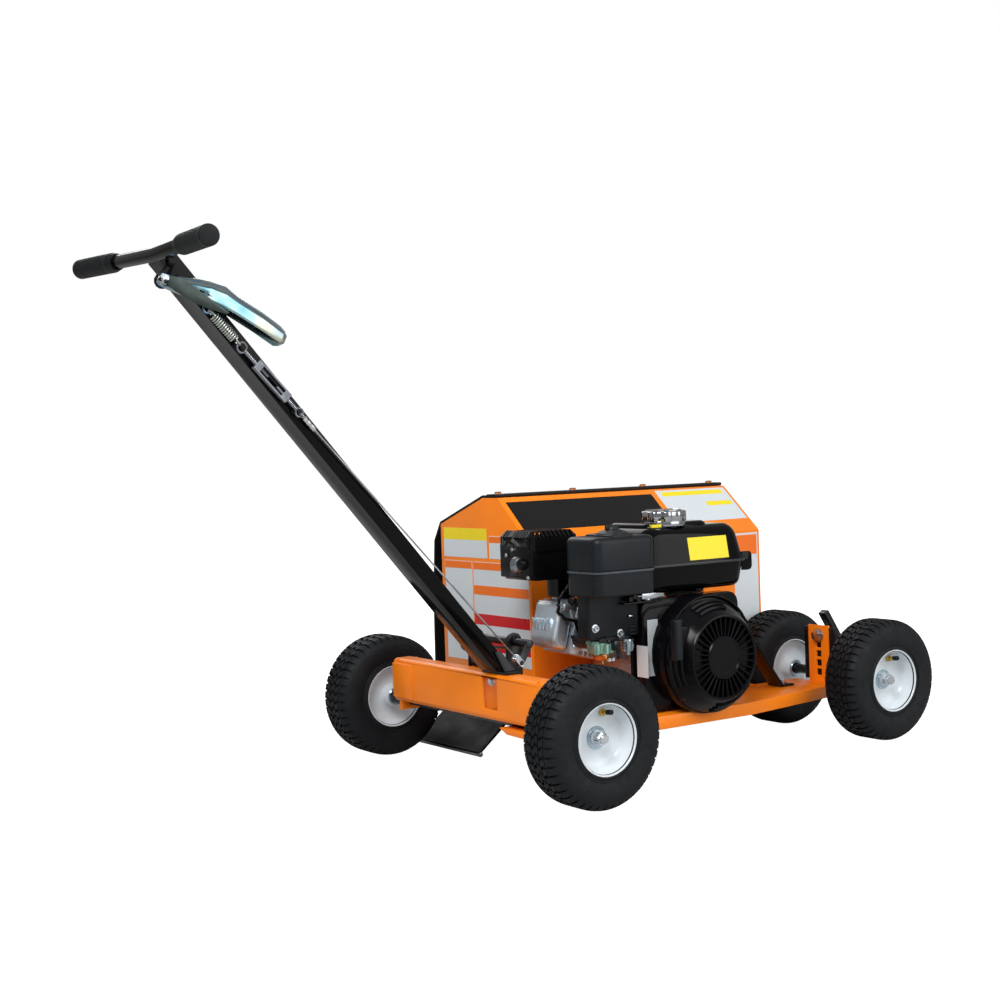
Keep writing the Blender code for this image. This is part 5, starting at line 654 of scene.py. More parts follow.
# Each row of tread blocks has its low and high edge, half its width, and its slant
TREAD_BLOCKS = [(-0.0078, -0.0004, 0.006, 0.004), (0.0004, 0.0078, 0.006, -0.004),
                (0.0094, 0.0212, 0.0058, 0.0036), (-0.0212, -0.0094, 0.0058, -0.0036)]
TREAD_ROOT = 0.006
VALVE_CIRCLE = 0.0405
VALVE_PLACES = {"rear_near": 0.0125, "rear_far": -0.02, "front_near": 0.0155, "front_far": 0.022}
RIM_LIP = [(0.0585, 0.0388), (0.0578, 0.0399), (0.0566, 0.0399), (0.0553, 0.0385), (0.0545, 0.035)]
RIM_OUTER = RIM_LIP + [(0.053, 0.024), (0.0508, 0.015), (0.047, 0.0104), (0.0405, 0.0084),
                       (0.03, 0.0074), (0.0232, 0.0078), (0.0204, 0.0088), (0.0186, HUB_OUTER),
                       (0.0126, HUB_OUTER), (0.0126, 0.019), (0.0108, 0.019)]
RIM_INNER = RIM_LIP + [(0.0528, 0.029), (0.05, 0.0244), (0.045, 0.0214), (0.0345, 0.0194),
                       (0.025, 0.0202), (0.0208, 0.0222), (0.0188, 0.0262), (0.0172, HUB_INNER),
                       (0.0108, HUB_INNER)]


def wheel_centre(name):
    """The middle of a wheel, at the height of the axles."""
    low, high = RIM_BOXES[name]
    return Vector(((low.x + high.x) / 2, (low.y + high.y) / 2, AXLE_Z))


def tread_block(centre, low, high, inner, outer, half_wide, slant):
    """One tapered tread block on top of the tyre, low to high across it."""
    piece = block("tread_block", centre + Vector((-half_wide, low, inner)),
                  centre + Vector((half_wide, high, outer)))
    bpy.ops.object.mode_set(mode="EDIT")
    choose(piece, "faces", lambda face: face.normal.z > 0.9)
    bpy.ops.transform.resize(value=(0.82, 0.88, 1))
    middle = (low + high) / 2 + centre.y
    choose(piece, "verts", lambda vertex: vertex.co.y > middle)
    bpy.ops.transform.translate(value=(slant, 0, 0))
    bpy.ops.object.mode_set(mode="OBJECT")
    return piece


class TRENCHER_OT_tyres(bpy.types.Operator):
    """Four turf tyres: a spun carcass with rows of tread blocks"""

    bl_idname = "trencher.tyres"
    bl_label = "Tyres"

    def execute(self, context):
        """Models one tyre and sets a copy on each wheel."""
        rows = sizes().tread_rows
        depth = sizes().tread_depth
        centre = wheel_centre("rear_near")
        top = AXLE_Z - 0.0002
        mirrored = [(radius, -station) for radius, station in reversed(TYRE_PROFILE[:-1])]
        profile = [(radius, station + centre.y) for radius, station in TYRE_PROFILE + mirrored]
        ribs = [(0.0665, 0.0399), (0.0905, 0.0417)]
        carcass = lathe("turf_tyre", profile, "Y", centre, 96)
        parts = [carcass]
        for side in (-1, 1):
            for radius, station in ribs:
                parts.append(lathe("sidewall_rib", [(radius - 0.0012, centre.y + side * station),
                                                    (radius, centre.y + side * (station + 0.001)),
                                                    (radius + 0.0012, centre.y + side * station)],
                                   "Y", centre, 96))
        root = top - depth - TREAD_ROOT
        blocks = [tread_block(centre, low, high, root, top - 0.0002, half, slant)
                  for low, high, half, slant in TREAD_BLOCKS]
        for side in (-1, 1):
            outline = [(0.0228, top - 0.0002), (0.0285, top - 0.0012), (0.033, top - 0.0036),
                       (0.0372, top - 0.0078), (0.0404, top - 0.0134), (0.0422, top - 0.0198),
                       (0.038, top - 0.019), (0.03, top - 0.0095), (0.0228, top - 0.0075)]
            lug = slab("shoulder_lug", [centre + Vector((-0.0057, side * across, height))
                                        for across, height in outline], (0.0114, 0, 0))
            blocks.append(lug)
        pattern = merged("tread_pattern", *blocks)
        ring_copies(pattern, rows, "Y", centre)
        tyre = merged("turf_tyre_rear_near", *parts, pattern)
        for name in ("rear_far", "front_near", "front_far"):
            twin = shifted_copy(tyre, f"turf_tyre_{name}", wheel_centre(name) - centre)
            replace_node(twin, f"tyre_{name}", "tyre_rubber")
        replace_node(tyre, "tyre_rear_near", "tyre_rubber")
        return {"FINISHED"}


class TRENCHER_OT_rims(bpy.types.Operator):
    """Four deep pressed white rims, their hubs set inwards, and tyre valves"""

    bl_idname = "trencher.rims"
    bl_label = "Rims and valves"

    def execute(self, context):
        """Spins a rim for each side, copies it, and sets a valve in each outer disc."""
        for side, names in ((-1, ("rear_near", "front_near")), (1, ("rear_far", "front_far"))):
            centre = wheel_centre(names[0])
            profile = [(radius, centre.y + side * station) for radius, station in RIM_OUTER]
            profile += [(radius, centre.y - side * station)
                        for radius, station in reversed(RIM_INNER)]
            rim = lathe(f"pressed_rim_{names[0]}", profile, "Y", centre, 72)
            twin = shifted_copy(rim, f"pressed_rim_{names[1]}", wheel_centre(names[1]) - centre)
            for name, piece in zip(names, (rim, twin)):
                replace_node(piece, f"rim_{name}", "rim_enamel")
                along = VALVE_PLACES[name]
                up = math.sqrt(VALVE_CIRCLE ** 2 - along ** 2)
                root = wheel_centre(name) + Vector((along, side * 0.0088, up))
                lean = Vector((0.004, side * 0.03, 0.003)).normalized()
                stem, base, cap = (
                    tube(f"valve_{part}_{name}", [root + lean * reach for reach in reaches],
                         radius, sides=4)
                    for part, reaches, radius in (("stem", (-0.002, 0.006, 0.014), 0.003),
                                                  ("base", (-0.001, 0.006), 0.0056),
                                                  ("cap", (0.0125, 0.0235), 0.0042)))
                round_edges(cap, 0.0006)
                complete(merged(f"valve_stem_{name}", stem, base), "brass", f"wheel_{name}")
                complete(cap, "lead_rubber", f"wheel_{name}")
        return {"FINISHED"}


def trimmed_axle(node, near, far):
    """A node's copy with its two axle ends cut off inside the wheel nuts."""
    piece = node_copy(node, f"{node}_finished")
    for centre, side in ((near, -1), (far, 1)):
        places = sorted(centre.y + side * reach for reach in AXLE_CUT)
        carve(piece, block("end_cut", (centre.x - 0.03, places[0], centre.z - 0.03),
                           (centre.x + 0.03, places[1], centre.z + 0.03)))
    return piece


class TRENCHER_OT_wheel_hardware(bpy.types.Operator):
    """Axle nuts with washers, the bearing faces and the axle"""

    bl_idname = "trencher.wheel_hardware"
    bl_label = "Axles and wheel nuts"

    def execute(self, context):
        """Spins the nuts and the hub washers, and trims and rounds the rear axle."""
        for name in RIM_BOXES:
            centre = wheel_centre(name)
            side = -1 if name.endswith("near") else 1
            for place, turn in (("outer", side * HUB_OUTER), ("inner", -side * HUB_INNER)):
                face = centre.y + turn
                out = math.copysign(1, turn)
                wide = 0.0182 if place == "outer" else 0.0166
                spun(f"hub_washer_{place}_{name}",
                     [(0.012, face + out * 0.0001), (wide, face + out * 0.0001),
                      (wide, face + out * 0.0022), (wide - 0.0006, face + out * 0.0028),
                      (0.0145, face + out * 0.0028), (0.014, face + out * 0.0034),
                      (0.012, face + out * 0.0034)], "Y", centre, 40, "hub_zinc",
                     f"wheel_{name}")
            node = f"wheel_nut_{name}"
            start, end = centre.y + side * NUT_LOW, centre.y + side * NUT_HIGH
            nut = bolt_head(f"{node}_finished", "Y", centre, start, end, 0.0108, 0.0128)
            tip = lathe("axle_tip", [(0, start), (0.0076, start), (0.0076, end + side * 0.004),
                                     (0.0066, end + side * 0.005), (0, end + side * 0.005)], "Y",
                        centre, 24)
            replace_node(merged(f"{node}_finished", nut, tip), node, "bright_zinc")
        axle = trimmed_axle("rear_axle", wheel_centre("rear_near"), wheel_centre("rear_far"))
        replace_node(round_edges(axle, 0.0005), "rear_axle", "dark_steel")
        return {"FINISHED"}


# ---------------------------------------------------------------------- frame

# The deck's faces that lie behind this place, seen through the beam's window, are painted a dark
# orange as shade
DECK_REAR_FLANGE = -0.15


class TRENCHER_OT_chassis(bpy.types.Operator):
    """Rear beam, deck, front upright, wheel carrier and bracket in orange and black sheet"""

    bl_idname = "trencher.chassis"
    bl_label = "Chassis"

    def execute(self, context):
        """Softens the sheet pieces and adds the bolts and the axle saddle that show."""
        edge = sizes().sheet_edge
        soften("rear_beam", "orange_coat", edge)
        deck = soften("deck_plate", "orange_coat", edge)
        # Painted shade: the faces behind the beam's window get a dark orange
        second_finish(deck, "shaded_orange", lambda face: face.normal.x < -0.9
                      and face.center.x < DATUM.x + DECK_REAR_FLANGE)
        soften("clutch_bracket", "satin_black", edge)
        soften("front_upright", "orange_coat", edge * 0.6)
        carrier = trimmed_axle("front_axle_carrier", wheel_centre("front_near"),
                               wheel_centre("front_far"))
        replace_node(round_edges(carrier, edge, clamp=False), "front_axle_carrier", "satin_black")
        soften("depth_bolt", "bright_zinc", 0.0005)
        soften("engine_brace", "satin_black", edge)
        rear = node_box("rear_beam")[0].x
        bolt("beam_window_bolt", "X", (rear, -0.1148, 0.1805), rear + 0.0075, rear + 0.0035,
             0.0058, 0.0078)
        saddle = slab("axle_saddle", [(-0.164, -0.225, 0.106), (-0.164, -0.142, 0.106),
                                      (-0.164, -0.164, 0.0965), (-0.164, -0.22, 0.095)],
                      (0.032, 0, 0))
        complete(round_edges(saddle, edge), "orange_coat")
        foot_low, foot_high = node_box("engine_brace")
        bolt("brace_foot_bolt", "Z", (foot_high.x - 0.015, (foot_low.y + foot_high.y) / 2, 0),
             foot_low.z + 0.006, foot_low.z + 0.0122, 0.0082, 0.0112)
        return {"FINISHED"}


GRIP_RADIUS = 0.0156
GRIP_GROOVES, GRIP_PITCH, GRIP_DEPTH = 26, 0.0036, 0.00035


class TRENCHER_OT_handle(bpy.types.Operator):
    """Handle tube with its foot, cross bar and two rubber grips"""

    bl_idname = "trencher.handle"
    bl_label = "Handle"

    def execute(self, context):
        """Softens the tube and the slightly tilted bar, and spins the grips."""
        soften("handle_tube", "gloss_black", 0.0006)
        soften("handle_foot", "satin_black", 0.0008)
        settle = (Matrix.Translation(BAR_CENTRE + Vector((0, 0, -BAR_DROP)))
                  @ Matrix.Rotation(BAR_ROLL, 4, "X") @ Matrix.Translation(-BAR_CENTRE))
        bar = node_copy("t_bar", "t_bar_finished")
        round_edges(bar, 0.0006)
        bar.matrix_world = settle
        replace_node(bar, "t_bar", "gloss_black")
        for name, side in (("near", -1), ("far", 1)):
            outer, inner = BAR_CENTRE.y + side * 0.249, BAR_CENTRE.y + side * 0.1217
            way = -side
            radius = GRIP_RADIUS
            profile = [(0, outer), (0.01, outer), (0.014, outer + way * 0.0009),
                       (radius, outer + way * 0.0032), (radius, outer + way * 0.01)]
            for k in range(GRIP_GROOVES):
                station = outer + way * (0.012 + k * GRIP_PITCH)
                profile += [(radius, station), (radius - GRIP_DEPTH, station + way * 0.0006),
                            (radius - GRIP_DEPTH, station + way * 0.0012),
                            (radius, station + way * 0.0018)]
            profile += [(radius, inner - way * 0.013), (0.014, inner - way * 0.0085),
                        (0.0135, inner - way * 0.0012), (0.0128, inner), (0.0112, inner),
                        (0.0112, outer + way * 0.003), (0, outer + way * 0.003)]
            grip = lathe(f"ribbed_grip_{name}", profile, "Y", BAR_CENTRE, 40)
            turn = Matrix.Rotation(side * BAR_SWEEP, 4, "Z")
            grip.matrix_world = (settle @ Matrix.Translation(BAR_CENTRE) @ turn
                                 @ Matrix.Translation(-BAR_CENTRE))
            replace_node(grip, f"grip_{name}", "grip_rubber")
        return {"FINISHED"}


# -------------------------------------------------------------- clutch control

SPRING_TURNS = 12
SPRING_RADIUS = 0.0062
SPRING_WIRE = 0.0013
THREAD_PITCH = 0.002


def on_line(station, side=0.0, out=0.0):
    """A place on the clutch line, measured from the lever's tab."""
    return LINE_TOP + LINE * station + LINE_SIDE * side + LINE_OUT * out


def helix(start, end, turns, per_turn, radius, phase=0.0):
    """Places wound round the clutch line, from one station on it to another."""
    count = turns * per_turn
    angles = [phase + FULL_TURN * k / per_turn for k in range(count + 1)]
    return [on_line(start + (end - start) * k / count, radius * math.cos(angle),
                    radius * math.sin(angle)) for k, angle in enumerate(angles)]


class TRENCHER_OT_clutch_lever(bpy.types.Operator):
    """The folded zinc clutch lever and its pivot bolt"""

    bl_idname = "trencher.clutch_lever"
    bl_label = "Clutch lever"

    def execute(self, context):
        """Cuts the two slots in the lever's near side and softens its sheet and its bolt."""
        lever = rounded_copy("clutch_lever", 0.0005)
        slots = []
        for x, z in ((-0.678, 0.8225), (-0.6668, 0.8165)):
            slot = block("slot", (-0.0036, -0.18, -0.0011), (0.0036, -0.145, 0.0011))
            slot.matrix_world = (Matrix.Translation((x, 0, z))
                                 @ Matrix.Rotation(math.radians(30), 4, "Y"))
            slots.append(slot)
        carve(lever, merged("slots", *slots))
        carve(lever, slab("opening", [(-0.723, -0.172, 0.847), (-0.7067, -0.172, 0.852),
                                      (-0.6905, -0.172, 0.838), (-0.6911, -0.172, 0.8282),
                                      (-0.711, -0.172, 0.8415)], (0, 0.0128, 0)))
        replace_node(lever, "clutch_lever", "blue_zinc")
        # A dark sheet laid on the lever's near side, below its opening: painted shade
        side = slab("lever_side", [(x, -0.1616, z) for x, z in
                                   ((-0.73, 0.844), (-0.711, 0.8413), (-0.6911, 0.8278),
                                    (-0.664, 0.8099), (-0.6369, 0.7919), (-0.6428, 0.7891),
                                    (-0.671, 0.7971), (-0.6963, 0.8065), (-0.7206, 0.8202),
                                    (-0.733, 0.829))], (0, -0.0012, 0))
        complete(round_edges(side, 0.0004), "lever_steel", "clutch_lever")
        soften("lever_pivot_bolt", "bright_zinc", 0.0005)
        return {"FINISHED"}


class TRENCHER_OT_clutch_line(bpy.types.Operator):
    """The tension spring, turnbuckle and cable between the lever and the cross shaft"""

    bl_idname = "trencher.clutch_line"
    bl_label = "Clutch line"

    def execute(self, context):
        """Winds the spring, threads the turnbuckle and lays the cable."""
        hook = [(0.0115, 0, 0.0045), (0.0066, 0, 0.0043), (0.004, 0, 0.003), (0.0031, 0, 0),
                (0.004, 0, -0.003), (0.0066, 0, -0.0043), (0.0115, 0, -0.0045)]
        places = [on_line(*place) for place in hook]
        places += helix(0.014, 0.062, SPRING_TURNS, 20, SPRING_RADIUS, -math.pi / 2)
        places += [on_line(*place) for place in
                   [(0.0655, 0, -0.0045), (0.0708, 0, -0.0043), (0.0733, 0, -0.003),
                    (0.074, 0, 0), (0.0733, 0, 0.003), (0.0708, 0, 0.0043),
                    (0.0672, 0, 0.0045)]]
        spring = tube("wound_spring", places, SPRING_WIRE)
        replace_node(spring, "clutch_spring", "spring_steel", smooth=ROUND_ANGLE)

        soften("turnbuckle", "link_zinc", 0.0007)
        for k, (start, end) in enumerate(((0.088, 0.112), (0.187, 0.208))):
            thread = helix(start, end, int((end - start) / THREAD_PITCH), 10, 0.0027)
            wire(f"turnbuckle_thread_{k}", thread, 0.0004, "bright_zinc", "clutch_line", 1)

        length = (LINE_BOTTOM - LINE_TOP).length
        loop = [(0.231, 0, -0.0018), (0.2225, 0, -0.0046), (0.2192, 0, -0.0034), (0.2186, 0, 0),
                (0.2192, 0, 0.0034), (0.2225, 0, 0.0046), (0.231, 0, 0.0018)]
        strand = tube("cable_loop", [on_line(*place) for place in loop], 0.0014)
        run = tube("cable_run", [on_line(0.252 + (length - 0.264) * k / 24) for k in range(25)],
                   0.00145)
        cable = merged("clutch_wire", run, strand)
        replace_node(cable, "clutch_cable", "strand", smooth=ROUND_ANGLE)
        crimp = lathe("cable_ferrule", [(0, 0.2275), (0.003, 0.2275), (0.0039, 0.2285),
                                        (0.0039, 0.2335), (0.0033, 0.235), (0.0039, 0.2365),
                                        (0.0039, 0.2415), (0.0033, 0.243), (0.0039, 0.2445),
                                        (0.0039, 0.253), (0.003, 0.2545), (0, 0.2545)], "Z",
                      (0, 0, 0), 20)
        turn = Matrix((LINE_SIDE, LINE_OUT, LINE)).transposed().to_4x4()
        crimp.matrix_world = Matrix.Translation(LINE_TOP) @ turn
        complete(crimp, "spring_steel", "clutch_line")
        soften("cable_clevis", "bright_zinc", 0.0004)
        return {"FINISHED"}


class TRENCHER_OT_linkage(bpy.types.Operator):
    """Cross shaft, link, idler, belt, pulleys and crankshaft"""

    bl_idname = "trencher.linkage"
    bl_label = "Belt drive"

    def execute(self, context):
        """Softens the linkage and drive pieces."""
        for node, coat, edge in (
                ("clutch_cross_shaft", "dark_steel", 0.0005), ("clutch_link", "dark_zinc", 0.0004),
                ("idler_arm", "satin_black", 0.0006), ("idler_pulley", "ground_steel", 0.0005),
                ("crankshaft", "ground_steel", 0.0006), ("rotor_shaft", "ground_steel", 0.0006),
                ("belt_partition", "orange_coat", 0.0008), ("drive_belt", "belt_rubber", 0.0008)):
            soften(node, coat, edge)
        return {"FINISHED"}


# ---------------------------------------------------------------- rotor guard

BAND_LIFT = 0.0004
DEFLECTOR_EDGE = 0.006
FLAP_TOP = 0.486
# The guard's slope: its lower and upper edges, and the direction out of it
SHOULDER = Vector((0, 0.0516, 0.391))
ROOF_EDGE = Vector((0, 0.1536, 0.481))
SLOPE_OUT = Vector((0, -0.6616, 0.7498))


def slope_panel(name, x_low, x_high, low, high, coat, lift=0.0):
    """A thin panel on the guard's sloping side, low and high as shares of the slope."""
    base = SHOULDER - SLOPE_OUT * 0.0003 + SLOPE_OUT * lift
    run = ROOF_EDGE - SHOULDER
    corners = [base + run * share + Vector((x, 0, 0))
               for x, share in ((x_low, low), (x_high, low), (x_high, high), (x_low, high))]
    panel = slab(name, corners, SLOPE_OUT * 0.0008)
    return complete(panel, coat)


def flat_panel(name, low, high, coat):
    """A thin panel on an upright wall, from corner to corner."""
    return plate(name, low, high, 0.00025, coat, 1)


def rear_panel(name, near, far, low, high, coat, lift=0.0):
    """A thin panel on the guard's rear wall."""
    wall = node_box("rotor_guard")[0].x
    return flat_panel(name, (wall - 0.0006 - lift, near, low), (wall + 0.0002, far, high), coat)


class TRENCHER_OT_guard(bpy.types.Operator):
    """Orange rotor guard with its rubber flap, trailing deflector and cutter rotor"""

    bl_idname = "trencher.guard"
    bl_label = "Rotor guard"

    def execute(self, context):
        """Softens the guard, adds the strip and bolts that hold the flap."""
        soften("rotor_guard", "orange_coat", 0.001, limit=20)
        soften("discharge_flap", "flap_rubber", 0.0012)
        deflector = soften("trailing_deflector", "deflector_black", 0.0009)
        edge = min(vertex.co.z for vertex in deflector.data.vertices) + DEFLECTOR_EDGE
        second_finish(deflector, "dark_zinc", lambda face: face.center.z < edge)
        soften("cutter_rotor", "cutter_steel", 0.001)
        low, high = node_box("discharge_flap")
        top = FLAP_TOP
        plate("flap_strip", (low.x, low.y + 0.001, top + 0.0002),
              (high.x, low.y + 0.031, top + 0.0022), 0.0007, "satin_black")
        bead = tube("flap_edge_bead", [(low.x + 0.001, low.y + 0.0012, top - 0.0012),
                                       (high.x - 0.001, low.y + 0.0012, top - 0.0012)], 0.0024)
        complete(bead, "flap_rubber")
        for k, x in enumerate((0.0702, 0.2495, 0.4289, 0.6082)):
            bolt(f"flap_bolt_{k}", "Z", (x, 0.1801, 0), top + 0.0024, top + 0.0062, 0.0066, 0.009,
                 "dark_zinc")
        return {"FINISHED"}


# Plain panels of the rear wall: name, near, far, low, high, finish and lift
REAR_PANELS = [
    ("panel_yellow", 0.196, 0.349, 0.3985, 0.4215, "panel_yellow", 0),
    ("panel_upper", 0.196, 0.349, 0.364, 0.3985, "panel_pale", 0),
    ("panel_corner", 0.06, 0.188, 0.364, 0.408, "panel_pale", 0),
    ("band_corner", 0.061, 0.187, 0.395, 0.407, "panel_orange", BAND_LIFT),
    ("panel_far", 0.25, 0.347, 0.162, 0.357, "panel_pale", 0),
    ("band_far", 0.251, 0.346, 0.342, 0.356, "panel_orange", BAND_LIFT),
    ("panel_near", 0.06, 0.246, 0.162, 0.357, "panel_pale", 0),
    ("band_near_top", 0.061, 0.245, 0.342, 0.356, "panel_orange", BAND_LIFT),
    ("band_near_middle", 0.061, 0.245, 0.293, 0.311, "panel_orange", BAND_LIFT),
    ("band_red_0", 0.0605, 0.2455, 0.235, 0.256, "panel_red", BAND_LIFT),
    ("band_red_1", 0.0605, 0.2455, 0.185, 0.205, "panel_red", BAND_LIFT),
]


class TRENCHER_OT_panels(bpy.types.Operator):
    """Plain colour panels on the guard, without any wording"""

    bl_idname = "trencher.panels"
    bl_label = "Plain panels"

    def execute(self, context):
        """Lays the thin panels on their walls."""
        slope_panel("slope_panel_black", 0.062, 0.42, 0.31, 0.9, "panel_black")
        slope_panel("slope_panel_pale", 0.434, 0.62, 0.26, 0.96, "panel_pale")
        slope_panel("slope_band_upper", 0.446, 0.608, 0.83, 0.92, "panel_yellow", 0.0002)
        slope_panel("slope_band_lower", 0.544, 0.612, 0.58, 0.67, "panel_yellow", 0.0002)
        wall = node_box("rotor_guard")[0].y
        flat_panel("wall_panel_pale", (0.556, wall - 0.0006, 0.208),
                   (0.6215, wall + 0.0002, 0.386), "panel_pale")
        flat_panel("wall_band_orange", (0.559, wall - 0.001, 0.342),
                   (0.6185, wall - 0.0004, 0.382), "panel_orange")
        for name, *place, coat, lift in REAR_PANELS:
            rear_panel(f"rear_{name}", *place, coat, lift)
        return {"FINISHED"}


# --------------------------------------------------------------------- engine

def bevel_where(piece, wanted, offset, segments):
    """Bevels the edges that a test picks by their end places."""
    pick(piece)
    bpy.ops.object.mode_set(mode="EDIT")
    bpy.ops.mesh.select_all(action="DESELECT")
    bpy.ops.mesh.select_mode(type="EDGE")
    choose(piece, "edges", lambda edge: wanted(edge.verts[0].co, edge.verts[1].co))
    bpy.ops.mesh.bevel(offset=offset, segments=segments, affect="EDGES", clamp_overlap=True)
    bpy.ops.mesh.select_mode(type="VERT")
    bpy.ops.object.mode_set(mode="OBJECT")
    return piece


def upright_edge(one, two):
    """True for an edge that stands straight up."""
    return abs(one.x - two.x) < 1e-5 and abs(one.y - two.y) < 1e-5


def at_height(height):
    """A test for edges that lie at a height."""
    return lambda one, two: abs(one.z - height) < 1e-5 and abs(two.z - height) < 1e-5


def case_block(name, low, high, corner, top, bottom, steps=5):
    """A moulded or pressed case: a cube with round upright corners and rounded rims."""
    piece = block(name, low, high)
    bevel_where(piece, upright_edge, corner, steps)
    if top:
        bevel_where(piece, at_height(high[2]), top, steps)
    if bottom:
        bevel_where(piece, at_height(low[2]), bottom, steps)
    return piece


def taper(piece, base, end, along, across):
    """Draws a case's walls inwards from its base height to its end height."""
    low = Vector([min(vertex.co[k] for vertex in piece.data.vertices) for k in range(3)])
    high = Vector([max(vertex.co[k] for vertex in piece.data.vertices) for k in range(3)])
    middle = (low + high) / 2
    for vertex in piece.data.vertices:
        share = max(0.0, (vertex.co.z - base) / (end - base))
        vertex.co.x -= share * along * (vertex.co.x - middle.x) / (high.x - low.x)
        vertex.co.y -= share * across * 2 * (vertex.co.y - middle.y) / (high.y - low.y)
    return piece


class TRENCHER_OT_engine_block(bpy.types.Operator):
    """Crankcase, finned cylinder, head cover, spark plug and its lead"""

    bl_idname = "trencher.engine_block"
    bl_label = "Engine block"

    def execute(self, context):
        """Softens the castings and builds the cover, plug and lead."""
        edge = sizes().cast_edge
        soften("crankcase", "cast_alloy", edge)
        soften("cylinder", "cast_alloy", 0.0006)
        cover = node_copy("head_cover", "head_cover_finished")
        round_edges(cover, 0.0095, 6)
        low, high = node_box("head_cover")
        cover.matrix_world = Matrix.Translation((-0.004, 0, 0))
        parts = [cover]
        for k in range(5):
            y = low.y + 0.016 + k * 0.0108
            rib = slab("cover_rib", [(-0.001, y - 0.002, 0.248), (-0.001, y + 0.002, 0.248),
                                     (-0.003, y + 0.0052, 0.27), (-0.003, y + 0.0012, 0.27)],
                       (0.012, 0, 0))
            parts.append(round_edges(rib, 0.0012, 3))
        flange = slab("cover_flange", [(0.053, low.y - 0.003, 0.2105),
                                       (0.061, low.y - 0.003, 0.216),
                                       (0.039, low.y - 0.003, 0.301),
                                       (0.03, low.y - 0.003, 0.298)],
                      (0, high.y - low.y + 0.006, 0))
        parts.append(round_edges(flange, 0.0025, 3))
        replace_node(merged("head_cover_finished", *parts), "head_cover", "cast_alloy")
        for k, (x, z) in enumerate(((0.042, 0.2175), (0.0245, 0.2905))):
            for m, y in enumerate((low.y + 0.003, high.y - 0.005)):
                spun(f"cover_boss_{k}{m}", [(0, x + 0.014), (0.0082, x + 0.014),
                                            (0.0082, x - 0.0035), (0.0072, x - 0.0045),
                                            (0, x - 0.0045)], "X", (x, y, z), 24, "cast_alloy")
                bolt(f"cover_bolt_{k}{m}", "X", (x, y, z), x - 0.004, x - 0.0088, 0.0052)

        boot = tube("spark_plug_cap", [(0.07, -0.056, 0.295), (0.052, -0.082, 0.2975),
                                       (0.033, -0.092, 0.301)], 0.0068, sides=5)
        complete(round_edges(boot, 0.0014), "lead_rubber")
        wire("spark_plug_lead", [(0.03, -0.092, 0.33), (0.018, -0.094, 0.319),
                                 (0.008, -0.093, 0.308), (0.005, -0.09, 0.296),
                                 (0.008, -0.089, 0.28), (0.022, -0.091, 0.269),
                                 (0.043, -0.092, 0.264), (0.07, -0.088, 0.262)], 0.003,
             "lead_rubber", sides=4, smooth=True)
        return {"FINISHED"}


SHIELD_LOW, SHIELD_HIGH = (-0.046, -0.086), (0.059, 0.014)
SHIELD_TOP = 0.427
SHIELD_CHAMFER = 0.0175
SLOT_PITCH = 0.0085
SLOT_MARGIN = 0.015


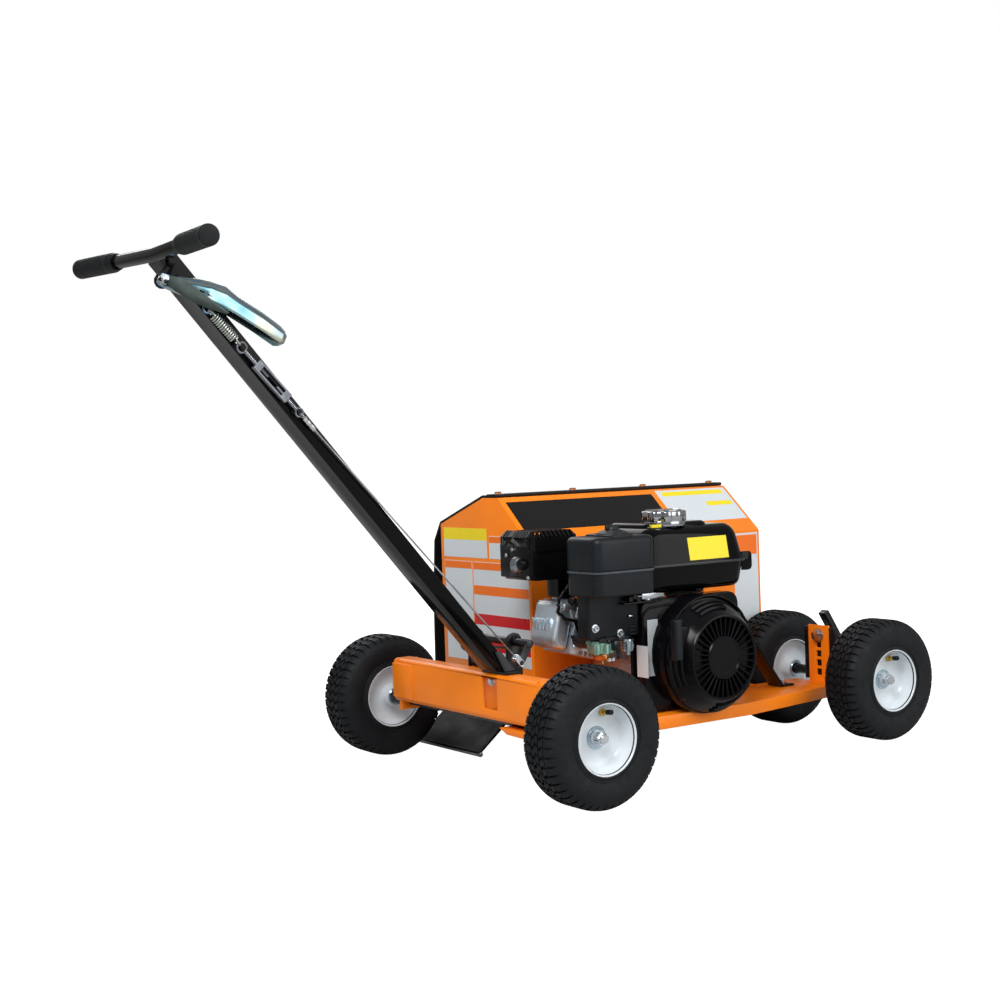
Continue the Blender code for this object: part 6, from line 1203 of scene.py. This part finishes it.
class TRENCHER_OT_muffler(bpy.types.Operator):
    """Muffler with its outlet, and the slotted shield above it"""

    bl_idname = "trencher.muffler"
    bl_label = "Muffler"

    def execute(self, context):
        """Rounds the muffler and cuts the slots of its shield."""
        (x0, y0), (x1, y1) = SHIELD_LOW, SHIELD_HIGH
        muffler = node_copy("muffler", "muffler_finished")
        low, high = node_box("muffler")
        tray = block("muffler_tray", (x0 + 0.001, low.y + 0.001, 0.345),
                     (x1 - 0.001, high.y - 0.001, 0.38))
        muffler = merged("muffler_finished", muffler, tray)
        round_edges(muffler, 0.0035, 3)
        replace_node(muffler, "muffler", "heat_black")
        top = SHIELD_TOP
        lean = SHIELD_CHAMFER
        corners = ((x0, y0), (x1, y0), (x1, y1), (x0, y1))
        shield = block("slotted_shield", (x0, y0, 0.392), (x1, y1, top))
        bevel_where(shield, upright_edge, 0.01, 3)
        bevel_where(shield, at_height(top), lean, 1)
        pick(shield)
        bpy.ops.object.mode_set(mode="EDIT")
        choose(shield, "faces", lambda face: face.normal.z < -0.9)
        bpy.ops.mesh.delete(type="FACE")
        bpy.ops.object.mode_set(mode="OBJECT")
        bpy.ops.object.modifier_add(type="SOLIDIFY")
        wall = shield.modifiers[-1]
        wall.thickness = 0.0014
        wall.offset = -1
        bpy.ops.object.modifier_apply(modifier=wall.name)
        slots = []
        for start, end in zip(corners, corners[1:] + corners[:1]):
            start, end = Vector((*start, 0)), Vector((*end, 0))
            run = (end - start).normalized()
            inward = Vector((-run.y, run.x, 0))
            length = (end - start).length
            slotted = length - 2 * SLOT_MARGIN
            count = int(slotted / SLOT_PITCH)
            for k in range(count + 1):
                place = (start + run * (SLOT_MARGIN + slotted * k / count)
                         + inward * lean / 2 + Vector((0, 0, top - lean / 2)))
                slope = (inward + Vector((0, 0, 1))).normalized()
                outward = (Vector((0, 0, 1)) - inward).normalized()
                slot = block("slot", (-0.0019, -0.0085, -0.006), (0.0019, 0.0085, 0.006))
                turn = Matrix((run, slope, outward)).transposed().to_4x4()
                slot.matrix_world = Matrix.Translation(place) @ turn
                slots.append(slot)
        for row in range(3):
            for k in range(7):
                x = x0 + 0.026 + k * 0.009
                y = y0 + 0.028 + row * 0.022
                slots.append(block("slot", (x - 0.0017, y - 0.0075, top - 0.006),
                                   (x + 0.0017, y + 0.0075, top + 0.006)))
        carve(shield, merged("slots", *slots))
        replace_node(shield, "muffler_guard", "heat_black")
        spun("outlet_dome", [(0, low.x - 0.001), (0.005, low.x - 0.0006), (0.0105, low.x + 0.001),
                             (0.0145, low.x + 0.0045), (0.0162, low.x + 0.009), (0.0162, -0.044),
                             (0, -0.044)], "X", (0, -0.044, 0.368), 32, "dark_zinc")
        plate("outlet_bracket", (-0.0462, -0.08, 0.347), (-0.044, -0.02, 0.396), 0.0009,
              "heat_black")
        for k, (y, z) in enumerate(((-0.032, 0.395), (-0.078, 0.347), (-0.013, 0.384))):
            bolt(f"muffler_bolt_{k}", "X", (0, y, z), -0.0461, -0.0496, 0.0038)
        return {"FINISHED"}


CLEANER_SEAM = 0.3605


class TRENCHER_OT_air_cleaner(bpy.types.Operator):
    """Air cleaner cover with its knob, lower case and the body that joins the carburettor"""

    bl_idname = "trencher.air_cleaner"
    bl_label = "Air cleaner"

    def execute(self, context):
        """Builds the moulded cases and the wing knob."""
        low, high = node_box("air_cleaner_base")
        seam = CLEANER_SEAM
        top = node_box("air_cleaner_cover")[1].z + 0.004
        high.x += 0.006
        cover = case_block("air_cleaner_cover_case", (low.x, low.y, seam),
                           (high.x, high.y + 0.014, top), 0.018, 0.011, 0.0012)
        plinth = case_block("cover_plinth", (low.x + 0.036, low.y + 0.006, top - 0.006),
                            (low.x + 0.088, high.y, top + 0.0035), 0.008, 0.003, 0)
        replace_node(merged("air_cleaner_cover_case", cover, plinth), "air_cleaner_cover",
                     "black_plastic")
        rim = case_block("air_cleaner_rim", (low.x - 0.0012, low.y - 0.0012, seam - 0.005),
                         (high.x + 0.0012, high.y + 0.0152, seam - 0.0008), 0.019, 0.001, 0.001)
        case = case_block("air_cleaner_case", (low.x + 0.001, low.y + 0.001, 0.316),
                          (high.x - 0.001, high.y + 0.013, seam - 0.004), 0.018, 0, 0.004)
        elbow = case_block("air_cleaner_elbow", (0.004, -0.18, 0.239), (0.1165, -0.146, 0.32),
                           0.006, 0, 0.005)
        # The seam rim is coloured grey against the black case: a painted highlight along the seam
        complete(rim, "edge_plastic")
        replace_node(merged("air_cleaner_case", case, elbow), "air_cleaner_base", "black_plastic")
        centre = ((low.x + high.x) / 2, (low.y + high.y) / 2, 0)
        cone = lathe("knob_cone", [(0, top), (0.03, top), (0.0285, top + 0.005),
                                   (0.019, top + 0.009), (0.012, top + 0.0115),
                                   (0.0105, top + 0.015), (0, top + 0.016)], "Z", centre, 36)
        wing = block("knob_wing", (centre[0] - 0.015, centre[1] - 0.0021, top + 0.009),
                     (centre[0] + 0.015, centre[1] + 0.0021, top + 0.0185))
        round_edges(wing, 0.0014, 3)
        complete(merged("air_cleaner_knob", cone, wing), "black_plastic")
        for k, (x, z) in enumerate(((0.0165, 0.259), (0.0715, 0.2462))):
            spun(f"elbow_bolt_{k}", [(0, -0.1795), (0.0072, -0.1795), (0.0072, -0.1817),
                                     (0.0052, -0.182), (0.005, -0.1865), (0.0026, -0.1865),
                                     (0.0026, -0.1845), (0, -0.1845)], "Y", (x, 0, z), 28,
                 "bright_zinc")
        oval = tube("elbow_plug", [(0.09, -0.1805, 0.2744), (0.099, -0.1805, 0.2736)], 0.0036,
                    sides=4)
        complete(round_edges(oval, 0.001), "chrome")
        for k in range(3):
            rise = k * 0.0062
            plate(f"elbow_rib_{k}", (0.092, -0.1828, 0.241 + rise),
                  (0.1075, -0.179, 0.2438 + rise), 0.0008, "black_plastic")
        return {"FINISHED"}


TANK_LOW, TANK_HIGH = (0.1172, -0.2034), (0.3605, -0.0334)
TANK_SEAM = 0.358
TANK_TOP, TANK_BOTTOM = 0.425, 0.31
TANK_DRAFT = 0.012
CAP_RADIUS, CAP_LOBE, CAP_LOBES = 0.0396, 0.0024, 9
CAP_LOW, CAP_HIGH = 0.433, 0.453


class TRENCHER_OT_fuel_tank(bpy.types.Operator):
    """Pressed black fuel tank with its seam, neck and fluted cap"""

    bl_idname = "trencher.fuel_tank"
    bl_label = "Fuel tank"

    def execute(self, context):
        """Builds the two tank halves, the seam, the neck, the cap and a plain panel."""
        (x0, y0), (x1, y1) = TANK_LOW, TANK_HIGH
        seam = TANK_SEAM
        upper = case_block("tank_upper", (x0, y0, seam - 0.001), (x1, y1, TANK_TOP), 0.03, 0.022,
                           0, 8)
        lower = case_block("tank_lower", (x0 + 0.001, y0 + 0.001, TANK_BOTTOM),
                           (x1 - 0.001, y1 - 0.001, seam), 0.029, 0, 0.014, 7)
        taper(upper, seam, TANK_TOP, 0.03, TANK_DRAFT)
        taper(lower, seam, TANK_BOTTOM, 0.014, 0.006)
        crown = case_block("tank_crown", (x0 + 0.028, y0 + 0.026, 0.415),
                           (x1 - 0.07, y1 - 0.022, 0.4325), 0.02, 0.01, 0, 6)
        flange = case_block("tank_flange", (x0 - 0.004, y0 - 0.004, seam - 0.0024),
                            (x1 + 0.004, y1 + 0.004, seam + 0.002), 0.033, 0.001, 0.001, 8)
        centre = (0.2072, -0.1454, 0)
        neck = lathe("tank_neck", [(0, 0.418), (0.0345, 0.418), (0.0335, 0.4262), (0.03, 0.4275),
                                   (0.03, 0.4338), (0, 0.4338)], "Z", centre, 48)
        feet = [block("tank_foot", (x, -0.1414, 0.3003), (x + 0.018, -0.054, 0.311))
                for x in (0.1692, 0.2832)]
        tab = block("tank_tab", (x1 - 0.01, y0 + 0.01, 0.337), (x1 + 0.015, y0 + 0.013, 0.3715))
        bevel_where(tab, lambda one, two: abs(one.y - two.y) > 0.001 and one.x > x1, 0.008, 5)
        round_edges(tab, 0.0008)
        # The seam flange is coloured lighter than the tank: a painted highlight along its edge
        complete(flange, "edge_gloss")
        replace_node(merged("pressed_tank", upper, crown, lower, neck, tab, *feet), "fuel_tank",
                     "tank_gloss")
        lean = TANK_DRAFT / (TANK_TOP - seam)
        panel = slab("tank_panel", [(x, y0 + 0.0006 + (z - seam) * lean, z) for x, z in
                                    ((0.2186, 0.364), (0.311, 0.364), (0.311, 0.404),
                                     (0.2186, 0.404))], (0, -0.001, 0))
        complete(panel, "panel_yellow")
        flat_panel("crown_patch", (0.154, -0.177, 0.425), (0.176, -0.156, 0.4304), "panel_yellow")

        outline = []
        for k in range(96):
            angle = FULL_TURN * k / 96
            lobe = max(-0.75, min(0.6, math.cos(CAP_LOBES * angle)))
            radius = CAP_RADIUS + CAP_LOBE * lobe
            outline.append((centre[0] + radius * math.cos(angle),
                            centre[1] + radius * math.sin(angle), CAP_LOW))
        grip = slab("cap_grip", outline, (0, 0, 0.02))
        bevel_where(grip, at_height(CAP_HIGH), 0.0032, 3)
        bevel_where(grip, at_height(CAP_LOW), 0.003, 2)
        skirt = lathe("cap_skirt", [(0, 0.4262), (0.0405, 0.4262), (0.041, 0.428), (0.04, 0.434),
                                    (0, 0.434)], "Z", centre, 72)
        crown = lathe("cap_crown", [(0, 0.452), (0.0345, 0.452), (0.034, 0.454), (0.03, 0.4552),
                                    (0.0285, 0.454), (0.012, 0.4546), (0, 0.4548)], "Z", centre,
                      56)
        replace_node(merged("fluted_cap", grip, skirt, crown), "fuel_cap", "chrome")
        return {"FINISHED"}


class TRENCHER_OT_carburettor(bpy.types.Operator):
    """Carburettor with its bowl, sediment cup and small levers"""

    bl_idname = "trencher.carburettor"
    bl_label = "Carburettor"

    def execute(self, context):
        """Spins the bowl and cup and softens the levers."""
        body = case_block("carburettor_body", (0.03, -0.1774, 0.233), (0.072, -0.089, 0.24), 0.004,
                          0.001, 0.002, 3)
        arm = block("cup_arm", (0.07, -0.178, 0.233), (0.096, -0.166, 0.241))
        round_edges(arm, 0.0012)
        barrel = lathe("carburettor_barrel", [(0, -0.089), (0.015, -0.089), (0.015, -0.15),
                                              (0, -0.15)], "Y", (0.0507, 0, 0.23), 28)
        pins = [lathe("lever_pin", [(0, -0.18), (0.0024, -0.18), (0.0024, -0.1886), (0, -0.189)],
                      "Y", (x, 0, z), 16) for x, z in ((0.041, 0.236), (0.0622, 0.222))]
        bridge = block("valve_bridge", (0.056, -0.1834, 0.217), (0.069, -0.17, 0.234))
        round_edges(bridge, 0.001)
        replace_node(merged("carburettor_body", body, arm, barrel, bridge, *pins), "carburettor",
                     "dark_steel")
        centre = (0.0423, -0.156, 0)
        bowl = lathe("float_bowl", [(0, 0.2345), (0.0215, 0.2345), (0.0218, 0.2325),
                                    (0.0226, 0.232), (0.0226, 0.229), (0.0206, 0.228),
                                    (0.02, 0.219), (0.0184, 0.2135), (0.014, 0.2112), (0, 0.211)],
                     "Z", centre, 40)
        lobes = [lathe("bowl_lobe", [(0, 0.23), (0.0074, 0.23), (0.0074, 0.217),
                                     (0.0052, 0.2118), (0, 0.2106)], "Z",
                       (centre[0] + x, centre[1] + y, 0), 20)
                 for x, y in ((-0.0145, -0.013), (0.001, -0.0185), (0.0165, -0.011))]
        complete(merged("float_bowl", bowl, *lobes), "green_zinc")
        spun("bowl_foot", [(0, 0.212), (0.016, 0.212), (0.0165, 0.208), (0.012, 0.201),
                           (0.0075, 0.1995), (0.0075, 0.194), (0.0045, 0.1925), (0, 0.1925)], "Z",
             (centre[0] + 0.004, centre[1], 0), 28, "copper")
        for k, x in enumerate((0.052, 0.06)):
            bolt(f"bowl_bolt_{k}", "Y", (x, 0, 0.201), -0.164, -0.1745, 0.0042)
        spun("sediment_cup", [(0, 0.234), (0.0125, 0.234), (0.013, 0.231), (0.0122, 0.2295),
                              (0.012, 0.218), (0.01, 0.213), (0.006, 0.2115), (0.0058, 0.206),
                              (0, 0.206)], "Z", (0.0922, -0.1724, 0), 32, "hub_zinc")
        wire("fuel_pipe", [(0.094, -0.156, 0.237), (0.104, -0.15, 0.242), (0.112, -0.145, 0.26),
                           (0.115, -0.143, 0.285), (0.117, -0.142, 0.308)], 0.003, "lead_rubber",
             smooth=True)
        soften("choke_lever", "black_plastic", 0.0005)
        soften("fuel_valve_lever", "black_plastic", 0.0005)
        arm = rounded_copy("throttle_lever", 0.0006)
        fold = slab("throttle_fold", [(0.109, -0.199, 0.3032), (0.156, -0.199, 0.3032),
                                      (0.16, -0.199, 0.306), (0.157, -0.199, 0.311),
                                      (0.12, -0.199, 0.314), (0.109, -0.199, 0.315)],
                    (0, 0.0016, 0))
        round_edges(fold, 0.0005)
        replace_node(merged("throttle_lever_finished", arm, fold), "throttle_lever", "bright_zinc")
        plate("control_plate", (0.07, -0.196, 0.2965), (0.156, -0.156, 0.299), 0.0008,
              "satin_black")
        for k, (x, z) in enumerate(((0.086, 0.305), (0.096, 0.309), (0.104, 0.304))):
            spun(f"governor_coil_{k}", [(0, -0.196), (0.0046, -0.196), (0.0046, -0.184),
                                        (0, -0.184)], "Y", (x, 0, z), 20, "satin_black")
        soften("engine_switch", "panel_red", 0.001)
        wire("governor_rod", [(0.09, -0.17, 0.307), (0.112, -0.176, 0.306),
                              (0.155, -0.18, 0.3075)], 0.0012, "bright_zinc")
        link = tube("governor_link", [(0.14, -0.181, 0.286), (0.172, -0.1815, 0.293)], 0.0014)
        ring = [(0.142 + 0.0042 * math.cos(FULL_TURN * k / 14), -0.1818,
                 0.286 + 0.0042 * math.sin(FULL_TURN * k / 14)) for k in range(14)]
        eye = tube("governor_eye", ring, 0.0013, closed=True)
        complete(merged("governor_link", link, eye), "bright_zinc", smooth=ROUND_ANGLE)
        return {"FINISHED"}


STARTER_HUB = Vector((0.2352, 0, 0.1945))
STARTER_BOLT_CIRCLE = 0.0945


class TRENCHER_OT_blower(bpy.types.Operator):
    """Blower housing, starter cover with louvres and radial bars, and the starter grip"""

    bl_idname = "trencher.blower"
    bl_label = "Blower and starter"

    def execute(self, context):
        """Spins the drum and the cover, and sets bars and louvres round it."""
        soften("fan_housing", "shroud_black", 0.0016)
        hub = STARTER_HUB
        spun("blower_drum", [(0.1022, -0.21), (0.1036, -0.212), (0.1036, -0.2195),
                             (0.1024, -0.2226), (0.0992, -0.2232), (0.0985, -0.22),
                             (0.0985, -0.21)], "Y", hub, 96, "shroud_black")
        cover = lathe("starter_cover",
                      [(0, -0.224), (0.099, -0.224), (0.0998, -0.2262), (0.0978, -0.231),
                       (0.09, -0.245), (0.0845, -0.254), (0.08, -0.259),
                       (0.0776, -0.2645), (0.0752, -0.2676), (0.0725, -0.268),
                       (0.0706, -0.2662), (0.0696, -0.26), (0.069, -0.2575),
                       (0.0402, -0.257), (0.0392, -0.26), (0.0386, -0.2664),
                       (0.0372, -0.2682), (0.0345, -0.2682), (0.0332, -0.2668),
                       (0, -0.2664)], "Y", hub, 96)
        bar = block("starter_bar", (hub.x + 0.0385, -0.2664, hub.z - 0.0012),
                    (hub.x + 0.0705, -0.256, hub.z + 0.0012))
        round_edges(bar, 0.0006, 1)
        ring_copies(bar, sizes().cooling_fins, "Y", hub)
        parts = [cover, bar]
        for start, angle in ((-152, 58), (-264, 60), (-78, 40)):
            for radius, station in ((0.0966, -0.2334), (0.0914, -0.2424), (0.0862, -0.2512)):
                parts.append(lathe("louvre", [(radius + 0.0016, station + 0.0014),
                                              (radius + 0.004, station - 0.002),
                                              (radius + 0.0006, station - 0.0042),
                                              (radius - 0.002, station - 0.0016)], "Y", hub, 18,
                                   angle=math.radians(angle), start=math.radians(start)))
        outlet = case_block("rope_outlet", (0.1395, -0.254, 0.202), (0.17, -0.225, 0.256), 0.006,
                            0.004, 0.004)
        parts.append(outlet)
        replace_node(merged("starter_cover", *parts), "recoil_cover", "shroud_black")
        grip = node_copy("recoil_grip", "recoil_grip_finished")
        round_edges(grip, 0.0055, 5)
        replace_node(grip, "recoil_grip", "black_plastic")
        for k in range(4):
            angle = math.radians(45 + 90 * k)
            place = hub + Vector((math.cos(angle), 0, math.sin(angle))) * STARTER_BOLT_CIRCLE
            bolt(f"starter_bolt_{k}", "Y", place, -0.229, -0.2352, 0.0052, 0.0068, "satin_black")
        wire("housing_bead", [(0.119, -0.1845, 0.15), (0.119, -0.1845, 0.265),
                              (0.123, -0.1845, 0.276), (0.136, -0.1845, 0.285),
                              (0.18, -0.1845, 0.288), (0.24, -0.1845, 0.29)], 0.0022,
             "shroud_black")
        plate("housing_flange", (0.112, -0.161, 0.145), (0.15, -0.156, 0.272), 0.0012,
              "shroud_black")
        flat_panel("strip_short", (0.1166, -0.199, 0.164), (0.1176, -0.169, 0.22), "panel_pale")
        flat_panel("strip_long", (0.1305, -0.1842, 0.164), (0.154, -0.1828, 0.264), "panel_pale")
        bolt("drain_bolt", "Y", (0.2414, 0, 0.109), -0.2236, -0.229, 0.0062, 0.008)
        return {"FINISHED"}


# ---------------------------------------------------------------------- stage

CAMERA_PLACE = (-1.68011, -2.38566, 0.5738)
CAMERA_FORWARD = (0.5642, 0.825, -0.0314)
CAMERA_RIGHT = (0.8243, -0.565, -0.0349)
CAMERA_LENS = 58.23
# Each lamp has its place, what it looks at, its size and its power
LAMPS = [("key_lamp", (-2.4, -2.0, 3.2), (0.0, 0.0, 0.3), 1.8, 142),
         ("fill_lamp", (2.2, -4.8, 2.6), (0.1, 0.0, 0.3), 5.0, 170),
         ("rim_lamp", (0.8, 3.0, 2.8), (0.0, 0.0, 0.3), 2.2, 40)]
WORLD_LIGHT = 0.34
FLOOR_TONE = (0.52, 0.52, 0.52)


class TRENCHER_OT_stage(bpy.types.Operator):
    """White floor and backdrop, soft studio lamps and the camera"""

    bl_idname = "trencher.stage"
    bl_label = "Studio and camera"

    def execute(self, context):
        """Sets the camera, lamps, world and floor."""
        forward = Vector(CAMERA_FORWARD).normalized()
        right = Vector(CAMERA_RIGHT)
        right = (right - forward * right.dot(forward)).normalized()
        up = right.cross(forward)
        lens = bpy.data.cameras.new("studio_camera")
        lens.lens = CAMERA_LENS
        lens.sensor_width = 36
        lens.clip_end = 100
        camera = bpy.data.objects.new("studio_camera", lens)
        camera.matrix_world = Matrix((right, up, -forward)).transposed().to_4x4()
        camera.location = Vector(CAMERA_PLACE) + DATUM
        context.scene.collection.objects.link(camera)
        context.scene.camera = camera
        context.scene.view_settings.view_transform = "Standard"

        for name, place, aim, size, power in LAMPS:
            lamp = bpy.data.lights.new(name, "AREA")
            lamp.energy = power
            lamp.size = size
            holder = bpy.data.objects.new(name, lamp)
            context.scene.collection.objects.link(holder)
            holder.location = place
            gaze = Vector(aim) - Vector(place)
            holder.rotation_euler = gaze.to_track_quat("-Z", "Y").to_euler()

        world = bpy.data.worlds.new("studio_world")
        context.scene.world = world
        world.use_nodes = True
        nodes, links = world.node_tree.nodes, world.node_tree.links
        nodes.clear()
        output = nodes.new("ShaderNodeOutputWorld")
        soft = nodes.new("ShaderNodeBackground")
        soft.inputs["Strength"].default_value = WORLD_LIGHT
        bright = nodes.new("ShaderNodeBackground")
        mix = nodes.new("ShaderNodeMixShader")
        path = nodes.new("ShaderNodeLightPath")
        links.new(path.outputs["Is Camera Ray"], mix.inputs["Fac"])
        links.new(soft.outputs["Background"], mix.inputs[1])
        links.new(bright.outputs["Background"], mix.inputs[2])
        links.new(mix.outputs["Shader"], output.inputs["Surface"])
        for background in (soft, bright):
            background.inputs["Color"].default_value = (1, 1, 1, 1)

        clear_selection()
        bpy.ops.mesh.primitive_plane_add(size=30, location=(0, 0, 0))
        floor = context.object
        floor.name = "studio_floor"
        cloth = shader("studio_white", FLOOR_TONE, 0.9, specular=0.1)
        nodes, links = cloth.node_tree.nodes, cloth.node_tree.links
        surface = nodes["Principled BSDF"]
        surface.inputs["Emission Color"].default_value = (1, 1, 1, 1)
        path = nodes.new("ShaderNodeLightPath")
        links.new(path.outputs["Is Camera Ray"], surface.inputs["Emission Strength"])
        floor.data.materials.append(cloth)
        return {"FINISHED"}


# ----------------------------------------------------------------------- main

PIECE_OPERATORS = [
    TRENCHER_OT_tyres, TRENCHER_OT_rims, TRENCHER_OT_wheel_hardware, TRENCHER_OT_chassis,
    TRENCHER_OT_handle, TRENCHER_OT_clutch_lever, TRENCHER_OT_clutch_line,
    TRENCHER_OT_linkage, TRENCHER_OT_guard, TRENCHER_OT_panels, TRENCHER_OT_engine_block,
    TRENCHER_OT_muffler, TRENCHER_OT_air_cleaner, TRENCHER_OT_fuel_tank,
    TRENCHER_OT_carburettor, TRENCHER_OT_blower, TRENCHER_OT_stage,
]


class TRENCHER_PT_panel(bpy.types.Panel):
    """Sidebar panel with the settings and one button for each operator"""

    bl_label = "Trencher"
    bl_idname = "TRENCHER_PT_panel"
    bl_space_type = "VIEW_3D"
    bl_region_type = "UI"
    bl_category = "Trencher"

    def draw(self, context):
        """Lists the settings, then the operators in their order."""
        layout = self.layout
        for settings in (context.scene.trencher_colours, context.scene.trencher_sizes):
            box = layout.box()
            for name in settings.__annotations__:
                box.prop(settings, name)
        for operator in PIECE_OPERATORS:
            layout.operator(operator.bl_idname)


CLASSES = [TrencherColours, TrencherSizes, *PIECE_OPERATORS, TRENCHER_PT_panel]


def register():
    """Adds the classes and the scene's settings."""
    for cls in CLASSES:
        bpy.utils.register_class(cls)
    bpy.types.Scene.trencher_colours = PointerProperty(type=TrencherColours)
    bpy.types.Scene.trencher_sizes = PointerProperty(type=TrencherSizes)


def unregister():
    """Removes the settings and the classes."""
    del bpy.types.Scene.trencher_sizes
    del bpy.types.Scene.trencher_colours
    for cls in reversed(CLASSES):
        bpy.utils.unregister_class(cls)


def main():
    """Makes every piece and the stage."""
    register()
    for operator in PIECE_OPERATORS:
        call = getattr(bpy.ops.trencher, operator.bl_idname.split(".")[1])
        if call() != {"FINISHED"}:
            raise RuntimeError(f"{operator.bl_idname} did not finish")


if __name__ == "__main__":
    main()
